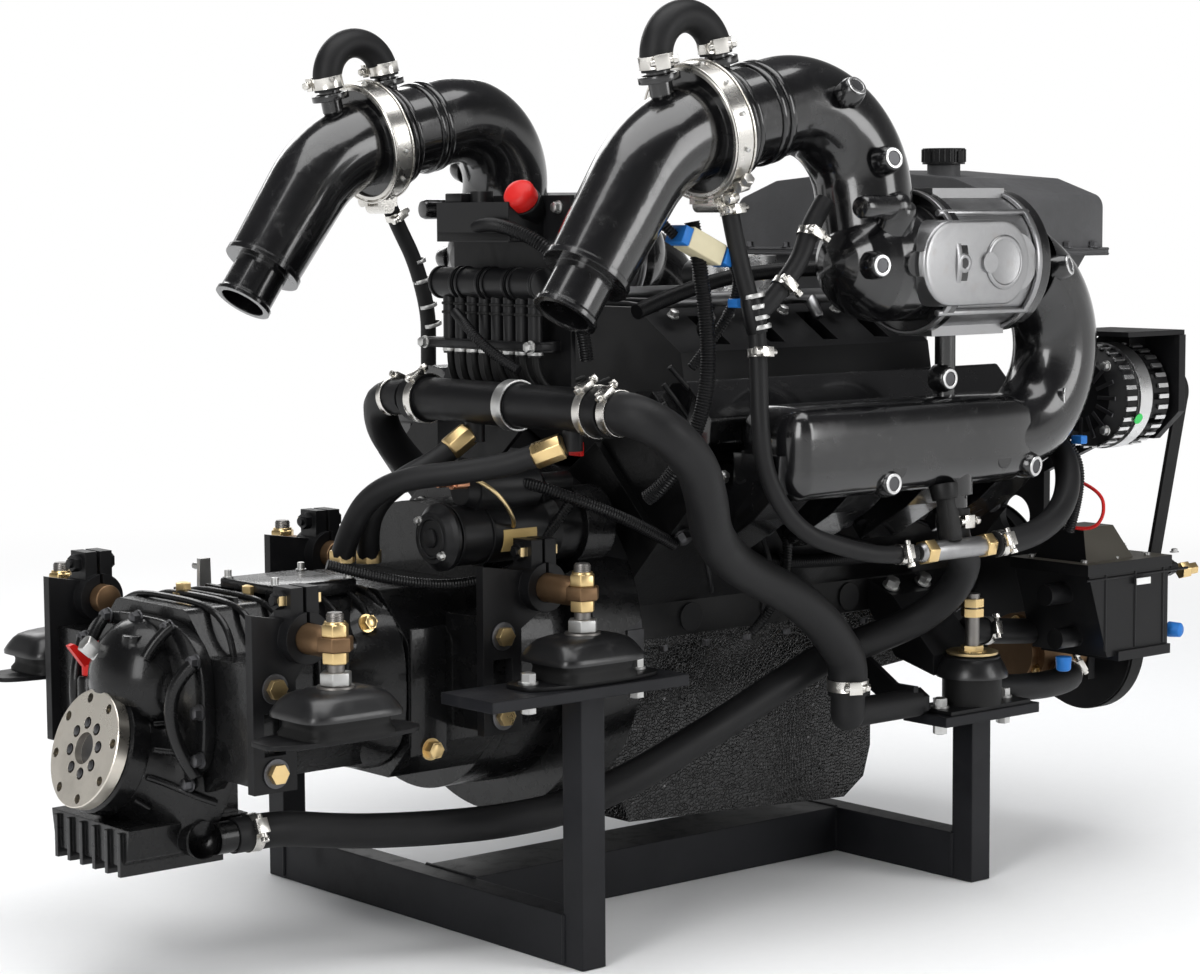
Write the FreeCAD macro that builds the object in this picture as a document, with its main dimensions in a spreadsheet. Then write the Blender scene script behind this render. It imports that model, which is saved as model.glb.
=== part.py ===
"""Inboard marine V8 engine with its reversing gearbox, standing on a welded stand.

Frame: +X forward (pulley end), +Y port, +Z up. The origin is the middle of the
stand's underside. Lengths are in millimetres.
"""
import FreeCAD
import Part
import math
import os
import Sketcher

# Driving dimensions

DIMENSIONS = {
    # Stand
    "leg_size": 32, "rail_height": 56, "stand_width": 604, "stand_length": 644,
    "aft_leg_top": 300, "fwd_leg_top": 200, "pad_plate": 12,
    "aft_pad_length": 270, "aft_pad_width": 88, "fwd_pad_length": 165, "fwd_pad_width": 70,
    "aft_pad_shift": 22, "beam_width": 90, "beam_offset": 25,
    # Engine mounts
    "base_length": 186, "base_width": 72, "base_plate": 5, "slot_width": 13, "slot_length": 24,
    "foot_length": 104, "foot_width": 78, "foot_height": 20,
    "dome_length": 120, "dome_width": 94, "dome_top_length": 84, "dome_top_width": 60,
    "dome_height": 26, "washer_radius": 20, "washer_height": 3, "stud_radius": 9,
    "stud_height": 127, "nut_size": 30, "nut_height": 14, "eye_height": 14, "eye_radius": 19,
    "eye_level": 95, "trunnion_radius": 16, "trunnion_end": 168, "gearbox_mount_side": 274,
    "gearbox_mount_station": 618, "gearbox_mount_level": 288,
    "front_rubber_radius": 36, "front_rubber_height": 34, "front_stud_height": 138,
    "front_eye_height": 24, "front_washer_radius": 17,
    # Mount brackets
    "bracket_plate": 12, "bracket_side": 199, "clamp_radius": 27, "clamp_width": 44,
    "clamp_gap": 0.1, "clamp_split": 4, "bracket_half": 26, "bolt_size": 19, "bolt_height": 9,
    "mid_bolt_station": 356, "aft_bolt_station": 650, "bracket_low": 62, "bolt_spacing": 87,
    "front_bracket_width": 80,
    # Gearbox
    "gearbox_front": 300, "input_flange_radius": 165, "input_flange": 18, "gearbox_step": 437,
    "gearbox_aft": 665, "case_half": 150, "case_bottom": 198, "case_top": 404,
    "rear_half": 118, "rear_bottom": 212, "aft_flange": 20, "aft_flange_half": 125,
    "tail_plate": 15, "tail_top": 390, "output_face": 750, "output_height": 255,
    "output_tilt": 18, "flange_radius": 63.5, "flange_thickness": 14, "flange_pcd": 108, "flange_phase": 32,
    "flange_hole": 5.25, "pilot_radius": 17, "pilot_depth": 8, "coupling_radius": 66,
    "coupling_length": 24, "output_shaft_radius": 30, "output_shaft_length": 30,
    "running_gap": 0.05, "tail_nose_radius": 64, "tail_cone_radius": 104, "tail_cone_length": 62,
    "dome_radius": 66, "sump_level": 178, "sump_bottom": 138, "sump_half": 80, "sump_aft": 745,
    "fin_thickness": 6, "fin_depth": 10, "fin_pitch": 26, "elbow_radius": 17,
    "dip_side": 72, "dip_station": 700, "dip_top": 318, "dip_boss_radius": 13,
    "dip_rod_radius": 3, "dip_rod_length": 70,
    "lever_station": 520, "lever_level": 350, "lever_length": 75,
    # Engine block
    "crank_height": 320, "block_aft": 150, "block_length": 580, "skirt_half": 150,
    "skirt_rise": 40, "deck_height": 249, "deck_half": 76, "valley_half": 60,
    "valley_rise": 185, "ladder_half": 60, "ladder_depth": 62, "journal_radius": 35,
    "nose_radius": 22, "head_height": 85, "head_length": 560, "end_margin": 10,
    "cover_half": 45, "cover_inset": 15, "cover_height": 50, "cover_length": 530,
    "pan_half": 130, "pan_wall": 5, "pan_rail": 10, "pan_low": 85, "pan_aft_low": 104,
    "pan_front": 290, "pan_shallow": 240,
    "housing_radius": 205, "housing_wall": 15, "housing_step": 220, "housing_pad": 530,
    "flywheel_radius": 178, "flywheel_width": 25, "crank_flange_radius": 55,
    # Front drive
    "timing_depth": 40, "pump_rise": 185, "pump_radius": 62, "bracket_face": 590,
    "accessory_plate": 12, "belt_station": 629, "belt_width": 22, "belt_thickness": 5,
    "belt_gap": 0.3, "rim_height": 3, "rim_width": 3, "crank_pulley_radius": 95,
    "pump_pulley_radius": 70, "pump_shaft_radius": 10, "sea_pulley_radius": 84,
    "sea_side": 180, "sea_height": 247, "sea_body_radius": 48, "sea_body_length": 85,
    "alternator_side": 300, "alternator_height": 580, "alternator_radius": 66,
    "alternator_length": 104, "alternator_pulley_radius": 30, "rotor_shaft_radius": 8.5,
    "tensioner_radius": 32, "tensioner_along": 90, "pivot_side": 178, "pivot_height": 380,
    # Intake
    "plenum_top": 700, "intake_aft": 60, "intake_fwd": 350, "throttle_station": 180,
    "throttle_bore": 38, "throttle_wall": 14, "throttle_height": 56, "plate_gap": 0.35,
    # Exhaust
    "exhaust_side": 345, "log_half": 48, "log_bottom": 498, "log_height": 96, "log_aft": 75,
    "log_fwd": 280, "catalyst_height": 752, "catalyst_radius": 77, "catalyst_aft": 142,
    "catalyst_fwd": 262, "duct_radius": 50, "port_width": 60, "port_pitch": 122,
    "first_port": 80, "riser_station": 75, "riser_radius": 55, "bulb_radius": 66,
    "outlet_side": 306, "joint_station": 155, "joint_height": 899, "joint_lip": 67, "joint_lean": 13,
    "band_radius": 74, "band_width": 26, "jacket_end_radius": 46, "tip_radius": 33,
    "tip_length": 42, "tip_lip": 36, "tip_bore": 28, "tip_depth": 90,
    "stub_radius": 13, "bypass_radius": 18, "bypass_spread": 86, "bypass_foot": 74,
    "bypass_leg": 6, "outlet_station": 316, "outlet_height": 745, "outlet_lean": 54.7,
    # Top and side equipment
    "tank_aft": 405, "tank_fwd": 600, "tank_half": 235, "tank_floor": 700, "tank_rim": 760,
    "tank_wall_rise": 65, "tank_crown_rise": 37, "neck_radius": 21, "cap_radius": 27,
    "cap_height": 20, "cap_side": 100, "cap_station": 450,
    "module_aft": 430, "module_floor": 262, "module_top": 378, "module_inner": 235,
    "module_outer": 355,
    "cooler_radius": 24, "cooler_station": 313, "cooler_height": 603, "cooler_length": 345,
    "starter_side": 150, "starter_height": 462, "starter_radius": 37, "starter_length": 185,
    "solenoid_radius": 25, "coil_plate": 6, "coil_height": 733, "coil_radius": 17,
    "coil_length": 186, "boot_radius": 8, "boot_pitch": 22,
    "gearbox_hose_radius": 19, "cooler_hose_radius": 23,
}

doc = FreeCAD.newDocument("MarineEngine")
sheet = doc.addObject("Spreadsheet::Sheet", "Dims")
for row, (alias, value) in enumerate(DIMENSIONS.items(), 1):
    sheet.set(f"A{row}", alias)
    sheet.set(f"B{row}", str(value))
    sheet.setAlias(f"B{row}", alias)
doc.recompute()


class Size:
    """A length that knows its number and the sheet formula it comes from."""

    def __init__(self, value, text):
        self.value = float(value)
        self.text = text

    @staticmethod
    def of(other):
        return other if isinstance(other, Size) else Size(other, repr(float(other)))

    def combine(self, other, sign, value):
        return Size(value, f"({self.text} {sign} {other.text})")

    def __add__(self, other):
        other = Size.of(other)
        return self.combine(other, "+", self.value + other.value)

    def __sub__(self, other):
        other = Size.of(other)
        return self.combine(other, "-", self.value - other.value)

    def __mul__(self, other):
        other = Size.of(other)
        return self.combine(other, "*", self.value * other.value)

    def __truediv__(self, other):
        other = Size.of(other)
        return self.combine(other, "/", self.value / other.value)

    def __radd__(self, other):
        return Size.of(other) + self

    def __rsub__(self, other):
        return Size.of(other) - self

    def __rmul__(self, other):
        return Size.of(other) * self

    def __neg__(self):
        return Size(-self.value, f"(-{self.text})")


class Dims:
    """The sheet's aliases as attributes."""

    def __getattr__(self, alias):
        return Size(sheet.get(alias), f"Dims.{alias}")


d = Dims()
d.tank_shoulder = d.tank_rim + d.tank_wall_rise
d.tank_crown = d.tank_shoulder + d.tank_crown_rise
d.pump_height = d.crank_height + d.pump_rise
ROOT_HALF = math.sqrt(0.5)
nodes = {}
counter = {"n": 0}


# Building blocks

def fresh(kind):
    """A new internal object name."""
    counter["n"] += 1
    return f"{kind}{counter['n']:03d}"


def bind(obj, **fields):
    """Tie each property to its sheet formula."""
    for field, size in fields.items():
        obj.setExpression(field.replace("__", "."), Size.of(size).text)


def place(obj, x, y, z, rotation=None):
    """Put an object at a point given by formulas."""
    if rotation is not None:
        obj.Placement = FreeCAD.Placement(FreeCAD.Vector(0, 0, 0), rotation)
    bind(obj, Placement__Base__x=x, Placement__Base__y=y, Placement__Base__z=z)
    return obj


def turn(axis, angle):
    return FreeCAD.Rotation(FreeCAD.Vector(*axis), angle)


ALONG = {
    "X": turn((0, 1, 0), 90), "-X": turn((0, 1, 0), -90),
    "Y": turn((1, 0, 0), -90), "-Y": turn((1, 0, 0), 90),
    "Z": FreeCAD.Rotation(), "-Z": turn((1, 0, 0), 180),
}


def box(x, y, z, length, width, height):
    """A block given by its lowest corner and its three sizes."""
    obj = doc.addObject("Part::Box", fresh("Block"))
    bind(obj, Length=length, Width=width, Height=height)
    return place(obj, x, y, z)


def span(x0, x1, y0, y1, z0, z1):
    """A block given by its two faces along each axis."""
    return box(x0, y0, z0, x1 - x0, y1 - y0, z1 - z0)


def rod(x, y, z, radius, length, along="X"):
    """A cylinder from a point along an axis."""
    obj = doc.addObject("Part::Cylinder", fresh("Rod"))
    bind(obj, Radius=radius, Height=length)
    return place(obj, x, y, z, ALONG[along])


def cone(x, y, z, radius, end_radius, length, along="X"):
    """A cone from a point along an axis."""
    obj = doc.addObject("Part::Cone", fresh("Cone"))
    bind(obj, Radius1=radius, Radius2=end_radius, Height=length)
    return place(obj, x, y, z, ALONG[along])


def ball(x, y, z, radius):
    obj = doc.addObject("Part::Sphere", fresh("Ball"))
    bind(obj, Radius=radius)
    return place(obj, x, y, z)


def hexagon(x, y, z, size, height, along="Z"):
    """A hexagon prism, size across its flats."""
    obj = doc.addObject("Part::Prism", fresh("Hexagon"))
    obj.Polygon = 6
    bind(obj, Circumradius=Size.of(size) / math.sqrt(3), Height=height)
    return place(obj, x, y, z, ALONG[along])


def frustum(x, y, z, length, width, top_length, top_width, height):
    """A tapered block standing on its larger face, centred on x and y."""
    obj = doc.addObject("Part::Wedge", fresh("Taper"))
    bind(obj, Xmin=-length / 2, Xmax=length / 2, Zmin=-width / 2, Zmax=width / 2,
         X2min=-top_length / 2, X2max=top_length / 2, Z2min=-top_width / 2,
         Z2max=top_width / 2, Ymin=Size.of(0), Ymax=height)
    return place(obj, x, y, z, turn((1, 0, 0), 90))


def union(*parts):
    obj = doc.addObject("Part::MultiFuse", fresh("Union"))
    obj.Shapes = list(parts)
    obj.Refine = True
    return obj


def fused(first, *others):
    """One solid from round pieces that meet on one axis, joined in a single pass."""
    doc.recompute()
    return solid_feature(first.Shape.multiFuse([other.Shape for other in others]))


def minus(base, *tools):
    obj = doc.addObject("Part::Cut", fresh("Cut"))
    obj.Base = base
    obj.Tool = tools[0] if len(tools) == 1 else union(*tools)
    obj.Refine = True
    return obj


def mirror(source):
    """The port twin of a starboard piece."""
    obj = doc.addObject("Part::Mirroring", fresh("Mirror"))
    obj.Source = source
    obj.Normal = FreeCAD.Vector(0, 1, 0)
    return obj


def plane_of(body, role):
    return next(f for f in body.Origin.OriginFeatures if f.Role == role)


def sketch(body, role, points):
    """A closed outline whose corners follow the sheet."""
    outline = body.newObject("Sketcher::SketchObject", fresh("Outline"))
    outline.AttachmentSupport = [(plane_of(body, role), "")]
    outline.MapMode = "FlatFace"
    corners = [(Size.of(a), Size.of(b)) for a, b in points]
    for (a, b), (c, e) in zip(corners, corners[1:] + corners[:1]):
        start = FreeCAD.Vector(a.value, b.value, 0)
        outline.addGeometry(Part.LineSegment(start, FreeCAD.Vector(c.value, e.value, 0)))
    for i in range(len(corners)):
        outline.addConstraint(Sketcher.Constraint("Coincident", i, 2, (i + 1) % len(corners), 1))
    for i, pair in enumerate(corners):
        for kind, axis, size in zip(("DistanceX", "DistanceY"), (-2, -1), pair):
            if abs(size.value) < 1e-9:
                outline.addConstraint(Sketcher.Constraint("PointOnObject", i, 1, axis))
                continue
            index = outline.addConstraint(
                Sketcher.Constraint(kind, -1, 1, i, 1, size.value))
            outline.setExpression(f"Constraints[{index}]", size.text)
    return outline


def padded(points, depth, role="YZ_Plane", x=0, y=0, z=0, centred=False, corners=None, radius=None):
    """An outline pushed along its plane's normal, some of its edges rounded.

    The outline's plane is YZ (pushed forward), XZ (pushed to starboard) or XY (pushed up).
    """
    body = doc.addObject("PartDesign::Body", fresh("Body"))
    outline = sketch(body, role, points)
    pad = body.newObject("PartDesign::Pad", fresh("Pad"))
    pad.Profile = outline
    pad.Midplane = centred
    bind(pad, Length=depth)
    if corners is not None:
        doc.recompute()
        normal = {"YZ_Plane": (1, 0, 0), "XZ_Plane": (0, 1, 0), "XY_Plane": (0, 0, 1)}[role]
        picks = []
        for i, edge in enumerate(pad.Shape.Edges, 1):
            line = edge.tangentAt(edge.FirstParameter)
            if abs(line.dot(FreeCAD.Vector(*normal))) < 0.999:
                continue
            at = edge.CenterOfMass
            flat = {"YZ_Plane": (at.y, at.z), "XZ_Plane": (at.x, at.z), "XY_Plane": (at.x, at.y)}
            if any(math.hypot(flat[role][0] - points_value(points[k])[0],
                              flat[role][1] - points_value(points[k])[1]) < 0.01
                   for k in corners):
                picks.append(f"Edge{i}")
        fillet = body.newObject("PartDesign::Fillet", fresh("Fillet"))
        fillet.Base = (pad, picks)
        bind(fillet, Radius=radius)
    return place(body, x, y, z)


def points_value(pair):
    return Size.of(pair[0]).value, Size.of(pair[1]).value


def turned(profile, x=0, y=0, z=0, rotation=None):
    """A profile of (along, radius) pairs turned about the X axis."""
    body = doc.addObject("PartDesign::Body", fresh("Body"))
    outline = sketch(body, "XZ_Plane", profile)
    spin = body.newObject("PartDesign::Revolution", fresh("Turned"))
    spin.Profile = outline
    spin.ReferenceAxis = (outline, ["H_Axis"])
    spin.Angle = 360
    return place(body, x, y, z, rotation)


def node(name, obj):
    """Name a finished piece."""
    obj.Label = name
    nodes[name] = obj
    return obj


def vec(*sizes):
    return FreeCAD.Vector(*[Size.of(s).value for s in sizes])


def route(points, share=0.45):
    """Straight runs joined by tangent arcs, each as large as its two runs allow."""
    edges = []
    radii = []
    start = points[0]
    for before, corner, after in zip(points, points[1:], points[2:]):
        into = (corner - before).normalize()
        out = (after - corner).normalize()
        half = into.getAngle(out) / 2
        reach = share * min((corner - before).Length, (after - corner).Length)
        radius = reach / math.tan(half)
        first = corner - into * reach
        last = corner + out * reach
        bisector = (out - into).normalize()
        centre = corner + bisector * (radius / math.cos(half))
        middle = centre - bisector * radius
        edges.append(Part.LineSegment(start, first).toShape())
        edges.append(Part.Arc(first, middle, last).toShape())
        radii.append(radius)
        start = last
    edges.append(Part.LineSegment(start, points[-1]).toShape())
    return Part.Wire(edges), radii


def swept(wire, radius, end_radius=None):
    """A round bar along a wire, tapering where an end radius is given."""
    first = wire.Edges[0]
    start = first.valueAt(first.FirstParameter)
    heading = first.tangentAt(first.FirstParameter)
    circle = Part.Wire([Part.makeCircle(radius, start, heading)])
    if end_radius is None:
        return wire.makePipe(Part.Face(circle))
    last = wire.Edges[-1]
    end = last.valueAt(last.LastParameter)
    far = Part.Wire([Part.makeCircle(end_radius, end, last.tangentAt(last.LastParameter))])
    return wire.makePipeShell([circle, far], True, False)


def solid_feature(shape):
    """A free-form shape as an object of the document."""
    obj = doc.addObject("Part::Feature", fresh("Casting"))
    obj.Shape = shape
    obj.Placement = FreeCAD.Placement()
    return obj


def hose(name, points, radius):
    """A hose held at both ends, along its real route."""
    wire, radii = route([FreeCAD.Vector(*p) for p in points])
    shape = swept(wire, radius.value)
    ratio = shape.Volume / (math.pi * radius.value ** 2 * wire.Length)
    print(name, "length", round(wire.Length), "radii", [round(r) for r in radii],
          "volume ratio", round(ratio, 4))
    return node(name, solid_feature(shape))


# Stand

leg_x = (d.stand_length - d.leg_size) / 2
leg_y = (d.stand_width - d.leg_size) / 2


def make_stand():
    half_leg = d.leg_size / 2
    parts = []
    for side in (-1, 1):
        for end, top, length, width, shift in (
                (-1, d.aft_leg_top, d.aft_pad_length, d.aft_pad_width, -d.aft_pad_shift),
                (1, d.fwd_leg_top, d.fwd_pad_length, d.fwd_pad_width, Size.of(0))):
            x = end * leg_x
            y = side * leg_y
            parts.append(box(x - half_leg, y - half_leg, 0, d.leg_size, d.leg_size, top))
            parts.append(box(x + shift - length / 2, y - width / 2, top,
                             length, width, d.pad_plate))
    for end in (-1, 1):
        x = end * leg_x
        parts.append(box(x - half_leg, -leg_y, 0, d.leg_size, leg_y * 2, d.rail_height))
    parts.append(box(-leg_x, -d.beam_offset - d.beam_width / 2, 0,
                     leg_x * 2, d.beam_width, d.rail_height))
    node("stand_frame", union(*parts))


# Mounts and brackets

def isolator(x, y, z):
    """Slotted base plate, bonded rubber foot, domed cover, washer, lock nut and stud."""
    plate = padded(((-d.base_length / 2, -d.base_width / 4), (-d.base_length / 3, -d.base_width / 2),
                    (d.base_length / 3, -d.base_width / 2), (d.base_length / 2, -d.base_width / 4),
                    (d.base_length / 2, d.base_width / 4), (d.base_length / 3, d.base_width / 2),
                    (-d.base_length / 3, d.base_width / 2), (-d.base_length / 2, d.base_width / 4)),
                   d.base_plate, "XY_Plane", x, y, z)
    slots = []
    for end in (-1, 1):
        centre = x + end * (d.base_length / 2 - 18)
        slots.append(box(centre - (d.slot_length - d.slot_width) / 2, y - d.slot_width / 2, z,
                         d.slot_length - d.slot_width, d.slot_width, d.base_plate))
        for tip in (-1, 1):
            slots.append(rod(centre + tip * (d.slot_length - d.slot_width) / 2, y, z,
                             d.slot_width / 2, d.base_plate, "Z"))
    level = z + d.base_plate
    foot = box(x - d.foot_length / 2, y - d.foot_width / 2, level,
               d.foot_length, d.foot_width, d.foot_height)
    dome = frustum(x, y, level + d.foot_height, d.dome_length, d.dome_width,
                   d.dome_top_length, d.dome_top_width, d.dome_height)
    level = level + d.foot_height + d.dome_height
    washer = rod(x, y, level, d.washer_radius, d.washer_height, "Z")
    nut = hexagon(x, y, level + d.washer_height, d.nut_size, d.nut_height)
    stud = rod(x, y, level, d.stud_radius, d.stud_height - level + z, "Z")
    return [minus(plate, *slots), foot, dome, washer, nut, stud]


def trunnion_mount(name, x, y, z):
    """An isolator carrying a flattened trunnion eye between two nuts."""
    eye_z = z + d.eye_level
    thin = d.nut_height - 2
    parts = isolator(x, y, z)
    parts.append(hexagon(x, y, eye_z - d.eye_height / 2 - thin, d.nut_size - 6, thin))
    parts.append(hexagon(x, y, eye_z + d.eye_height / 2, d.nut_size - 6, d.nut_height))
    parts.append(rod(x, y, eye_z - d.eye_height / 2, d.eye_radius, d.eye_height, "Z"))
    parts.append(rod(x, y + d.eye_radius - 3, eye_z, d.trunnion_radius,
                     -d.trunnion_end - y - d.eye_radius + 3, "Y"))
    return node(name, union(*parts))


def front_mount(name, x, y, z):
    """Round rubber block with a tall stud; the engine bracket's eye sits on it."""
    plate = box(x - d.fwd_pad_length / 2 + 12, y - d.base_width / 2 + 4, z,
                d.fwd_pad_length - 24, d.base_width - 8, d.base_plate)
    rubber = rod(x, y, z + d.base_plate, d.front_rubber_radius, d.front_rubber_height, "Z")
    top = z + d.base_plate + d.front_rubber_height + d.front_eye_height
    washer = rod(x, y, top, d.front_washer_radius, 6, "Z")
    lower = hexagon(x, y, top + 6, d.nut_size - 6, 6)
    stud = rod(x, y, z + d.base_plate, d.stud_radius, d.front_stud_height - d.base_plate, "Z")
    nuts = [hexagon(x, y, z + d.front_stud_height - 28, d.nut_size - 6, 10),
            hexagon(x, y, z + d.front_stud_height - 16, d.nut_size - 6, 10)]
    return node(name, union(plate, rubber, washer, lower, stud, *nuts))


def side_bracket(name, mount_x, mount_z, bolt_x, side):
    """Flat plate bolted to the case, with a split clamp around the trunnion."""
    ring_z = mount_z + d.eye_level
    low = ring_z - d.eye_level - d.bracket_low
    plate = padded(((bolt_x - d.bracket_half, low), (bolt_x + d.bracket_half, low),
                    (bolt_x + d.bracket_half, ring_z - 44), (mount_x + 10, ring_z - d.clamp_radius + 4),
                    (mount_x + 10, ring_z + 14), (bolt_x - d.bracket_half, ring_z + d.clamp_radius)),
                   d.bracket_plate, "XZ_Plane", 0, -side, 0)
    ring_y = -side - d.bracket_plate / 2 - d.clamp_width / 2
    ring = rod(mount_x, ring_y, ring_z, d.clamp_radius, d.clamp_width, "Y")
    ears = box(mount_x - 17, ring_y + 6, ring_z, 34, d.clamp_width - 12, d.clamp_radius * 2 - 2)
    bore = rod(mount_x, ring_y - 1, ring_z, d.trunnion_radius + d.clamp_gap, d.clamp_width + 2, "Y")
    split = box(mount_x - d.clamp_split / 2, ring_y - 1, ring_z + 8,
                d.clamp_split, d.clamp_width + 2, d.clamp_radius * 2)
    window = box(bolt_x - d.bracket_half / 2, -side - d.bracket_plate - 1, low + 38,
                 d.bracket_half, d.bracket_plate + 2, 44)
    pinch_z = ring_z + d.clamp_radius + 12
    pinch = union(rod(mount_x - 30, ring_y + d.clamp_width / 2, pinch_z, 5, 56, "X"),
                  hexagon(mount_x - 26, ring_y + d.clamp_width / 2, pinch_z, 17, 9, "X"),
                  hexagon(mount_x + 17, ring_y + d.clamp_width / 2, pinch_z, 17, 8, "X"))
    heads = [hexagon(bolt_x, -side - d.bracket_plate, low + 20 + rise, d.bolt_size, d.bolt_height, "-Y")
             for rise in (Size.of(0), d.bolt_spacing)]
    return node(name, union(minus(union(plate, ring, ears), bore, split, window), pinch, *heads))


def front_bracket(name, x, y, z):
    """Cast arm from the block's side to the front mount's stud."""
    top = z + d.front_eye_height
    arm = padded(((-d.skirt_half, d.crank_height + 2), (-d.skirt_half, d.crank_height + d.skirt_rise - 2),
                  (-d.skirt_half - 40, d.crank_height + 22), (y + 26, top), (y + 26, z),
                  (-d.skirt_half - 46, z + 16)),
                 d.front_bracket_width, "YZ_Plane", x - d.front_bracket_width / 2, 0, 0)
    eye = rod(x, y, z, d.front_rubber_radius - 2, d.front_eye_height, "Z")
    bore = rod(x, y, z - 1, d.stud_radius + d.clamp_gap, d.front_eye_height + 2, "Z")
    return node(name, minus(union(arm, eye), bore))


def make_mounts():
    mid_z = d.aft_leg_top + d.pad_plate
    front_z = d.fwd_leg_top + d.pad_plate
    starboard = [
        ("mount_aft", trunnion_mount("mount_stbd_aft", -d.gearbox_mount_station,
                                     -d.gearbox_mount_side, d.gearbox_mount_level)),
        ("mount_mid", trunnion_mount("mount_stbd_mid", -leg_x, -leg_y, mid_z)),
        ("mount_front", front_mount("mount_stbd_front", leg_x, -leg_y, front_z)),
        ("bracket_aft", side_bracket("bracket_stbd_aft", -d.gearbox_mount_station,
                                     d.gearbox_mount_level, -d.aft_bolt_station, d.bracket_side)),
        ("bracket_mid", side_bracket("bracket_stbd_mid", -leg_x, mid_z,
                                     -d.mid_bolt_station, d.bracket_side)),
        ("bracket_front", front_bracket("bracket_stbd_front", leg_x, -leg_y,
                                        front_z + d.base_plate + d.front_rubber_height)),
    ]
    for name, piece in starboard:
        kind, place_name = name.split("_")
        node(f"{kind}_port_{place_name}", mirror(piece))


# Gearbox

def octagon(half, bottom, top, chamfer, upper):
    """Case outline: chamfered floor corners and steeper shoulders."""
    return ((-half + chamfer, bottom), (half - chamfer, bottom), (half, bottom + chamfer),
            (half, top - upper), (half - upper, top), (-half + upper, top),
            (-half, top - upper), (-half, bottom + chamfer))


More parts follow.
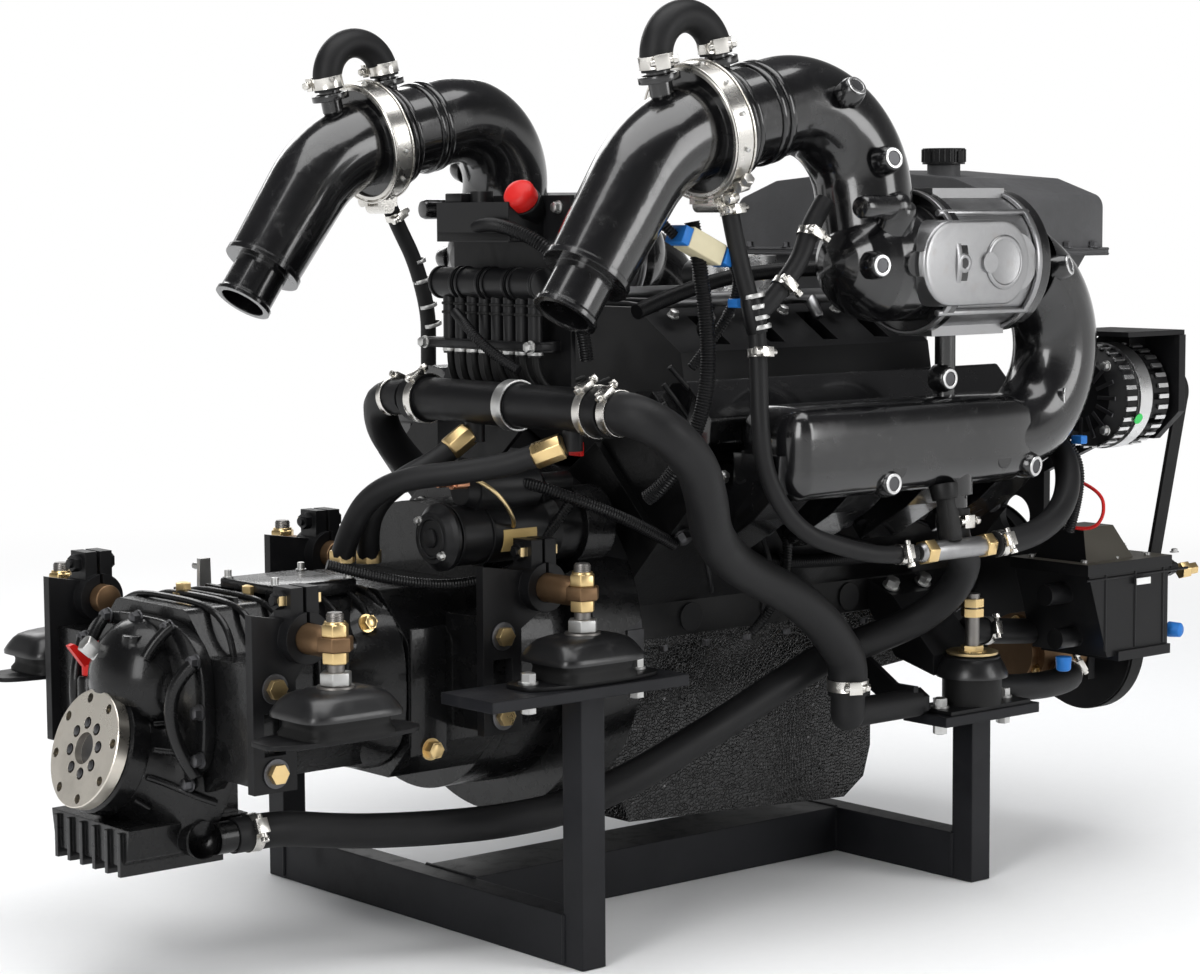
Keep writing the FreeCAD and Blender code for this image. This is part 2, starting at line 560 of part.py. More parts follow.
def make_gearbox():
    parts = [rod(-d.gearbox_front - d.input_flange, 0, d.crank_height,
                 d.input_flange_radius, d.input_flange),
             padded(octagon(d.case_half, d.case_bottom, d.case_top, 40, 54),
                    d.gearbox_step - d.gearbox_front - d.input_flange, "YZ_Plane",
                    -d.gearbox_step, corners=(3, 4, 5, 6), radius=Size.of(18)),
             padded(octagon(d.rear_half, d.rear_bottom, d.case_top - 4, 32, 48),
                    d.gearbox_aft - d.gearbox_step, "YZ_Plane", -d.gearbox_aft,
                    corners=(3, 4, 5, 6), radius=Size.of(16)),
             padded(octagon(d.aft_flange_half, d.rear_bottom, d.tail_top, 20, 60),
                    d.aft_flange, "YZ_Plane", -d.gearbox_aft)]
    low = d.gearbox_mount_level - d.bracket_low
    mid_low = d.aft_leg_top + d.pad_plate - d.bracket_low
    for side in (-1, 1):
        start = -d.bracket_side if side < 0 else d.rear_half - 12
        parts.append(box(-d.gearbox_aft, start, low + 4, 38,
                         d.bracket_side - d.rear_half + 12, 124))
        start = -d.bracket_side if side < 0 else d.case_half - 12
        parts.append(box(-d.mid_bolt_station - d.bracket_half + 4, start, mid_low + 4,
                         d.bracket_half * 2 - 8, d.bracket_side - d.case_half + 12, 124))
    for station in (480, 520, 560, 600):
        parts.append(box(-station, -60, d.case_top - 6, 6, 120, 8))
    parts.append(rod(-d.lever_station, d.rear_half - 4, d.lever_level, 16, 8, "Y"))
    pivot_bore = rod(-d.lever_station, d.rear_half - 16, d.lever_level, 6 + d.running_gap, 20.0, "Y")
    node("gearbox_case", minus(union(*parts), pivot_bore))

    tilt = turn((0, 1, 0), d.output_tilt.value)
    nose = d.flange_thickness + d.coupling_length
    stub_gap = 0.5
    face_x = -d.output_face
    barrel = turned(((nose + stub_gap, 0), (nose + stub_gap, d.tail_nose_radius),
                     (nose + 14, d.tail_nose_radius),
                     (nose + d.tail_cone_length, d.tail_cone_radius),
                     (nose + d.tail_cone_length + 30, d.tail_cone_radius),
                     (nose + d.tail_cone_length + 30, 0)),
                    face_x, 0, d.output_height, tilt)
    plate = padded(octagon(d.aft_flange_half, d.rear_bottom, d.tail_top, 20, 60),
                   d.tail_plate, "YZ_Plane", -d.gearbox_aft - d.tail_plate)
    dome = ball(-d.gearbox_aft - 12, 0, d.crank_height + 2, d.dome_radius)
    ribs = [box(-d.gearbox_aft - 62, y - 3, d.sump_level + 2, 60, 6, 150) for y in (-84, 84)]
    boss = rod(-d.dip_station, d.dip_side, d.sump_level + 30, d.dip_boss_radius,
               d.dip_top - d.sump_level - 30, "Z")
    plug = union(rod(-d.dip_station, -22, d.crank_height, 11, 58, "Z"),
                 hexagon(-d.dip_station, -22, d.crank_height + 58, 24, 10))
    keep_off = [span(-d.gearbox_aft, -d.gearbox_aft + 200, -220, 220, Size.of(0), Size.of(500)),
                span(-d.output_face - 100, -d.gearbox_aft + 100, -220, 220,
                     Size.of(0), d.sump_level + 2)]
    shaft_bore = turned(((0, 0), (0, d.output_shaft_radius + d.running_gap),
                         (nose + d.output_shaft_length + stub_gap,
                          d.output_shaft_radius + d.running_gap),
                         (nose + d.output_shaft_length + stub_gap, 0)),
                        face_x, 0, d.output_height, tilt)
    recess = turned(((-80, 0), (-80, d.flange_radius + 3), (d.flange_thickness + 3,
                      d.flange_radius + 3), (d.flange_thickness + 3, d.coupling_radius + 3),
                     (nose, d.coupling_radius + 3), (nose, 0)), face_x, 0, d.output_height, tilt)
    dip_bore = rod(-d.dip_station, d.dip_side, d.dip_top - d.dip_rod_length - 4,
                   d.dip_rod_radius + 1.0, d.dip_rod_length + 5, "Z")
    node("gearbox_tail_case",
         minus(union(barrel, plate, dome, boss, plug, *ribs), *keep_off, recess, shaft_bore, dip_bore))

    sump_length = d.sump_aft - d.gearbox_aft + 65
    trough = padded(((-d.sump_half, d.sump_level), (d.sump_half, d.sump_level),
                     (d.sump_half - 6, d.sump_bottom + 8), (d.sump_half - 14, d.sump_bottom),
                     (-d.sump_half + 14, d.sump_bottom), (-d.sump_half + 6, d.sump_bottom + 8)),
                    sump_length, "YZ_Plane", -d.sump_aft)
    neck = box(-d.gearbox_aft + 2, -66, d.sump_level, 60, 132, d.rear_bottom - d.sump_level)
    fins = [box(-d.sump_aft - 4, -d.fin_thickness / 2 + i * d.fin_pitch, d.sump_bottom - d.fin_depth,
                sump_length - 20, d.fin_thickness, d.sump_level - d.sump_bottom + d.fin_depth - 4)
            for i in (-2.5, -1.5, -0.5, 0.5, 1.5, 2.5)]
    elbow = union(rod(-d.gearbox_aft, -d.sump_half + 6, 160, d.elbow_radius + 3, 24, "-Y"),
                  ball(-d.gearbox_aft, -d.sump_half - 18, 160, d.elbow_radius + 3),
                  rod(-d.gearbox_aft, -d.sump_half - 18, 160, d.elbow_radius, 33))
    node("gearbox_oil_pan", union(trough, neck, elbow, *fins))

    bolt_circle = d.flange_pcd / 2
    flange = turned(((0, d.pilot_radius), (0, d.flange_radius - 1), (1, d.flange_radius),
                     (d.flange_thickness, d.flange_radius), (d.flange_thickness, 0),
                     (d.pilot_depth, 0), (d.pilot_depth, d.pilot_radius)))
    tools = []
    for i in range(8):
        angle = math.radians(d.flange_phase.value + i * 45)
        tools.append(rod(-1, bolt_circle * math.cos(angle), bolt_circle * math.sin(angle),
                         d.flange_hole, d.flange_thickness + 1))
    for i in range(8):
        angle = math.radians(34.5 + i * 45)
        tools.append(rod(-1, 27 * math.cos(angle), 27 * math.sin(angle), 6.5, 9))
    coupling = turned(((d.flange_thickness, 0), (d.flange_thickness, d.coupling_radius - 6),
                       (d.flange_thickness + 4, d.coupling_radius),
                       (nose, d.coupling_radius), (nose, d.output_shaft_radius),
                       (nose + d.output_shaft_length, d.output_shaft_radius),
                       (nose + d.output_shaft_length, 0)))
    disc = minus(union(flange, coupling), *tools)
    node("output_flange", place(disc, face_x, 0, d.output_height, tilt))


def make_gearbox_controls():
    """Selector lever on the port side and the pull-out dipstick."""
    pivot_y = d.rear_half + 4.3
    arm = padded(((-d.lever_station - 9, d.lever_level - 12), (-d.lever_station + 9, d.lever_level - 12),
                  (-d.lever_station + 7, d.lever_level + d.lever_length),
                  (-d.lever_station - 7, d.lever_level + d.lever_length)),
                 6, "XZ_Plane", 0, pivot_y + 6, 0)
    shaft = rod(-d.lever_station, d.rear_half - 15, d.lever_level, 6, 28, "Y")
    stud = rod(-d.lever_station, pivot_y + 6, d.lever_level + d.lever_length - 10, 4, 16, "Y")
    clamp_nut = hexagon(-d.lever_station, pivot_y + 6, d.lever_level, 17, 6, "Y")
    node("shift_lever", union(arm, shaft, stud, clamp_nut))

    x = -d.dip_station
    y = d.dip_side
    seat = d.dip_top + d.belt_gap
    stem = rod(x, y, seat, 8, 12, "Z")
    stick = rod(x, y, d.dip_top - d.dip_rod_length, d.dip_rod_radius, d.dip_rod_length + 2, "Z")
    wings = padded(((x - 8, seat + 10), (x + 8, seat + 10), (x + 18, seat + 34), (x + 12, seat + 36),
                    (x, seat + 24), (x - 20, seat + 36), (x - 26, seat + 34)),
                   8, "XZ_Plane", 0, y + 4, 0)
    node("gearbox_dipstick", union(stem, stick, wings))


# Engine

def deck_points(height, half, shift=0):
    """Outer and inner corner of a slab at a height along the starboard bank's bore axis."""
    base = height * ROOT_HALF
    across = Size.of(half) * ROOT_HALF
    lift = Size.of(shift) * ROOT_HALF
    return ((-(base + across) + lift, d.crank_height + base - across + lift),
            (-(base - across) + lift, d.crank_height + base + across + lift))


def make_block():
    z = d.crank_height
    outer, inner = deck_points(d.deck_height, d.deck_half)
    outline = ((-d.skirt_half, z), (d.skirt_half, z), (d.skirt_half, z + d.skirt_rise),
               (-outer[0], outer[1]), (-inner[0], inner[1]), (d.valley_half, z + d.valley_rise),
               (-d.valley_half, z + d.valley_rise), inner, outer, (-d.skirt_half, z + d.skirt_rise))
    body = padded(outline, d.block_length, "YZ_Plane", -d.block_aft)
    ladder = box(-d.block_aft + d.pan_wall + 5, -d.ladder_half, z - d.ladder_depth,
                 d.block_length - d.pan_wall * 2 - 10, d.ladder_half * 2, d.ladder_depth)
    bore = rod(-d.block_aft - 1, 0, z, d.journal_radius + d.running_gap, d.block_length + 2)
    plugs = []
    for side in (-1, 1):
        for i in range(3):
            plugs.append(rod(-d.block_aft + 120 + i * 130, side * (d.skirt_half - 2), z + 20,
                             17, 5, "Y" if side > 0 else "-Y"))
    ends = span(-d.block_aft - 1, -d.block_aft + d.pan_wall + 6, -d.ladder_half - 1,
                d.ladder_half + 1, z - d.ladder_depth - 1, z)
    node("engine_block", minus(union(body, ladder, *plugs), bore, ends))

    head_low = deck_points(d.deck_height, d.deck_half)
    head_high = deck_points(d.deck_height + d.head_height, d.deck_half)
    head = padded((head_low[0], head_low[1], head_high[1], head_high[0]), d.head_length,
                  "YZ_Plane", -d.block_aft + d.end_margin)
    node("cylinder_head_stbd", head)
    node("cylinder_head_port", mirror(head))

    low = deck_points(d.deck_height + d.head_height, d.cover_half, d.cover_inset)
    side_out, side_in = deck_points(d.deck_height + d.head_height + d.cover_height * 0.6,
                                    d.cover_half, d.cover_inset)
    top_out, top_in = deck_points(d.deck_height + d.head_height + d.cover_height,
                                  d.cover_half - 16, d.cover_inset)
    flange_out, flange_in = deck_points(d.deck_height + d.head_height, d.cover_half + 8,
                                        d.cover_inset)
    rise = 8 * ROOT_HALF
    rail = padded((flange_out, flange_in, (flange_in[0] - rise, flange_in[1] + rise),
                   (flange_out[0] - rise, flange_out[1] + rise)), d.cover_length, "YZ_Plane",
                  -d.block_aft + d.end_margin + (d.head_length - d.cover_length) / 2)
    dome = padded((low[0], low[1], side_in, top_in, top_out, side_out), d.cover_length - 18,
                  "YZ_Plane", -d.block_aft + d.end_margin + (d.head_length - d.cover_length) / 2 + 9,
                  corners=(2, 3, 4, 5), radius=Size.of(7))
    cover = union(rail, dome)
    node("valve_cover_stbd", cover)
    node("valve_cover_port", mirror(cover))


def make_pan():
    z = d.crank_height
    aft = -d.block_aft
    front = d.block_length - d.block_aft
    wall = d.pan_wall

    def outline(inset):
        return ((aft + inset, z), (aft + inset, z - 118 + inset), (aft + 42 + inset, d.pan_aft_low + inset),
                (d.pan_front - 46, d.pan_low + inset), (d.pan_front - 12 - inset * 0.6, d.pan_low + 22 + inset),
                (d.pan_front - inset, d.pan_low + 60), (d.pan_front - inset, d.pan_shallow + inset),
                (front - inset, d.pan_shallow + 12 + inset), (front - inset, z))

    outer = padded(outline(Size.of(0)), d.pan_half * 2, "XZ_Plane", 0, 0, 0, True)
    inner = padded(outline(wall), (d.pan_half - wall) * 2, "XZ_Plane", 0, 0, 0, True)
    rail = box(aft, -d.skirt_half, z - d.pan_rail, front - aft, d.skirt_half * 2, d.pan_rail)
    mouth = box(aft + wall, -d.pan_half + wall, z - d.pan_rail - 1, front - aft - wall * 2,
                (d.pan_half - wall) * 2, d.pan_rail + 2)
    ends = rod(aft - 1, 0, z, d.journal_radius + 4, front - aft + 2)
    drain = hexagon(d.pan_front - 60, -60, d.pan_low + 6, 22, 14, "-Z")
    pipe_x, pipe_y, pipe_z = 96, -284, 228
    pipe = union(rod(pipe_x, pipe_y, pipe_z, 20, 22, "Z"), ball(pipe_x, pipe_y, pipe_z, 20),
                 rod(pipe_x, pipe_y, pipe_z, 17, 114), hexagon(pipe_x + 112, pipe_y, pipe_z, 30, 10, "X"))
    hanger = padded(((-140, z), (-140, z - 40), (pipe_y + 22, pipe_z - 12), (pipe_y - 10, pipe_z - 12),
                     (pipe_y - 10, pipe_z + 21), (pipe_y + 22, pipe_z + 21)), 8, "YZ_Plane", 196)
    node("oil_pan", union(minus(union(outer, rail), inner, mouth, ends), drain, pipe, hanger))


def make_flywheel_end():
    z = d.crank_height
    front = -d.block_aft
    step = -d.housing_step
    aft = -d.gearbox_front
    radius = d.housing_radius
    wall = d.housing_wall
    shell = turned(((front, radius - wall), (front, radius), (step, radius),
                    (step, d.input_flange_radius + 2), (aft, d.input_flange_radius),
                    (aft, d.input_flange_radius - wall), (step + 5, d.input_flange_radius - wall),
                    (step + 5, radius - wall)), 0, 0, z)
    pad_top = box(step + 5, -50, z + radius - wall + 4, 60, 100, d.housing_pad - z - radius + wall - 4)
    boss = rod(step, -d.starter_side, d.starter_height, d.starter_radius + 7, 40)
    well = rod(step + 5, 0, z, radius - wall, 70)
    window = span(step + 12, front + 1, Size.of(-92), Size.of(92), z - radius - 10,
                  z - radius + 60)
    ears = [box(front - 24, side * 190 - 16, z - 24, 24, 32, 48) for side in (-1, 1)]
    node("flywheel_housing", minus(union(shell, pad_top, boss, *ears), well, window))

    rim = turned(((-178, 0), (-178, 90), (-184, 100), (-184, d.flywheel_radius - 6),
                  (-182, d.flywheel_radius), (-160, d.flywheel_radius), (-160, 100),
                  (-166, 90), (-166, 55), (-160.5, 55), (-160.5, 0)), 0, 0, z)
    node("flywheel", rim)

    nose_end = d.belt_station + d.belt_width + 4
    shaft = turned(((-160.5, 0), (-160.5, d.crank_flange_radius),
                    (front - 0.5, d.crank_flange_radius), (front - 0.5, d.journal_radius),
                    (d.block_length - d.block_aft + 1, d.journal_radius),
                    (d.block_length - d.block_aft + 1, d.nose_radius),
                    (nose_end, d.nose_radius), (nose_end, 0)), 0, 0, z)
    rim = turned(pulley(d.crank_pulley_radius, d.nose_radius + 22, 0), 0, 0, z)
    node("crankshaft", union(shaft, rim))


# Front drive

def pulley(radius, hub, bore, front_dish=14.0):
    """Flanged belt pulley profile about X, dished from the front."""
    start = d.belt_station - d.rim_width
    inner = d.belt_station
    outer = d.belt_station + d.belt_width
    end = outer + d.rim_width
    return ((start, bore), (start, radius + d.rim_height), (inner, radius + d.rim_height),
            (inner, radius), (outer, radius), (outer, radius + d.rim_height),
            (end, radius + d.rim_height), (end, radius - 7), (end - front_dish, radius - 9),
            (end - front_dish, hub), (end, hub), (end, bore))


def belt_circles():
    """Pulley centres and radii in the order the belt passes them, seen from aft."""
    return [((-d.sea_side.value, d.sea_height.value), d.sea_pulley_radius.value),
            ((0.0, d.crank_height.value), d.crank_pulley_radius.value),
            ((0.0, d.pump_height.value), d.pump_pulley_radius.value),
            ((-d.alternator_side.value, d.alternator_height.value),
             d.alternator_pulley_radius.value)]


def tangent(first, second, extra):
    """The straight belt run between two circles, grown by extra."""
    (y1, z1), r1 = first
    (y2, z2), r2 = second
    run = math.hypot(y2 - y1, z2 - z1)
    lean = math.asin((r1 - r2) / run)
    heading = math.atan2(z2 - z1, y2 - y1)
    normal = heading - math.pi / 2 + lean
    out = (math.cos(normal), math.sin(normal))
    return ((y1 + out[0] * (r1 + extra), z1 + out[1] * (r1 + extra)),
            (y2 + out[0] * (r2 + extra), z2 + out[1] * (r2 + extra)), normal)


def belt_loop(extra):
    """Closed wire around all pulleys at a distance from their faces."""
    circles = belt_circles()
    x = d.belt_station.value + 0.3
    runs = [tangent(a, b, extra) for a, b in zip(circles, circles[1:] + circles[:1])]
    edges = []
    for i, (circle, run) in enumerate(zip(circles, runs)):
        arrive = runs[i - 1]
        (cy, cz), radius = circle
        a0, a1 = arrive[2], run[2]
        while a1 < a0:
            a1 += 2 * math.pi
        mid = (a0 + a1) / 2
        points = [FreeCAD.Vector(x, cy + (radius + extra) * math.cos(a),
                                 cz + (radius + extra) * math.sin(a)) for a in (a0, mid, a1)]
        edges.append(Part.Arc(*points).toShape())
        edges.append(Part.LineSegment(FreeCAD.Vector(x, *run[0]), FreeCAD.Vector(x, *run[1])).toShape())
    return Part.Wire(edges)


def tensioner_centre():
    """Centre of the idler that leans on the belt's back between crank and water pump."""
    circles = belt_circles()
    crank, pump = circles[1], circles[2]
    start, end, normal = tangent(crank, pump, 0)
    reach = (crank[1] + 2 * d.belt_gap.value + d.belt_thickness.value + d.tensioner_radius.value)
    along = normal + math.pi / 2
    return (crank[0][0] + reach * math.cos(normal) + d.tensioner_along.value * math.cos(along),
            crank[0][1] + reach * math.sin(normal) + d.tensioner_along.value * math.sin(along))


def make_front_drive():
    z = d.crank_height
    front = d.block_length - d.block_aft
    half = 118
    cover = padded(((-half, z), (half, z), (half, z + 70), (70, z + 172), (-70, z + 172),
                    (-half, z + 70)), d.timing_depth, "YZ_Plane", front,
                   corners=(2, 3, 4, 5), radius=Size.of(20))
    seal = rod(front + d.timing_depth, 0, z, 44, 14)
    pump = rod(front, 0, d.pump_height, d.pump_radius, d.bracket_face - front)
    waist = rod(front + d.timing_depth + 20, 0, d.pump_height, d.pump_radius + 8, 30)
    inlet = rod(front + 90, d.pump_radius - 20, d.pump_height, 22, 64, "Y")
    riser = rod(front + 44, 0, d.pump_height, 36, d.tank_floor - d.pump_height, "Z")
    neck = rod(front + 44, 0, d.tank_floor - 22, 46, 22, "Z")
    crank_bore = rod(front - 1, 0, z, d.nose_radius + d.running_gap, d.timing_depth + 20)
    cavity = rod(front - 1, 0, z, d.journal_radius + 1, 3)
    pump_bore = rod(d.bracket_face - 60, 0, d.pump_height, d.pump_shaft_radius + d.running_gap, 61)
    low = span(front - 1, front + 80, Size.of(-130), Size.of(130), z - 60, z)
    node("timing_cover", minus(union(cover, seal, pump, waist, inlet, riser, neck),
                               crank_bore, cavity, pump_bore, low))

    hub_start = d.bracket_face + d.accessory_plate + 2
    for name, radius, y, height, shaft, inner in (
            ("water_pump_pulley", d.pump_pulley_radius, Size.of(0), d.pump_height,
             d.pump_shaft_radius, d.bracket_face - 58),
            ("sea_pump_pulley", d.sea_pulley_radius, -d.sea_side, d.sea_height,
             d.pump_shaft_radius, d.bracket_face - 60),
            ("alternator_rotor", d.alternator_pulley_radius, -d.alternator_side,
             d.alternator_height, d.rotor_shaft_radius, d.bracket_face - 80)):
        dish = 6.0 if name == "alternator_rotor" else 16.0
        wheel = turned(pulley(radius, shaft + 6, 0, dish))
        hub = rod(hub_start, 0, 0, shaft + 6, d.belt_station - hub_start)
        shaft_rod = rod(inner, 0, 0, shaft, d.belt_station - inner)
        lock = hexagon(d.belt_station + d.belt_width + 3, 0, 0, 22, 8, "X")
        node(name, place(union(wheel, hub, shaft_rod, lock), 0, y, height))

    ty, tz = tensioner_centre()
    pivot = (d.pivot_side, d.pivot_height)
    face = d.bracket_face + d.accessory_plate
    plate_points = ((-60, z - 58), (-150, 196), (-228, 206), (-230, 290), (-290, 292), (-290, 352),
                    (-150, 356), (-150, 470), (-262, 522), (-330, 524), (-368, 560), (-368, 655),
                    (-246, 655), (-228, 640), (-64, 575), (64, 575), (90, 470), (150, 420),
                    (205, 400), (205, 356), (150, 346), (60, z - 58))
    plate = padded(plate_points, d.accessory_plate, "YZ_Plane", d.bracket_face)
    shelf = box(d.bracket_face - 96, -366, 655, 108, 118, 6)
    holes = [rod(d.bracket_face - 1, 0, z, d.nose_radius + 14, d.accessory_plate + 2),
             rod(d.bracket_face - 1, 0, d.pump_height, d.pump_shaft_radius + 9,
                 d.accessory_plate + 2),
             rod(d.bracket_face - 1, -d.sea_side, d.sea_height, d.pump_shaft_radius + 9,
                 d.accessory_plate + 2),
             rod(d.bracket_face - 1, -d.alternator_side, d.alternator_height,
                 d.rotor_shaft_radius + 9, d.accessory_plate + 2),
             rod(d.bracket_face - 1, -100, 410, 26, d.accessory_plate + 2),
             rod(d.bracket_face - 1, -180, 545, 20, d.accessory_plate + 2)]
    pin = rod(face, pivot[0], pivot[1], 9, 14)
    node("accessory_bracket", union(minus(union(plate, shelf), *holes), pin))

    pivot_v = (pivot[0].value, pivot[1].value)
    lean = math.degrees(math.atan2(tz - pivot_v[1], ty - pivot_v[0]))
    reach = math.hypot(ty - pivot_v[0], tz - pivot_v[1])
    boss = minus(rod(face + 0.3, 0, 0, 18, 13.4), rod(face, 0, 0, 9 + d.running_gap, 20))
    link = minus(box(face + 4, 0, -11, 8, reach, 22), rod(face, 0, 0, 17, 20))
    wheel = rod(d.belt_station - 2, reach, 0, d.tensioner_radius, d.belt_width + 4)
    pin = rod(face + 4, reach, 0, 8, d.belt_station + d.belt_width + 6 - face)
    arm = union(boss, link, wheel, pin)
    place(arm, 0, pivot[0], pivot[1], turn((1, 0, 0), lean))
    node("tensioner_arm", arm)

    gap = d.belt_gap.value
    outer = Part.Face(belt_loop(gap + d.belt_thickness.value))
    inner = Part.Face(belt_loop(gap))
    band = outer.cut(inner).extrude(FreeCAD.Vector(d.belt_width.value - 0.6, 0, 0))
    node("serpentine_belt", solid_feature(band))

    body = turned(((-d.alternator_length, 0), (-d.alternator_length, d.alternator_radius - 22),
                   (-d.alternator_length + 14, d.alternator_radius - 4),
                   (-d.alternator_length + 34, d.alternator_radius - 4),
                   (-d.alternator_length + 34, d.alternator_radius),
                   (-48, d.alternator_radius), (-48, d.alternator_radius - 5),
                   (-10, d.alternator_radius - 5), (0, d.alternator_radius - 16), (0, 0)),
                  d.bracket_face, -d.alternator_side, d.alternator_height)
    slots = []
    for i in range(12):
        slot = box(-40, d.alternator_radius - 14, -4, 26, 12, 8)
        holder = doc.addObject("Part::Compound", fresh("Slot"))
        holder.Links = [slot]
        place(holder, d.bracket_face, -d.alternator_side, d.alternator_height,
              turn((1, 0, 0), i * 30))
        slots.append(holder)
    ear = box(d.bracket_face - 30, -d.alternator_side - 14, d.alternator_height + 54, 30, 28, 20)
    bore = rod(d.bracket_face - 82, -d.alternator_side, d.alternator_height,
               d.rotor_shaft_radius + d.running_gap, 83)
    node("alternator", minus(union(body, ear), bore, *slots))

    y = -d.sea_side
    start = d.bracket_face - d.sea_body_length
    body = union(rod(start, y, d.sea_height, d.sea_body_radius, d.sea_body_length),
                 rod(start - 12, y, d.sea_height, d.sea_body_radius - 10, 12),
                 rod(start + 30, y - 22, d.sea_height + 26, 17, 31, "-Y"),
                 rod(start + 30, y - 22, d.sea_height - 24, 17, 31, "-Y"))
    bore = rod(d.bracket_face - 62, y, d.sea_height, d.pump_shaft_radius + d.running_gap, 63)
    node("sea_pump", minus(body, bore))


# Intake

def make_intake():
    low = deck_points(d.deck_height, d.deck_half)[1]
    high = deck_points(d.deck_height + d.head_height, d.deck_half)[1]

    def along(share):
        return (low[0] + (high[0] - low[0]) * share, low[1] + (high[1] - low[1]) * share)

    foot, shoulder = along(0.08), along(0.9)
    half = ((-d.valley_half + 6, d.crank_height + d.valley_rise + 16), foot, shoulder,
            (shoulder[0] + 8, d.plenum_top - 50), (-112, d.plenum_top - 14), (-92, d.plenum_top))
    right = tuple((-a, b) for a, b in reversed(half))
    outline = half + right
    manifold = padded(outline, d.intake_fwd + d.intake_aft, "YZ_Plane", -d.intake_aft)
    runner_cuts = [span(-d.intake_aft + 64 + i * 88, -d.intake_aft + 88 + i * 88, side * 170 - 70,
                        side * 170 + 70, d.plenum_top - 44, d.plenum_top - 12)
                   for i in range(4) for side in (-1, 1)]
    carved = minus(manifold, *runner_cuts)
    bore = rod(d.throttle_station, 0, d.plenum_top - 40, d.throttle_bore, 41, "Z")
    node("intake_manifold", minus(carved, bore))

    top = d.plenum_top + d.throttle_height
    outer = d.throttle_bore + d.throttle_wall
    ring = rod(d.throttle_station, 0, d.plenum_top, outer, d.throttle_height, "Z")
    foot_plate = box(d.throttle_station - outer, -outer, d.plenum_top, outer * 2, outer * 2, 10)
    motor = rod(d.throttle_station + 12, outer - 6, d.plenum_top + 30, 20, 44, "Y")
    bore = rod(d.throttle_station, 0, d.plenum_top - 1, d.throttle_bore, d.throttle_height + 2, "Z")
    spindle = rod(d.throttle_station, -outer - 1, top - 26, 4 + d.running_gap, outer * 2 + 2, "Y")
    node("throttle_body", minus(union(ring, foot_plate, motor), bore, spindle))
    disc = rod(d.throttle_station, 0, top - 27.5, d.throttle_bore - d.plate_gap, 3, "Z")
    shaft = rod(d.throttle_station, -outer + 2, top - 26, 4, outer * 2 - 4, "Y")
    node("throttle_plate", union(disc, shaft))


# Exhaust

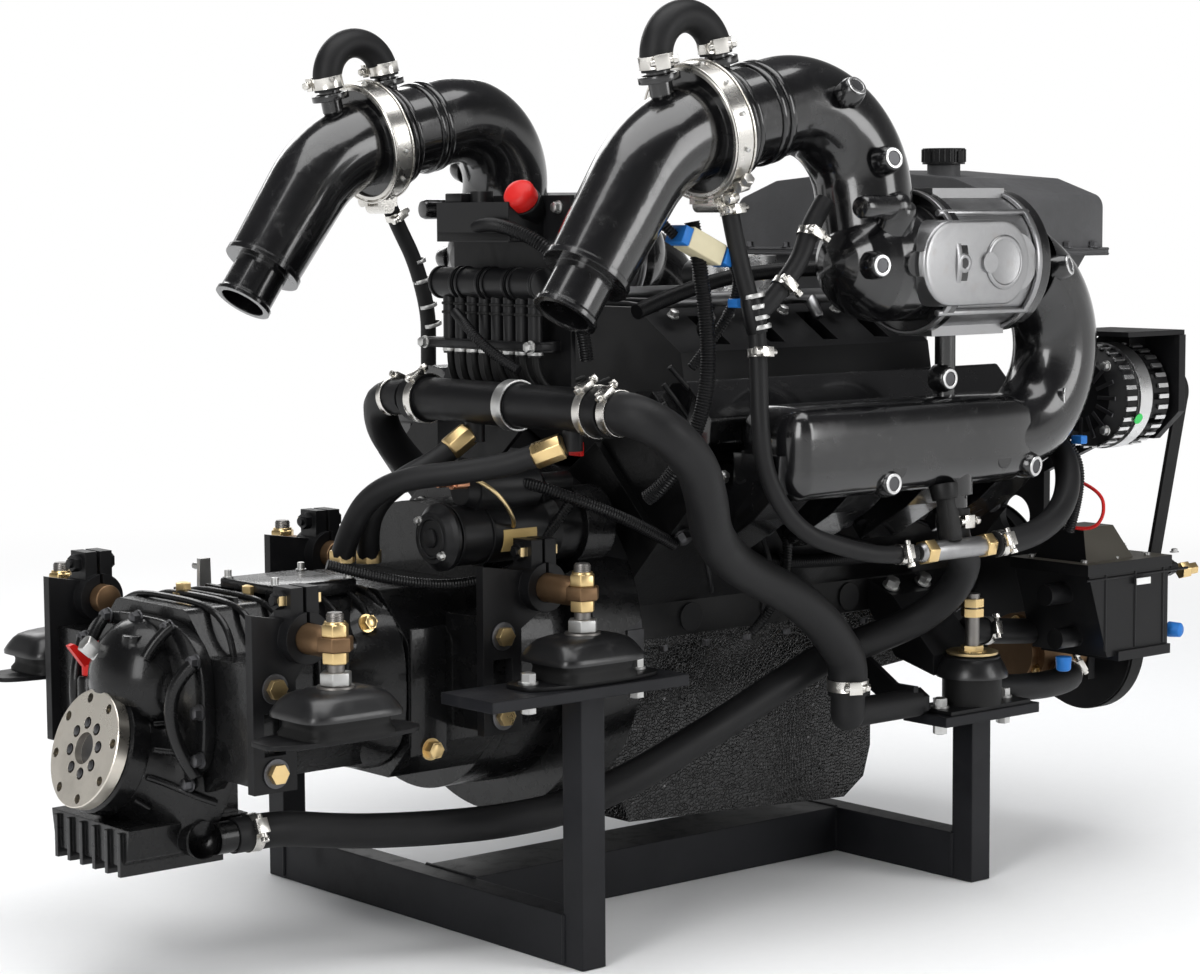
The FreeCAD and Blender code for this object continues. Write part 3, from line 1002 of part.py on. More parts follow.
def make_exhaust():
    y = -d.exhaust_side
    low = d.log_bottom
    top = d.log_bottom + d.log_height
    soft = 20
    outline = ((y - d.log_half, low + soft), (y - d.log_half + soft, low), (y + d.log_half - soft, low),
               (y + d.log_half, low + soft), (y + d.log_half, top - soft), (y + d.log_half - soft, top),
               (y - d.log_half + soft, top), (y - d.log_half, top - soft))
    log = padded(outline, d.log_fwd + d.log_aft, "YZ_Plane", -d.log_aft,
                 corners=tuple(range(8)), radius=Size.of(12))
    mid = low + d.log_height / 2
    rise = d.catalyst_height - mid
    bend = rise / 2
    start = vec(d.log_fwd, y, mid)
    top_end = vec(d.log_fwd, y, d.catalyst_height)
    apex = vec(d.log_fwd + bend, y, mid + bend)
    duct_wire = Part.Wire([Part.Arc(start, apex, top_end).toShape()])
    duct = solid_feature(swept(duct_wire, d.duct_radius.value))
    collar = rod(d.catalyst_fwd, y, d.catalyst_height, d.catalyst_radius + 5,
                 d.log_fwd - d.catalyst_fwd)
    nose = ball(d.log_fwd, y, d.catalyst_height, d.catalyst_radius - 8)
    blend = rod(d.log_fwd - 30, y, mid, d.duct_radius, 30)
    post = rod(d.catalyst_aft + 50, y, top - 6, 12, d.catalyst_height - d.catalyst_radius - top + 2, "Z")
    face_a, face_b = deck_points(d.deck_height, d.deck_half), deck_points(
        d.deck_height + d.head_height, d.deck_half)
    foot, head = face_a[0], face_b[0]

    def on_face(share):
        return (foot[0] + (head[0] - foot[0]) * share, foot[1] + (head[1] - foot[1]) * share)

    ports = []
    for i in range(4):
        station = -d.block_aft + d.first_port + i * d.port_pitch - d.port_width / 2
        ports.append(padded((on_face(0.12), on_face(0.94), (y + d.log_half - 4, low + 14),
                             (y + d.log_half - 4, mid), (y - 30, mid), (y - 26, low + 6),
                             (y + 12, low - 26), (foot[0] - 26, foot[1] - 16)),
                            d.port_width, "YZ_Plane", station))
    drop = rod(178, -372, low - 28, 16, 60, "Z")
    drain = rod(178, -372, low - 12, 22, 30, "Z")
    bosses = [rod(x, y - d.log_half + 4, z_, 11, 8, "-Y")
              for x, z_ in ((64, low + 26), (238, low + 26))]
    seat = rod(d.catalyst_aft - 20, y, d.catalyst_height, d.catalyst_radius + 4,
               d.catalyst_fwd - d.catalyst_aft + 20)
    manifold = minus(union(log, duct, collar, nose, blend, drop, drain, *ports, *bosses), seat)
    manifold = union(manifold, post)
    node("exhaust_manifold_stbd", manifold)
    node("exhaust_manifold_port", mirror(manifold))

    length = d.catalyst_fwd - d.catalyst_aft
    can = rod(d.catalyst_aft, y, d.catalyst_height, d.catalyst_radius, length)
    rails = [box(d.catalyst_aft, y - 26, d.catalyst_height + side * d.catalyst_radius - 7,
                 length, 52, 14) for side in (-1, 1)]
    keep = rod(d.catalyst_aft + 50, y, d.catalyst_height - d.catalyst_radius - 20, 12.2, 30, "Z")
    boss = rod(d.catalyst_aft + 36, y - d.catalyst_radius + 6, d.catalyst_height, 12, 12, "-Y")
    disc = rod(d.catalyst_aft + 84, y - d.catalyst_radius + 8, d.catalyst_height, 33, 10, "-Y")
    catalyst = minus(union(can, boss, disc, *rails), keep)
    node("catalyst_housing_stbd", catalyst)
    node("catalyst_housing_port", mirror(catalyst))

    lean = math.radians(d.joint_lean.value)
    aim = FreeCAD.Vector(-math.cos(lean), 0, -math.sin(lean))
    crosswise = FreeCAD.Vector(-math.sin(lean), 0, math.cos(lean))
    joint = vec(-d.joint_station, -d.outlet_side, d.joint_height)
    tilt = FreeCAD.Rotation(FreeCAD.Vector(1, 0, 0), aim)
    lift = FreeCAD.Rotation(FreeCAD.Vector(1, 0, 0), crosswise)

    def at_joint(profile, along=0.0, rotation=tilt):
        spot = joint + aim * float(along)
        return turned(profile, spot.x, spot.y, spot.z, rotation)

    base = vec(d.riser_station, y, d.catalyst_height - 24)
    back = (d.riser_station + d.joint_station).value / math.cos(lean)
    corner = joint - aim * back
    rise_wire, radii = route([base, corner, joint], 0.52)
    print("riser bend", [round(r) for r in radii])
    riser_duct = solid_feature(swept(rise_wire, d.riser_radius.value))
    lip = at_joint(((-9, 0), (-9, d.joint_lip), (0, d.joint_lip), (0, 0)))
    dome = [(d.riser_station - d.bulb_radius * math.cos(turn_by),
             d.bulb_radius * math.sin(turn_by))
            for turn_by in (math.radians(step * 15) for step in range(1, 6))]
    bulb = turned(((d.riser_station - d.bulb_radius, 0), *dome, (d.riser_station, d.bulb_radius),
                   (d.catalyst_aft - 1, d.bulb_radius), (d.catalyst_aft - 1, 0)),
                  0, y, d.catalyst_height)
    flange = rod(d.catalyst_aft - 15, y, d.catalyst_height, d.catalyst_radius + 5, 15)
    half_spread = d.bypass_spread / 2
    stub_profile = ((d.riser_radius - 20, 0), (d.riser_radius - 20, d.stub_radius),
                    (d.bypass_foot, d.stub_radius), (d.bypass_foot, 0))
    riser_stub = at_joint(stub_profile, -half_spread.value, lift)
    boss = rod(d.riser_station - 4, y - d.bulb_radius + 16, d.catalyst_height, 14, 20, "-Y")
    riser = fused(bulb, riser_duct, lip, flange, riser_stub, boss)
    node("exhaust_riser_stbd", riser)
    node("exhaust_riser_port", mirror(riser))

    ring = vec(-d.outlet_station, -d.outlet_side, d.outlet_height)
    drop = math.radians(d.outlet_lean.value)
    down = FreeCAD.Vector(-math.cos(drop), 0, -math.sin(drop))
    gap_x, gap_z = joint.x - ring.x, joint.z - ring.z
    cross = aim.x * down.z - aim.z * down.x
    reach = (-gap_x * down.z + gap_z * down.x) / cross
    elbow_corner = joint + aim * reach
    pipe_wire, radii = route([joint, elbow_corner, ring], 0.88)
    print("outlet bend", [round(r) for r in radii], "reach", round(reach))
    jacket = solid_feature(swept(pipe_wire, d.riser_radius.value - 1, d.jacket_end_radius.value))
    drop_turn = FreeCAD.Rotation(FreeCAD.Vector(1, 0, 0), down)
    tip_end = d.tip_length + 8
    tip = turned(((-30, 0), (-30, d.tip_radius), (d.tip_length, d.tip_radius),
                  (d.tip_length + 3, d.tip_lip), (tip_end, d.tip_lip), (tip_end, 0)),
                 ring.x, ring.y, ring.z, drop_turn)
    tip_bore = turned(((tip_end + 1, 0), (tip_end + 1, d.tip_bore),
                       (tip_end - d.tip_depth, d.tip_bore), (tip_end - d.tip_depth, 0)),
                      ring.x, ring.y, ring.z, drop_turn)
    bead = turned(((-7, 0), (-7, d.jacket_end_radius + 3), (0, d.jacket_end_radius + 3), (0, 0)),
                  ring.x, ring.y, ring.z, drop_turn)
    lip = at_joint(((0, 0), (0, d.joint_lip), (9, d.joint_lip), (9, 0)))
    outlet_stub = at_joint(stub_profile, half_spread.value, lift)
    outlet = minus(union(jacket, tip, bead, lip, outlet_stub), tip_bore)
    node("exhaust_outlet_stbd", outlet)
    node("exhaust_outlet_port", mirror(outlet))

    half_band = d.band_width / 2
    inner = d.joint_lip + d.clamp_gap
    band = at_joint(((-half_band, inner), (-half_band, d.band_radius - 3),
                     (-half_band + 3, d.band_radius), (half_band - 3, d.band_radius),
                     (half_band, d.band_radius - 3), (half_band, inner)))
    latch = rod(-d.joint_station + 16, -d.outlet_side - 20, d.joint_height - d.band_radius - 7,
                8, 40, "Y")
    yokes = [box(-d.joint_station + 4, -d.outlet_side + offset, d.joint_height - d.band_radius - 6,
                 24, 8, 20) for offset in (-18, 12)]
    core = at_joint(((-half_band - 12, 0), (-half_band - 12, inner), (half_band + 12, inner),
                     (half_band + 12, 0)))
    clamp = minus(union(band, latch, *yokes), core)
    node("v_band_clamp_stbd", clamp)
    node("v_band_clamp_port", mirror(clamp))

    def off_joint(along, away):
        return joint + aim * float(along) + crosswise * float(away)

    foot = d.bypass_foot.value
    top_leg = foot + d.bypass_leg.value
    spread = half_spread.value
    wire = Part.Wire([
        Part.LineSegment(off_joint(spread, foot), off_joint(spread, top_leg)).toShape(),
        Part.Arc(off_joint(spread, top_leg), off_joint(0, top_leg + spread),
                 off_joint(-spread, top_leg)).toShape(),
        Part.LineSegment(off_joint(-spread, top_leg), off_joint(-spread, foot)).toShape()])
    loop = solid_feature(swept(wire, d.bypass_radius.value))
    node("bypass_hose_stbd", loop)
    node("bypass_hose_port", mirror(loop))


# Top, side and rear equipment

def make_equipment():
    length = d.tank_fwd - d.tank_aft
    crown = ((-d.tank_half, d.tank_rim), (d.tank_half, d.tank_rim),
             (d.tank_half, d.tank_shoulder), (d.tank_half - 75, d.tank_crown - 12),
             (0, d.tank_crown), (-d.tank_half + 75, d.tank_crown - 12),
             (-d.tank_half, d.tank_shoulder))
    upper = padded(crown, length, "YZ_Plane", d.tank_aft, corners=(2, 3, 5, 6), radius=Size.of(18))
    rim = box(d.tank_aft - 5, -d.tank_half - 6, d.tank_rim - 8, length + 10,
              d.tank_half * 2 + 12, 10)
    lower = frustum((d.tank_aft + d.tank_fwd) / 2, 0, d.tank_floor, length - 60,
                    d.tank_half * 2 - 80, length - 24, d.tank_half * 2 - 30,
                    d.tank_rim - d.tank_floor - 4)
    neck_base = d.tank_crown - 30
    neck = rod(d.cap_station, -d.cap_side, neck_base, d.neck_radius, 36, "Z")
    bore = rod(d.cap_station, -d.cap_side, neck_base + 6, d.neck_radius - 5, 40, "Z")
    node("coolant_tank", minus(union(upper, rim, lower, neck), bore))
    cap_z = d.tank_crown + 6 + d.belt_gap
    cap = rod(d.cap_station, -d.cap_side, cap_z, d.cap_radius, d.cap_height, "Z")
    plug = rod(d.cap_station, -d.cap_side, cap_z - 14, d.neck_radius - 6, 15, "Z")
    grips = [box(d.cap_station - d.cap_radius - 2, -d.cap_side - 4, cap_z + 2,
                 d.cap_radius * 2 + 4, 8, d.cap_height - 6),
             box(d.cap_station - 4, -d.cap_side - d.cap_radius - 2, cap_z + 2,
                 8, d.cap_radius * 2 + 4, d.cap_height - 6)]
    node("coolant_cap", union(cap, plug, *grips))

    width = d.module_outer - d.module_inner
    body = padded(((d.module_aft + 44, d.module_floor), (d.bracket_face, d.module_floor),
                   (d.bracket_face, d.module_top - 10), (d.module_aft + 8, d.module_top - 10)),
                  width, "XZ_Plane", 0, -d.module_inner, 0)
    lid = box(d.module_aft, -d.module_outer - 6, d.module_top - 12, d.bracket_face - d.module_aft,
              width + 6, 14)
    dome = frustum(d.module_aft + 62, -d.module_outer + 54, d.module_top + 2, 88, 84, 56, 46, 40)
    foot_rail = box(d.module_aft + 60, -d.module_outer - 5, d.module_floor - 6,
                    d.bracket_face - d.module_aft - 60, width + 5, 12)
    fitting = union(rod(d.bracket_face, -d.module_outer + 18, d.module_top - 18, 9, 16),
                    hexagon(d.bracket_face + 16, -d.module_outer + 18, d.module_top - 18, 19, 12, "X"),
                    rod(d.bracket_face + 28, -d.module_outer + 18, d.module_top - 18, 6, 8))
    stubs = [rod(d.module_aft + 30, -d.module_outer + 46, d.module_top - 38, 13, 50, "-X"),
             rod(d.module_aft + 50, -d.module_outer + 46, d.module_floor + 22, 13, 50, "-X")]
    node("fuel_module", union(body, lid, dome, foot_rail, fitting, *stubs))

    x = -d.cooler_station
    z = d.cooler_height
    shell = rod(x, -d.cooler_length, z, d.cooler_radius, d.cooler_length, "Y")
    caps = [rod(x, -d.cooler_length, z, d.cooler_radius + 3, 26, "Y"),
            rod(x, -26, z, d.cooler_radius + 3, 26, "Y")]
    strap = rod(x, -190, z, d.cooler_radius + 3, 18, "Y")
    lug = box(x, -190, z - 14, d.cooler_station - 245, 18, 28)
    spigot = rod(x, -8, z, 16, 30, "Y")
    ports = [rod(x, -110, z, 11, 44, "-Z"), rod(x, -280, z, 11, 44, "-Z")]
    node("cross_cooler", union(shell, *caps, strap, lug, spigot, *ports))

    aft = Size.of(-245)
    crest = d.coil_height + 97
    shoulder = d.housing_pad + 70
    plate = padded(((-60, d.housing_pad), (50, d.housing_pad), (50, shoulder), (14, shoulder + 60),
                    (14, crest), (-196, crest), (-196, shoulder - 20), (-120, shoulder - 20)),
                   d.coil_plate, "YZ_Plane", aft)
    foot = box(aft, -50, d.housing_pad, 80, 96, 6)
    crossbar = box(aft - 40, -d.coil_length - 6, d.coil_height - 74, 18, d.coil_length + 30, 11)
    bar_lugs = [box(aft - 24, y_ - 8, d.coil_height - 74, 24, 16, 11) for y_ in (-170, 6)]
    coils = [rod(aft - 31, -d.coil_length + i * (d.coil_length + 4) / 4, d.coil_height,
                 d.coil_radius, (d.coil_length + 4) / 4 - 4, "Y") for i in range(4)]
    spine = box(aft - 12, -d.coil_length, d.coil_height - 12, 12, d.coil_length, 24)
    core = rod(aft - 31, -d.coil_length, d.coil_height, d.coil_radius - 4, d.coil_length, "Y")
    boots = [rod(aft - 31, -d.coil_length + 14 + i * d.boot_pitch, d.coil_height - d.coil_radius + 3,
                 d.boot_radius, 66, "-Z") for i in range(8)]
    case = box(aft - 50, -150, d.coil_height + 46, 50, 130, 44)
    plug = rod(aft - 24, -70, d.coil_height + 90, 13, 12, "Z")
    node("coil_pack", union(plate, foot, crossbar, spine, core, case, plug,
                            *bar_lugs, *coils, *boots))

    end = -d.housing_step
    start = end - d.starter_length
    motor = turned(((0, 0), (0, d.starter_radius - 9), (6, d.starter_radius - 4), (10, d.starter_radius),
                    (14, d.starter_radius), (14, d.starter_radius - 4),
                    (d.starter_length - 44, d.starter_radius - 4),
                    (d.starter_length - 30, d.starter_radius), (d.starter_length, d.starter_radius),
                    (d.starter_length, 0)), start, -d.starter_side, d.starter_height)
    solenoid_z = d.starter_height + d.starter_radius + d.solenoid_radius - 12
    solenoid = turned(((0, 0), (0, d.solenoid_radius - 8), (12, d.solenoid_radius - 4),
                       (12, d.solenoid_radius), (96, d.solenoid_radius), (110, 12), (150, 12),
                       (150, 0)), start + 35, -d.starter_side - 6, solenoid_z)
    web = box(end - 40, -d.starter_side - 14, d.starter_height, 40, 22, solenoid_z - d.starter_height)
    terminals = [rod(start + 36, -d.starter_side - 6 + y_, solenoid_z + 8, 5, 22, "-X")
                 for y_ in (-12, 12)]
    node("starter_motor", union(motor, solenoid, web, *terminals))


def make_hoses():
    hose("cooler_hose", [(-313, -345, 603), (-313, -378, 603), (-288, -402, 586), (-240, -396, 548),
                         (-206, -374, 506), (-176, -346, 468), (-126, -318, 432), (-62, -304, 402),
                         (0, -298, 374), (50, -293, 338), (96, -284, 292), (96, -284, 250)],
         d.cooler_hose_radius)
    hose("gearbox_hose", [(-632, -98, 160), (-572, -98, 160), (-492, -116, 147), (-410, -140, 142),
                          (-330, -166, 142), (-250, -190, 150), (-170, -209, 176), (-92, -217, 206),
                          (-18, -221, 234), (52, -226, 264), (118, -236, 291), (176, -258, 308),
                          (216, -286, 328), (232, -322, 362), (222, -354, 402), (178, -372, 436),
                          (178, -372, 470)],
         d.gearbox_hose_radius)


make_stand()
make_mounts()
make_gearbox()
make_gearbox_controls()
make_block()
make_pan()
make_flywheel_end()
make_front_drive()
make_intake()
make_exhaust()
make_equipment()
make_hoses()
doc.recompute()

faults = [f"{obj.Name}: {obj.State}" for obj in doc.Objects
          if "Invalid" in obj.State or "Error" in obj.State]
faults += [name for name, obj in nodes.items()
           if obj.Shape.isNull() or not obj.Shape.isValid() or obj.Shape.Volume <= 0]
if faults:
    raise RuntimeError("; ".join(faults))
os.makedirs("parts", exist_ok=True)
for name, obj in nodes.items():
    obj.Shape.exportStep(f"parts/{name}.step")
print(len(nodes), "pieces, idler centre", [round(v, 2) for v in tensioner_centre()])
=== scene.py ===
"""Dressed model of an inboard marine engine with its reversing gearbox on a stand.

Every length is in metres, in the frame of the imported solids: +X forward towards the
belt drive, +Y to port, +Z up, with the origin on the floor under the stand.
"""
from __future__ import annotations

import logging
import math
from dataclasses import dataclass, field
from enum import Enum
from typing import Any, Callable, Iterable, Optional, Sequence, Union

import bmesh
import bpy
from mathutils import Matrix, Vector


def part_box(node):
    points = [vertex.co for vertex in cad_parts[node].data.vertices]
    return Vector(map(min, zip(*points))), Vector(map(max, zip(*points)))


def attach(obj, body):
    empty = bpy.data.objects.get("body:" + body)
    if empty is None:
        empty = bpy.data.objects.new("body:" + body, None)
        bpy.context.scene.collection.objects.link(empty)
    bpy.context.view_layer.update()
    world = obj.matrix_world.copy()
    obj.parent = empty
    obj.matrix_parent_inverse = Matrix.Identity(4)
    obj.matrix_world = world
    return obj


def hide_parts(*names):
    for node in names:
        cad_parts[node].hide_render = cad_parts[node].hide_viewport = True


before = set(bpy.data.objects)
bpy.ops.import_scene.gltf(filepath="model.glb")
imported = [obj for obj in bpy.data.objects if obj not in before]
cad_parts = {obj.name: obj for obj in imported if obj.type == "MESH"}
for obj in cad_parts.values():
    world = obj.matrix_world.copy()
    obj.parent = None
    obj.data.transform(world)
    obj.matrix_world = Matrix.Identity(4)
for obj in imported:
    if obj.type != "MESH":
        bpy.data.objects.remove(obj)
LOG = logging.getLogger("engine")
MM = 0.001
LEAST_RADIUS = 0.02

Point = Sequence[float]
Colour = tuple[float, float, float]


# Shader expressions


class Amount:
    """A shader socket that takes part in sums, and adds its own Math nodes."""

    def __init__(self, surface: "Surface", socket: bpy.types.NodeSocket) -> None:
        """Wraps a socket.

        Args:
            surface: The material draft that the socket belongs to.
            socket: The output socket that carries the value.
        """
        self.surface = surface
        self.socket = socket

    def _math(self, operation: str, *others: Union["Amount", float]) -> "Amount":
        """Adds one Math node.

        Args:
            operation: The node's operation.
            *others: The values after the first one.

        Returns:
            The result as a new amount.
        """
        sockets = {i: value for i, value in enumerate(others)}
        node = self.surface.add("ShaderNodeMath", {"operation": operation}, sockets)
        return Amount(self.surface, node.outputs[0])

    def __add__(self, other: Union["Amount", float]) -> "Amount":
        """Returns the sum."""
        return self._math("ADD", self, other)

    def __radd__(self, other: float) -> "Amount":
        """Returns the sum with a plain number first."""
        return self._math("ADD", other, self)

    def __sub__(self, other: Union["Amount", float]) -> "Amount":
        """Returns the difference."""
        return self._math("SUBTRACT", self, other)

    def __rsub__(self, other: float) -> "Amount":
        """Returns a plain number less this amount."""
        return self._math("SUBTRACT", other, self)

    def __mul__(self, other: Union["Amount", float]) -> "Amount":
        """Returns the product."""
        return self._math("MULTIPLY", self, other)

    def __rmul__(self, other: float) -> "Amount":
        """Returns the product with a plain number first."""
        return self._math("MULTIPLY", other, self)

    def __truediv__(self, other: Union["Amount", float]) -> "Amount":
        """Returns the quotient."""
        return self._math("DIVIDE", self, other)

    def __pow__(self, other: Union["Amount", float]) -> "Amount":
        """Returns the power."""
        return self._math("POWER", self, other)

    def sine(self) -> "Amount":
        """Returns the sine."""
        return self._math("SINE", self)

    def step(self, low: float, high: float) -> "Amount":
        """Returns a smooth step.

        Args:
            low: The value where the step starts.
            high: The value where the step is full.

        Returns:
            0 below low, 1 above high, and smooth between them.
        """
        node = self.surface.add("ShaderNodeMapRange", {"interpolation_type": "SMOOTHSTEP"},
            {"Value": self, "From Min": low, "From Max": high}, )
        return Amount(self.surface, node.outputs["Result"])


class Surface:
    """A material in the making, on Object coordinates."""

    def __init__(self, name: str) -> None:
        """Starts an empty material.

        Args:
            name: The material's name.
        """
        self.material = bpy.data.materials.new(name)
        self.material.use_nodes = True
        self.tree = self.material.node_tree
        self.tree.nodes.clear()
        self.place = self.add("ShaderNodeTexCoord").outputs["Object"]

    def add(self, kind: str, settings: Optional[dict[str, Any]] = None,
            sockets: Optional[dict[Union[str, int], Any]] = None) -> bpy.types.Node:
        """Adds one node.

        Args:
            kind: The node's type.
            settings: Properties set before the sockets; stops fills a colour ramp.
            sockets: Plain values, amounts or output sockets for its inputs.

        Returns:
            The node.
        """
        node = self.tree.nodes.new(kind)
        for name, value in (settings or {}).items():
            if name == "stops":
                elements = node.color_ramp.elements
                while len(elements) < len(value):
                    elements.new(0.5)
                for element, (position, colour) in zip(elements, value):
                    element.position = position
                    element.color = (*colour, 1.0)
            else:
                setattr(node, name, value)
        for key, value in (sockets or {}).items():
            self.feed(node.inputs[key], value)
        return node

    def feed(self, target: bpy.types.NodeSocket, value: Any) -> None:
        """Links or sets one input socket.

        Args:
            target: The input socket.
            value: An amount, an output socket or a plain value.
        """
        if isinstance(value, Amount):
            value = value.socket
        if isinstance(value, bpy.types.NodeSocket):
            self.tree.links.new(value, target)
        elif isinstance(value, tuple) and len(value) == 3 and target.type == "RGBA":
            target.default_value = (*value, 1.0)
        else:
            target.default_value = value

    def moved(self, centre: Point, turn: Point = (0, 0, 0), scale: Point = (1, 1, 1)) -> Any:
        """Returns coordinates centred and turned for a pattern.

        Args:
            centre: The pattern's centre.
            turn: Euler angles in radians.
            scale: The scale along each turned axis.

        Returns:
            The vector socket.
        """
        node = self.add("ShaderNodeMapping", {"vector_type": "TEXTURE"},
            {"Vector": self.place, "Location": tuple(centre), "Rotation": tuple(turn)})
        last = self.add("ShaderNodeMapping", {"vector_type": "POINT"},
            {"Vector": node.outputs[0], "Scale": tuple(scale)})
        return last.outputs[0]

    def axis(self, place: Any, index: int) -> Amount:
        """Returns one coordinate of a vector socket."""
        node = self.add("ShaderNodeSeparateXYZ", None, {0: place})
        return Amount(self, node.outputs[index])

    def noise(self, scale: float, detail: float = 3.0, rough: float = 0.55, place: Any = None,
            swirl: float = 0.0) -> Amount:
        """Returns a noise field.

        Args:
            scale: Cells per metre.
            detail: Octaves.
            rough: Weight of the fine octaves.
            place: The coordinates, or None for the object's own.
            swirl: Distortion.

        Returns:
            The field, about 0.5 on average.
        """
        node = self.add("ShaderNodeTexNoise", None, {"Vector": place or self.place, "Scale": scale,
            "Detail": detail, "Roughness": rough, "Distortion": swirl})
        return Amount(self, node.outputs["Fac"])

    def cells(self, scale: float, feature: str = "F1", place: Any = None) -> Amount:
        """Returns a cell field, the distance that a Voronoi feature gives."""
        node = self.add("ShaderNodeTexVoronoi", {"feature": feature},
            {"Vector": place or self.place, "Scale": scale})
        return Amount(self, node.outputs["Distance"])

    def blend(self, factor: Union[Amount, float], first: Any, second: Any) -> Any:
        """Mixes two colours.

        Args:
            factor: 0 for the first and 1 for the second.
            first: A colour or a colour socket.
            second: A colour or a colour socket.

        Returns:
            The colour socket.
        """
        node = self.add("ShaderNodeMix", {"data_type": "RGBA"}, {0: factor, 6: first, 7: second})
        return node.outputs[2]

    def relief(self, height: Amount, strength: float, depth: float, edge: float = 0.0) -> Any:
        """Returns a normal with a relief on it.

        Args:
            height: The relief's height field.
            strength: The strength of the relief.
            depth: The real depth of the relief.
            edge: The radius by which sharp edges read as rounded, or 0.

        Returns:
            The normal socket.
        """
        sockets: dict[Union[str, int], Any] = {"Height": height, "Strength": strength,
            "Distance": depth}
        if edge > 0:
            bevel = self.add("ShaderNodeBevel", {"samples": 4}, {"Radius": edge})
            sockets["Normal"] = bevel.outputs[0]
        return self.add("ShaderNodeBump", None, sockets).outputs[0]

    def shade(self, **sockets: Any) -> bpy.types.Material:
        """Ends the material with its shader.

        Args:
            **sockets: Values by socket name, with underscores for spaces.

        Returns:
            The finished material.
        """
        named = {key.replace("_", " "): value for key, value in sockets.items()}
        shader = self.add("ShaderNodeBsdfPrincipled", None, named)
        out = self.add("ShaderNodeOutputMaterial")
        self.tree.links.new(shader.outputs[0], out.inputs["Surface"])
        return self.material


# Finishes


class Finish:
    """A finish that makes its material once."""

    made: dict[str, bpy.types.Material] = {}

    def material(self) -> bpy.types.Material:
        """Returns the finish's material, made on first use."""
        key = getattr(self, "name")
        if key not in Finish.made:
            Finish.made[key] = self.build(Surface(key))
        return Finish.made[key]

    def build(self, surface: Surface) -> bpy.types.Material:
        """Builds the material on a fresh draft."""
        raise NotImplementedError


class Skin(Enum):
    """The texture under a coat of paint."""

    SMOOTH = "smooth"
    CAST = "cast"
    CRACKLE = "crackle"
    POWDER = "powder"


@dataclass(frozen=True)
class Paint(Finish):
    """A coat of paint over metal, with dust, handling marks and rounded edges."""

    name: str
    colour: Colour
    gloss: float
    skin: Skin = Skin.SMOOTH
    dust: float = 0.25
    coat: float = 0.0
    edge: float = 0.0012
    shine: float = 0.22

    def build(self, surface: Surface) -> bpy.types.Material:
        """Builds the paint's material."""
        broad = surface.noise(7, 4, 0.6)
        fine = surface.noise(420, 2, 0.6)
        smear = surface.noise(38, 3, 0.7, swirl=0.6)
        if self.skin is Skin.CRACKLE:
            height = surface.cells(250, "DISTANCE_TO_EDGE").step(0.0, 0.2) * 0.8 + fine * 0.2
            strength, depth = 0.9, 0.0012
        elif self.skin is Skin.CAST:
            height = surface.noise(260, 4, 0.65) * 0.75 + surface.noise(60, 2) * 0.25
            strength, depth = 0.45, 0.0007
        elif self.skin is Skin.POWDER:
            height = surface.noise(700, 2, 0.5)
            strength, depth = 0.2, 0.0003
        else:
            height = surface.noise(150, 1, 0.4) * 0.6 + broad * 0.4
            strength, depth = 0.06, 0.0005
        lifted = tuple(min(1.0, part * 1.8 + 0.003) for part in self.colour)
        worn = surface.blend(broad.step(0.35, 0.75) * 0.55, self.colour, lifted)
        dusty = surface.blend(smear.step(0.52, 0.78) * self.dust * 0.5, worn, (0.07, 0.068, 0.063))
        rough = (1.0 - self.gloss) + smear.step(0.45, 0.8) * 0.16 + fine * 0.05
        return surface.shade(Base_Color=dusty, Roughness=rough, Metallic=0.0, Coat_Weight=self.coat,
            Coat_Roughness=0.06, Specular_IOR_Level=self.shine, Normal=surface.relief(height, strength,
            depth, self.edge))


class Grain(Enum):
    """How a bare metal was worked."""

    CAST = "cast"
    TURNED = "turned"
    BRUSHED = "brushed"
    POLISHED = "polished"


@dataclass(frozen=True)
class BareMetal(Finish):
    """Bare or plated metal, with its tool marks and stains."""

    name: str
    tint: Colour
    rough: float
    grain: Grain = Grain.CAST
    centre: tuple[float, float, float] = (0.0, 0.0, 0.0)
    turn: tuple[float, float, float] = (0.0, 0.0, 0.0)
    stain: float = 0.3
    edge: float = 0.0006

    def build(self, surface: Surface) -> bpy.types.Material:
        """Builds the metal's material."""
        broad = surface.noise(16, 4, 0.65)
        fine = surface.noise(520, 2, 0.6)
        if self.grain is Grain.TURNED:
            local = surface.moved(self.centre, self.turn)
            side = surface.axis(local, 0)
            rise = surface.axis(local, 1)
            radius = (side * side + rise * rise) ** 0.5
            rings = (radius * 5200.0).sine() * 0.5 + 0.5
            height = rings * 0.6 + surface.noise(300, 2) * 0.4
            strength, depth = 0.18, 0.0002
        elif self.grain is Grain.BRUSHED:
            local = surface.moved(self.centre, self.turn, (40, 900, 900))
            height = surface.noise(1.0, 3, 0.7, place=local)
            strength, depth = 0.22, 0.0002
        elif self.grain is Grain.POLISHED:
            height = surface.noise(90, 2, 0.5)
            strength, depth = 0.05, 0.0003
        else:
            height = surface.noise(340, 4, 0.7) * 0.7 + fine * 0.3
            strength, depth = 0.4, 0.0005
        dull = tuple(part * 0.42 for part in self.tint)
        warm = (self.tint[0] * 0.72, self.tint[1] * 0.62, self.tint[2] * 0.48)
        aged = surface.blend(broad.step(0.42, 0.82) * self.stain, self.tint, dull)
        toned = surface.blend(surface.noise(45, 3).step(0.55, 0.8) * self.stain * 0.7, aged, warm)
        rough = broad.step(0.3, 0.8) * 0.18 + fine * 0.06 + self.rough
        return surface.shade(Base_Color=toned, Roughness=rough, Metallic=1.0,
            Normal=surface.relief(height, strength, depth, self.edge))


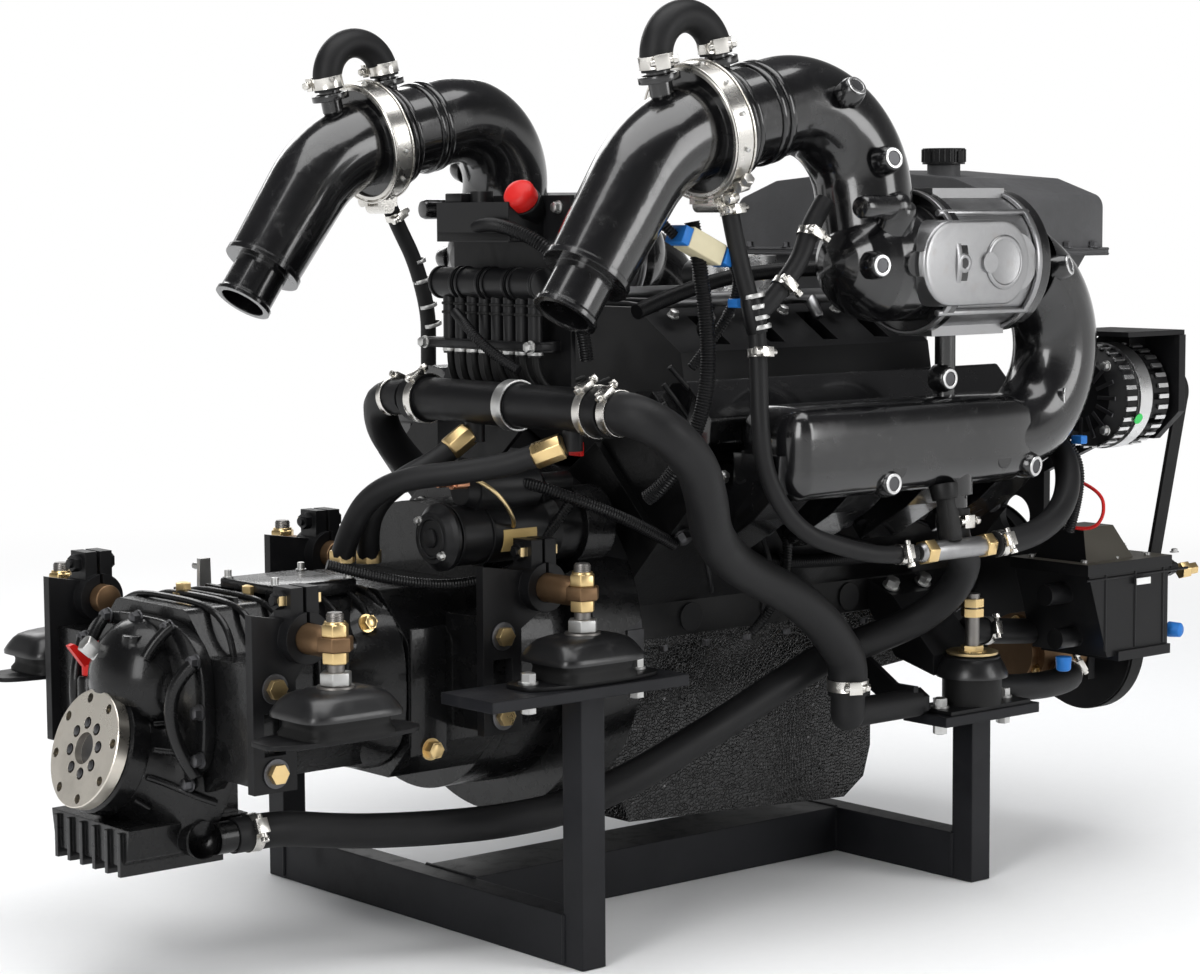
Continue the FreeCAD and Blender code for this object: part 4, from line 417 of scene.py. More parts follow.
@dataclass(frozen=True)
class Moulding(Finish):
    """Moulded plastic or rubber, with a fine mould grain."""

    name: str
    colour: Colour
    rough: float
    grain: float = 600.0
    depth: float = 0.2
    bloom: float = 0.25
    edge: float = 0.0008
    shine: float = 0.22

    def build(self, surface: Surface) -> bpy.types.Material:
        """Builds the moulding's material."""
        broad = surface.noise(22, 3, 0.6)
        fine = surface.noise(self.grain, 3, 0.6)
        pale = tuple(min(1.0, part * 1.3 + 0.008) for part in self.colour)
        tone = surface.blend(broad.step(0.4, 0.78) * self.bloom, self.colour, pale)
        rough = broad.step(0.35, 0.8) * 0.12 + fine * 0.08 + (self.rough - 0.06)
        return surface.shade(Base_Color=tone, Roughness=rough, Metallic=0.0,
            Specular_IOR_Level=self.shine, Normal=surface.relief(fine, self.depth, 0.0004, self.edge))


@dataclass(frozen=True)
class Rust(Finish):
    """Bare steel with a light brown rust."""

    name: str
    steel: Colour = (0.33, 0.27, 0.22)
    brown: Colour = (0.23, 0.115, 0.065)

    def build(self, surface: Surface) -> bpy.types.Material:
        """Builds the rusted steel's material."""
        broad = surface.noise(28, 5, 0.7, swirl=0.5)
        grit = surface.noise(420, 3, 0.7)
        cover = (broad * 0.7 + grit * 0.3).step(0.32, 0.62)
        tone = surface.blend(cover, self.steel, self.brown)
        deep = surface.blend(grit.step(0.5, 0.8) * 0.5, tone, (0.12, 0.055, 0.03))
        return surface.shade(Base_Color=deep, Roughness=cover * 0.4 + 0.42,
            Metallic=0.85 - cover * 0.75, Normal=surface.relief(grit, 0.4, 0.0005, 0.0008))


GLOSS_ENAMEL = Paint("gloss_enamel", (0.003, 0.003, 0.0034), 0.84, Skin.SMOOTH, 0.1, 0.6, 0.003, 0.5)
SATIN_BLACK = Paint("satin_black", (0.0045, 0.0045, 0.005), 0.62, Skin.POWDER, 0.1, shine=0.2)
STAND_BLACK = Paint("stand_black", (0.0075, 0.0078, 0.0095), 0.52, Skin.POWDER, 0.15, 0.0, 0.003, 0.22)
CRACKLE_BLACK = Paint("crackle_black", (0.002, 0.002, 0.002), 0.84, Skin.CRACKLE, 0.0, shine=0.5)
GEARBOX_BLACK = Paint("gearbox_black", (0.0028, 0.0028, 0.003), 0.78, Skin.CAST, 0.08, 0.2, 0.002, 0.22)
ENGINE_BLACK = Paint("engine_black", (0.0024, 0.0024, 0.0026), 0.72, Skin.CAST, 0.1, shine=0.2)
TANK_GREY = Paint("tank_grey", (0.058, 0.058, 0.060), 0.52, Skin.CAST, 0.2, 0.0, 0.003, 0.3)
PUMP_BLACK = Paint("pump_black", (0.0045, 0.0045, 0.0045), 0.6, Skin.CAST, 0.2, shine=0.25)
RAW_CASTING = BareMetal("raw_casting", (0.05, 0.05, 0.052), 0.38, Grain.CAST, stain=0.35)
BRIGHT_ALLOY = BareMetal("bright_alloy", (0.70, 0.70, 0.70), 0.2, Grain.CAST, stain=0.25)
STAINLESS = BareMetal("stainless", (0.72, 0.70, 0.66), 0.16, Grain.BRUSHED, stain=0.15)
ZINC = BareMetal("zinc", (0.55, 0.55, 0.54), 0.3, Grain.POLISHED, stain=0.35)
YELLOW_ZINC = BareMetal("yellow_zinc", (0.72, 0.56, 0.30), 0.28, Grain.POLISHED, stain=0.35)
BRASS = BareMetal("brass", (0.74, 0.55, 0.27), 0.24, Grain.POLISHED, stain=0.3)
BRONZE = BareMetal("bronze", (0.20, 0.125, 0.07), 0.4, Grain.CAST, stain=0.4)
COPPER = BareMetal("copper", (0.72, 0.36, 0.22), 0.3, Grain.POLISHED, stain=0.3)
DARK_STEEL = BareMetal("dark_steel", (0.10, 0.10, 0.105), 0.36, Grain.POLISHED, stain=0.3)
MACHINED = BareMetal("machined_face", (0.66, 0.62, 0.55), 0.24, Grain.TURNED, (-0.75, 0.0, 0.255),
    (0.0, -math.radians(72), 0.0), 0.35)
HOSE = Moulding("hose_rubber", (0.0075, 0.0075, 0.008), 0.50, 380, 0.3, 0.4, 0.0)
SOFT_RUBBER = Moulding("mount_rubber", (0.006, 0.006, 0.006), 0.55, 300, 0.25)
BELT = Moulding("belt_rubber", (0.007, 0.007, 0.007), 0.62, 420, 0.3)
PLASTIC = Moulding("black_plastic", (0.005, 0.005, 0.0055), 0.36, 700, 0.12)
INTAKE = Moulding("intake_plastic", (0.004, 0.004, 0.0045), 0.45, 500, 0.2)
RED = Moulding("red_plastic", (0.50, 0.012, 0.010), 0.36, 500, 0.15)
BLUE = Moulding("blue_plastic", (0.02, 0.16, 0.50), 0.4, 500, 0.15)
CREAM = Moulding("cream_plastic", (0.62, 0.56, 0.38), 0.42, 500, 0.15)
LABEL = Moulding("blank_label", (0.80, 0.80, 0.79), 0.42, 200, 0.05, 0.1, 0.0)
AMBER_LABEL = Moulding("amber_label", (0.42, 0.30, 0.12), 0.35, 200, 0.05, 0.2, 0.0)
GREEN_DOT = Moulding("green_dot", (0.05, 0.55, 0.12), 0.5, 200, 0.05, 0.1, 0.0)
OLIVE_COVER = Moulding("olive_cover", (0.055, 0.050, 0.040), 0.42, 400, 0.2)
DOME_BLACK = Paint("dome_black", (0.006, 0.006, 0.0065), 0.7, Skin.SMOOTH, 0.15, 0.1, 0.0, 0.5)
STEEL_GREY = BareMetal("steel_grey", (0.22, 0.21, 0.20), 0.34, Grain.POLISHED, stain=0.35)
RUSTY = Rust("rusted_steel")
CAT_ALLOY = BareMetal("catalyst_alloy", (0.34, 0.34, 0.345), 0.26, Grain.CAST, stain=0.3)


# Mesh drafts


def around(count: int) -> list[float]:
    """Returns evenly spaced angles round a full turn."""
    return [2 * math.pi * k / count for k in range(count)]


def bulge(value: float, power: float) -> float:
    """Returns a sine or cosine raised to a power, with its sign kept."""
    return math.copysign(abs(value) ** power, value)


class Draft:
    """A mesh in the making, in the row frame, in millimetres until it is ended."""

    def __init__(self) -> None:
        """Starts an empty mesh."""
        self.mesh = bmesh.new()

    def _grid(self, rings: Sequence[Sequence[Vector]], closed: bool = False) -> None:
        """Joins rings of points into a skin.

        Args:
            rings: Rings of equal length.
            closed: Whether the last ring joins the first. If not, both ends are filled.
        """
        rows = [[self.mesh.verts.new(point) for point in ring] for ring in rings]
        count = len(rows[0])
        pairs = list(zip(rows, rows[1:] + rows[:1])) if closed else list(zip(rows, rows[1:]))
        for low, high in pairs:
            for i in range(count):
                j = (i + 1) % count
                self.mesh.faces.new((low[i], low[j], high[j], high[i]))
        if not closed:
            self.mesh.faces.new(rows[0][::-1])
            self.mesh.faces.new(rows[-1])

    def lathe(self, profile: Sequence[tuple[float, float]], centre: Point, axis: Point, sides: int = 48,
            closed: bool = False) -> "Draft":
        """Turns a profile about an axis.

        Args:
            profile: Pairs of place along the axis and radius.
            centre: The axis's start, in millimetres.
            axis: The axis's direction.
            sides: Facets round the axis.
            closed: Whether the profile closes on itself, as a ring's section does.

        Returns:
            The draft.
        """
        way = Vector(axis).normalized()
        across = way.orthogonal().normalized()
        up = way.cross(across)
        rings = []
        for along, radius in profile:
            spot = Vector(centre) + way * along
            rings.append([spot + (across * math.cos(a) + up * math.sin(a)) * max(radius, LEAST_RADIUS)
                for a in around(sides)])
        self._grid(rings, closed)
        return self

    def tube(self, line: Sequence[Point], radius: float, sides: int = 20) -> "Draft":
        """Sweeps a circle along a line.

        Args:
            line: The line's points, in millimetres.
            radius: The tube's radius.
            sides: Facets round the tube.

        Returns:
            The draft.
        """
        points = [Vector(p) for p in line]
        way = (points[1] - points[0]).normalized()
        across = way.orthogonal().normalized()
        rings = []
        for i, point in enumerate(points):
            before = points[max(i - 1, 0)]
            after = points[min(i + 1, len(points) - 1)]
            heading = (after - before).normalized()
            across = (across - heading * across.dot(heading)).normalized()
            up = heading.cross(across)
            rings.append([point + (across * math.cos(a) + up * math.sin(a)) * radius
                for a in around(sides)])
        self._grid(rings)
        return self

    def block(self, low: Point, high: Point, turn: Optional[Matrix] = None) -> "Draft":
        """Adds a box.

        Args:
            low: Its lowest corner.
            high: Its highest corner.
            turn: A rotation about the box's own centre.

        Returns:
            The draft.
        """
        middle = (Vector(low) + Vector(high)) / 2
        half = (Vector(high) - Vector(low)) / 2
        corners = []
        for sx in (-1, 1):
            for sy in (-1, 1):
                for sz in (-1, 1):
                    offset = Vector((half.x * sx, half.y * sy, half.z * sz))
                    if turn is not None:
                        offset = turn @ offset
                    corners.append(self.mesh.verts.new(middle + offset))
        for face in ((0, 1, 3, 2), (4, 6, 7, 5), (0, 4, 5, 1), (2, 3, 7, 6), (0, 2, 6, 4),
                (1, 5, 7, 3)):
            self.mesh.faces.new([corners[i] for i in face])
        return self

    def slab(self, outline: Sequence[Point], push: Point) -> "Draft":
        """Pushes a flat outline into a slab.

        Args:
            outline: The outline's points, in millimetres.
            push: The slab's thickness as a vector.

        Returns:
            The draft.
        """
        first = [Vector(p) for p in outline]
        second = [p + Vector(push) for p in first]
        self._grid([first, second])
        return self

    def loft(self, rings: Sequence[Sequence[Point]]) -> "Draft":
        """Skins rings of points, in millimetres."""
        self._grid([[Vector(p) for p in ring] for ring in rings])
        return self

    def end(self, name: str, finish: Finish, bevel: float = 0.0, levels: int = 0, smooth: bool = True,
            segments: int = 2) -> bpy.types.Object:
        """Ends the draft as an object.

        Args:
            name: The object's name.
            finish: Its finish.
            bevel: The width of a bevel on sharp edges, in millimetres, or 0.
            levels: Levels of subdivision, or 0.
            smooth: Whether faces are shaded smooth up to 40 degrees.
            segments: The bevel's segments.

        Returns:
            The object, linked to the scene, with its faces pointing out.
        """
        bmesh.ops.scale(self.mesh, vec=(MM, MM, MM), verts=self.mesh.verts)
        bmesh.ops.recalc_face_normals(self.mesh, faces=self.mesh.faces)
        data = bpy.data.meshes.new(name)
        self.mesh.to_mesh(data)
        self.mesh.free()
        data.materials.append(finish.material())
        thing = bpy.data.objects.new(name, data)
        bpy.context.scene.collection.objects.link(thing)
        if bevel > 0:
            cut = thing.modifiers.new("Edges", "BEVEL")
            cut.width = bevel * MM
            cut.segments = segments
            cut.limit_method = "ANGLE"
            cut.angle_limit = math.radians(40)
        if levels:
            soft = thing.modifiers.new("Soft", "SUBSURF")
            soft.levels = levels
            soft.render_levels = levels
        if smooth:
            settle(thing)
            thing.data.shade_smooth()
            thing.data.set_sharp_from_angle(angle=math.radians(40))
        elif thing.modifiers:
            settle(thing)
        return thing


def settle(thing: bpy.types.Object) -> None:
    """Turns an object's modifiers into plain mesh.

    Args:
        thing: The object, changed in place.
    """
    bpy.context.view_layer.update()
    shaped = thing.evaluated_get(bpy.context.evaluated_depsgraph_get())
    data = bpy.data.meshes.new_from_object(shaped)
    data.name = thing.name
    old = thing.data
    thing.modifiers.clear()
    thing.data = data
    bpy.data.meshes.remove(old)


def smooth_line(points: Sequence[Point], steps: int = 10) -> list[Vector]:
    """Reads a smooth line through control points from a NURBS curve.

    Args:
        points: The curve's control points, in millimetres.
        steps: Points read for each control point.

    Returns:
        The line's points, in millimetres.
    """
    curve = bpy.data.curves.new("line", "CURVE")
    curve.dimensions = "3D"
    curve.resolution_u = steps
    spline = curve.splines.new("NURBS")
    spline.points.add(len(points) - 1)
    for slot, point in zip(spline.points, points):
        slot.co = (*point, 1.0)
    spline.order_u = 3
    spline.use_endpoint_u = True
    holder = bpy.data.objects.new("line", curve)
    bpy.context.scene.collection.objects.link(holder)
    bpy.context.view_layer.update()
    data = bpy.data.meshes.new_from_object(holder.evaluated_get(bpy.context.evaluated_depsgraph_get()))
    line = [vertex.co.copy() for vertex in data.vertices]
    bpy.data.objects.remove(holder)
    bpy.data.curves.remove(curve)
    bpy.data.meshes.remove(data)
    return line


# Geometry Nodes


class Pattern:
    """A geometry tree that repeats a part on points or along a path."""

    def __init__(self, name: str) -> None:
        """Starts a tree with a geometry input and output.

        Args:
            name: The tree's name.
        """
        self.tree = bpy.data.node_groups.new(name, "GeometryNodeTree")
        self.tree.interface.new_socket("Geometry", in_out="INPUT", socket_type="NodeSocketGeometry")
        self.tree.interface.new_socket("Geometry", in_out="OUTPUT", socket_type="NodeSocketGeometry")
        self.source = self.tree.nodes.new("NodeGroupInput")
        self.target = self.tree.nodes.new("NodeGroupOutput")
        self.identifiers: dict[str, str] = {}

    def size(self, name: str, value: float) -> bpy.types.NodeSocket:
        """Adds a named size input.

        Args:
            name: The input's name.
            value: Its default, in metres or as a count.

        Returns:
            The group input's socket for it.
        """
        kind = "NodeSocketInt" if isinstance(value, int) else "NodeSocketFloat"
        socket = self.tree.interface.new_socket(name, in_out="INPUT", socket_type=kind)
        socket.default_value = value
        self.identifiers[name] = socket.identifier
        return self.source.outputs[name]

    def add(self, kind: str, settings: Optional[dict[str, Any]] = None,
            sockets: Optional[dict[Union[str, int], Any]] = None) -> bpy.types.Node:
        """Adds one node with its settings, then its values and links."""
        node = self.tree.nodes.new(kind)
        for name, value in (settings or {}).items():
            setattr(node, name, value)
        for key, value in (sockets or {}).items():
            if isinstance(value, bpy.types.NodeSocket):
                self.tree.links.new(value, node.inputs[key])
            else:
                node.inputs[key].default_value = value
        return node

    def close(self, geometry: bpy.types.NodeSocket, finish: Finish) -> "Pattern":
        """Ends the tree in real mesh with its material.

        Args:
            geometry: The instances or mesh to end with.
            finish: The finish to set.

        Returns:
            The pattern.
        """
        real = self.add("GeometryNodeRealizeInstances", None, {0: geometry})
        clad = self.add("GeometryNodeSetMaterial", None, {"Geometry": real.outputs[0],
            "Material": finish.material()})
        self.tree.links.new(clad.outputs[0], self.target.inputs[0])
        return self

    def run(self, name: str, seats: bpy.types.Object, sizes: dict[str, float]) -> bpy.types.Object:
        """Runs the tree on an object and keeps the plain mesh.

        Args:
            name: The finished object's name.
            seats: The object that holds the points or the path.
            sizes: Values for the tree's named sizes.

        Returns:
            The finished object.
        """
        live = seats.modifiers.new("Pattern", "NODES")
        live.node_group = self.tree
        for key, value in sizes.items():
            live[self.identifiers[key]] = value
        bpy.context.view_layer.update()
        shaped = seats.evaluated_get(bpy.context.evaluated_depsgraph_get())
        data = bpy.data.meshes.new_from_object(shaped)
        seats.modifiers.clear()
        data.name = name
        thing = bpy.data.objects.new(name, data)
        bpy.context.scene.collection.objects.link(thing)
        thing.data.shade_smooth()
        thing.data.set_sharp_from_angle(angle=math.radians(35))
        bpy.data.objects.remove(seats)
        return thing


class Head(Enum):
    """The kind of fastener head."""

    HEX = "hex"
    SOCKET = "socket"
    PAN = "pan"
    NUT = "nut"


@dataclass(frozen=True)
class Seat:
    """One fastener's place."""

    spot: tuple[float, float, float]
    aim: tuple[float, float, float]
    width: float = 13.0


@dataclass
class Fasteners:
    """Rows of fasteners of one finish, set on seats by a geometry tree."""

    name: str
    finish: Finish
    head: Head = Head.HEX
    washer: float = 1.45
    seats: list[Seat] = field(default_factory=list)

    def at(self, spot: Point, aim: Point, width: float = 13.0) -> "Fasteners":
        """Adds a seat.

        Args:
            spot: The place where the washer meets the face, in millimetres.
            aim: The way that the head points.
            width: The head's width across its flats, in millimetres.

        Returns:
            The rows.
        """
        self.seats.append(Seat(tuple(spot), tuple(aim), width))
        return self

    def points(self) -> bpy.types.Object:
        """Returns an object with a vertex for each seat, its aim and its width."""
        data = bpy.data.meshes.new(self.name + "_seats")
        data.from_pydata([tuple(c * MM for c in seat.spot) for seat in self.seats], [], [])
        data.attributes.new("aim", "FLOAT_VECTOR", "POINT")
        data.attributes.new("width", "FLOAT", "POINT")
        aims, widths = data.attributes["aim"].data, data.attributes["width"].data
        for i, seat in enumerate(self.seats):
            aims[i].vector = Vector(seat.aim).normalized()
            widths[i].value = seat.width * MM
        thing = bpy.data.objects.new(self.name + "_seats", data)
        bpy.context.scene.collection.objects.link(thing)
        return thing

    def pattern(self) -> Pattern:
        """Returns the tree that puts a head on every seat."""
        tree = Pattern(self.name)
        washer = tree.size("Washer", self.washer)
        height = tree.size("Height", 0.62)
        sides = 6 if self.head in (Head.HEX, Head.NUT) else 20
        disc = tree.add("GeometryNodeMeshCylinder", None, {"Vertices": 24, "Radius": 0.5,
            "Depth": 0.16})
        wide = tree.add("ShaderNodeCombineXYZ", None, {"X": washer, "Y": washer, "Z": 1.0})
        plate = tree.add("GeometryNodeTransform", None, {"Geometry": disc.outputs["Mesh"],
            "Scale": wide.outputs[0], "Translation": (0, 0, 0.08)})
        reach = 0.577 if sides == 6 else 0.5
        body = tree.add("GeometryNodeMeshCylinder", None, {"Vertices": sides, "Radius": reach,
            "Depth": height})
        lift = tree.add("ShaderNodeMath", {"operation": "MULTIPLY_ADD"}, {0: height, 1: 0.5, 2: 0.15})
        rise = tree.add("ShaderNodeCombineXYZ", None, {"Z": lift.outputs[0]})
        head = tree.add("GeometryNodeTransform", None, {"Geometry": body.outputs["Mesh"],
            "Translation": rise.outputs[0]})
        crown = tree.add("GeometryNodeMeshCone", None, {"Vertices": 20, "Radius Top": 0.34,
            "Radius Bottom": 0.47, "Depth": 0.07})
        top = tree.add("ShaderNodeMath", {"operation": "ADD"}, {0: height, 1: 0.15})
        over = tree.add("ShaderNodeCombineXYZ", None, {"Z": top.outputs[0]})
        cap = tree.add("GeometryNodeTransform", None, {"Geometry": crown.outputs["Mesh"],
            "Translation": over.outputs[0]})
        whole = tree.add("GeometryNodeJoinGeometry")
        for part in (plate, head, cap):
            tree.tree.links.new(part.outputs[0], whole.inputs[0])
        aim = tree.add("GeometryNodeInputNamedAttribute", {"data_type": "FLOAT_VECTOR"},
            {"Name": "aim"})
        width = tree.add("GeometryNodeInputNamedAttribute", {"data_type": "FLOAT"}, {"Name": "width"})
        turn = tree.add("FunctionNodeAlignRotationToVector", {"axis": "Z"},
            {"Vector": aim.outputs["Attribute"]})
        spread = tree.add("GeometryNodeInstanceOnPoints", None, {"Points": tree.source.outputs[0],
            "Instance": whole.outputs[0], "Rotation": turn.outputs[0],
            "Scale": width.outputs["Attribute"]})
        return tree.close(spread.outputs[0], self.finish)

    def make(self, body: str = "engine") -> bpy.types.Object:
        """Makes the fasteners and lets them ride on a body."""
        heights = {Head.HEX: 0.62, Head.NUT: 0.8, Head.SOCKET: 0.9, Head.PAN: 0.4}
        thing = self.pattern().run(self.name, self.points(), {"Washer": self.washer,
            "Height": heights[self.head]})
        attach(thing, body)
        LOG.info("%s: %d seats", self.name, len(self.seats))
        return thing


@dataclass
class Loom:
    """A ribbed sleeve along a path, made by a geometry tree."""

    name: str
    finish: Finish
    line: Sequence[Point]
    radius: float = 5.0
    pitch: float = 3.2

    def pattern(self) -> Pattern:
        """Returns the tree that sweeps a ribbed sleeve along the path."""
        tree = Pattern(self.name)
        radius = tree.size("Radius", 0.005)
        pitch = tree.size("Pitch", 0.0016)
        path = tree.add("GeometryNodeMeshToCurve", None, {0: tree.source.outputs[0]})
        even = tree.add("GeometryNodeResampleCurve", None, None)
        tree.tree.links.new(path.outputs[0], even.inputs["Curve"])
        even.mode = "LENGTH"
        tree.tree.links.new(pitch, even.inputs["Length"])
        index = tree.add("GeometryNodeInputIndex")
        odd = tree.add("ShaderNodeMath", {"operation": "MODULO"}, {0: index.outputs[0], 1: 2.0})
        thick = tree.add("ShaderNodeMath", {"operation": "MULTIPLY_ADD"},
            {0: odd.outputs[0], 1: -0.16, 2: 1.0})
        size = tree.add("ShaderNodeMath", {"operation": "MULTIPLY"}, {0: thick.outputs[0], 1: radius})
        ring = tree.add("GeometryNodeCurvePrimitiveCircle", None, {"Resolution": 14, "Radius": 1.0})
        sleeve = tree.add("GeometryNodeCurveToMesh", None, {"Curve": even.outputs[0],
            "Profile Curve": ring.outputs[0], "Fill Caps": True})
        if "Scale" in sleeve.inputs:
            tree.tree.links.new(size.outputs[0], sleeve.inputs["Scale"])
        else:
            widen = tree.add("GeometryNodeSetCurveRadius", None, {"Curve": even.outputs[0],
                "Radius": size.outputs[0]})
            tree.tree.links.new(widen.outputs[0], sleeve.inputs["Curve"])
        return tree.close(sleeve.outputs[0], self.finish)

    def make(self, body: str = "engine") -> bpy.types.Object:
        """Makes the sleeve and lets it ride on a body."""
        line = [point * MM for point in smooth_line(self.line)]
        data = bpy.data.meshes.new(self.name + "_path")
        data.from_pydata([tuple(p) for p in line], [(i, i + 1) for i in range(len(line) - 1)], [])
        path = bpy.data.objects.new(self.name + "_path", data)
        bpy.context.scene.collection.objects.link(path)
        thing = self.pattern().run(self.name, path, {"Radius": self.radius * MM,
            "Pitch": self.pitch * MM / 2})
        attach(thing, body)
        return thing


# Dressing the solids


@dataclass(frozen=True)
class Zone:
    """A share of a node's skin with a finish of its own."""

    finish: Finish
    covers: Callable[[Vector, Vector], bool]


def dress(node: str, finish: Finish, *zones: Zone) -> bpy.types.Object:
    """Gives a solid its finish, and other finishes to zones of it.

    Args:
        node: The solid's name.
        finish: The finish of the whole.
        *zones: Zones, each told by a face's centre in millimetres and its normal.

    Returns:
        The solid's object.
    """
    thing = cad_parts[node]
    data = thing.data
    data.materials.clear()
    for each in (finish, *(zone.finish for zone in zones)):
        data.materials.append(each.material())
    if zones:
        for face in data.polygons:
            centre = face.center / MM
            face.material_index = 0
            for i, zone in enumerate(zones, 1):
                if zone.covers(centre, face.normal):
                    face.material_index = i
                    break
    else:
        for face in data.polygons:
            face.material_index = 0
    LOG.info("%s dressed in %s", node, getattr(finish, "name"))
    return thing


def corner(node: str) -> tuple[Vector, Vector]:
    """Returns a solid's lowest and highest corners in millimetres."""
    low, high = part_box(node)
    return Vector(low) / MM, Vector(high) / MM


def carry(thing: bpy.types.Object, body: str = "engine") -> bpy.types.Object:
    """Lets a piece ride on a body and reports it."""
    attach(thing, body)
    LOG.info("%s rides on %s", thing.name, body)
    return thing


@dataclass(frozen=True)
class WormClamp:
    """A stainless band with its screw housing."""

    name: str
    centre: tuple[float, float, float]
    axis: tuple[float, float, float]
    radius: float
    screw_way: tuple[float, float, float] = (0.0, -1.0, 0.2)
    width: float = 12.0

    def make(self, body: str = "engine") -> bpy.types.Object:
        """Builds the clamp.

        Args:
            body: The body that it rides on.

        Returns:
            The clamp's object.
        """
        axis = Vector(self.axis).normalized()
        centre = Vector(self.centre)
        half = self.width / 2
        out = Vector(self.screw_way)
        out = (out - axis * out.dot(axis)).normalized()
        side = axis.cross(out)
        shape = Draft().lathe([(-half, self.radius), (-half, self.radius + 1.5),
            (-half + 1.4, self.radius + 0.9), (half - 1.4, self.radius + 0.9),
            (half, self.radius + 1.5), (half, self.radius)], centre, axis, 56, closed=True)
        seat = centre + out * (self.radius + 4.0)
        frame = Matrix((side, out, axis)).transposed()
        shape.block(seat - Vector((8, 3.6, half + 1)), seat + Vector((8, 3.6, half + 1)), frame)
        shape.lathe([(-13, 3.4), (12, 3.4)], seat, side, 16)
        shape.lathe([(12, 0.0), (12, 5.0), (17, 5.0), (17.6, 4.2), (17.6, 0.0)], seat, side, 6)
        return carry(shape.end(self.name, STAINLESS, 0.4), body)


def rings(name: str, finish: Finish, places: Iterable[tuple[Point, Point, float, float]],
        body: str = "engine", thick: float = 2.0) -> bpy.types.Object:
    """Makes several flat rings as one piece.

    Args:
        name: The piece's name.
        finish: Its finish.
        places: Centre, axis, radius and width of each ring.
        body: The body that it rides on.
        thick: How far each ring stands proud.

    Returns:
        The piece.
    """
    shape = Draft()
    for centre, axis, radius, width in places:
        shape.lathe([(0, radius - 1), (0, radius + thick), (width, radius + thick),
            (width, radius - 1)], centre, axis, 48, closed=True)
    return carry(shape.end(name, finish, 0.5), body)


# Studio


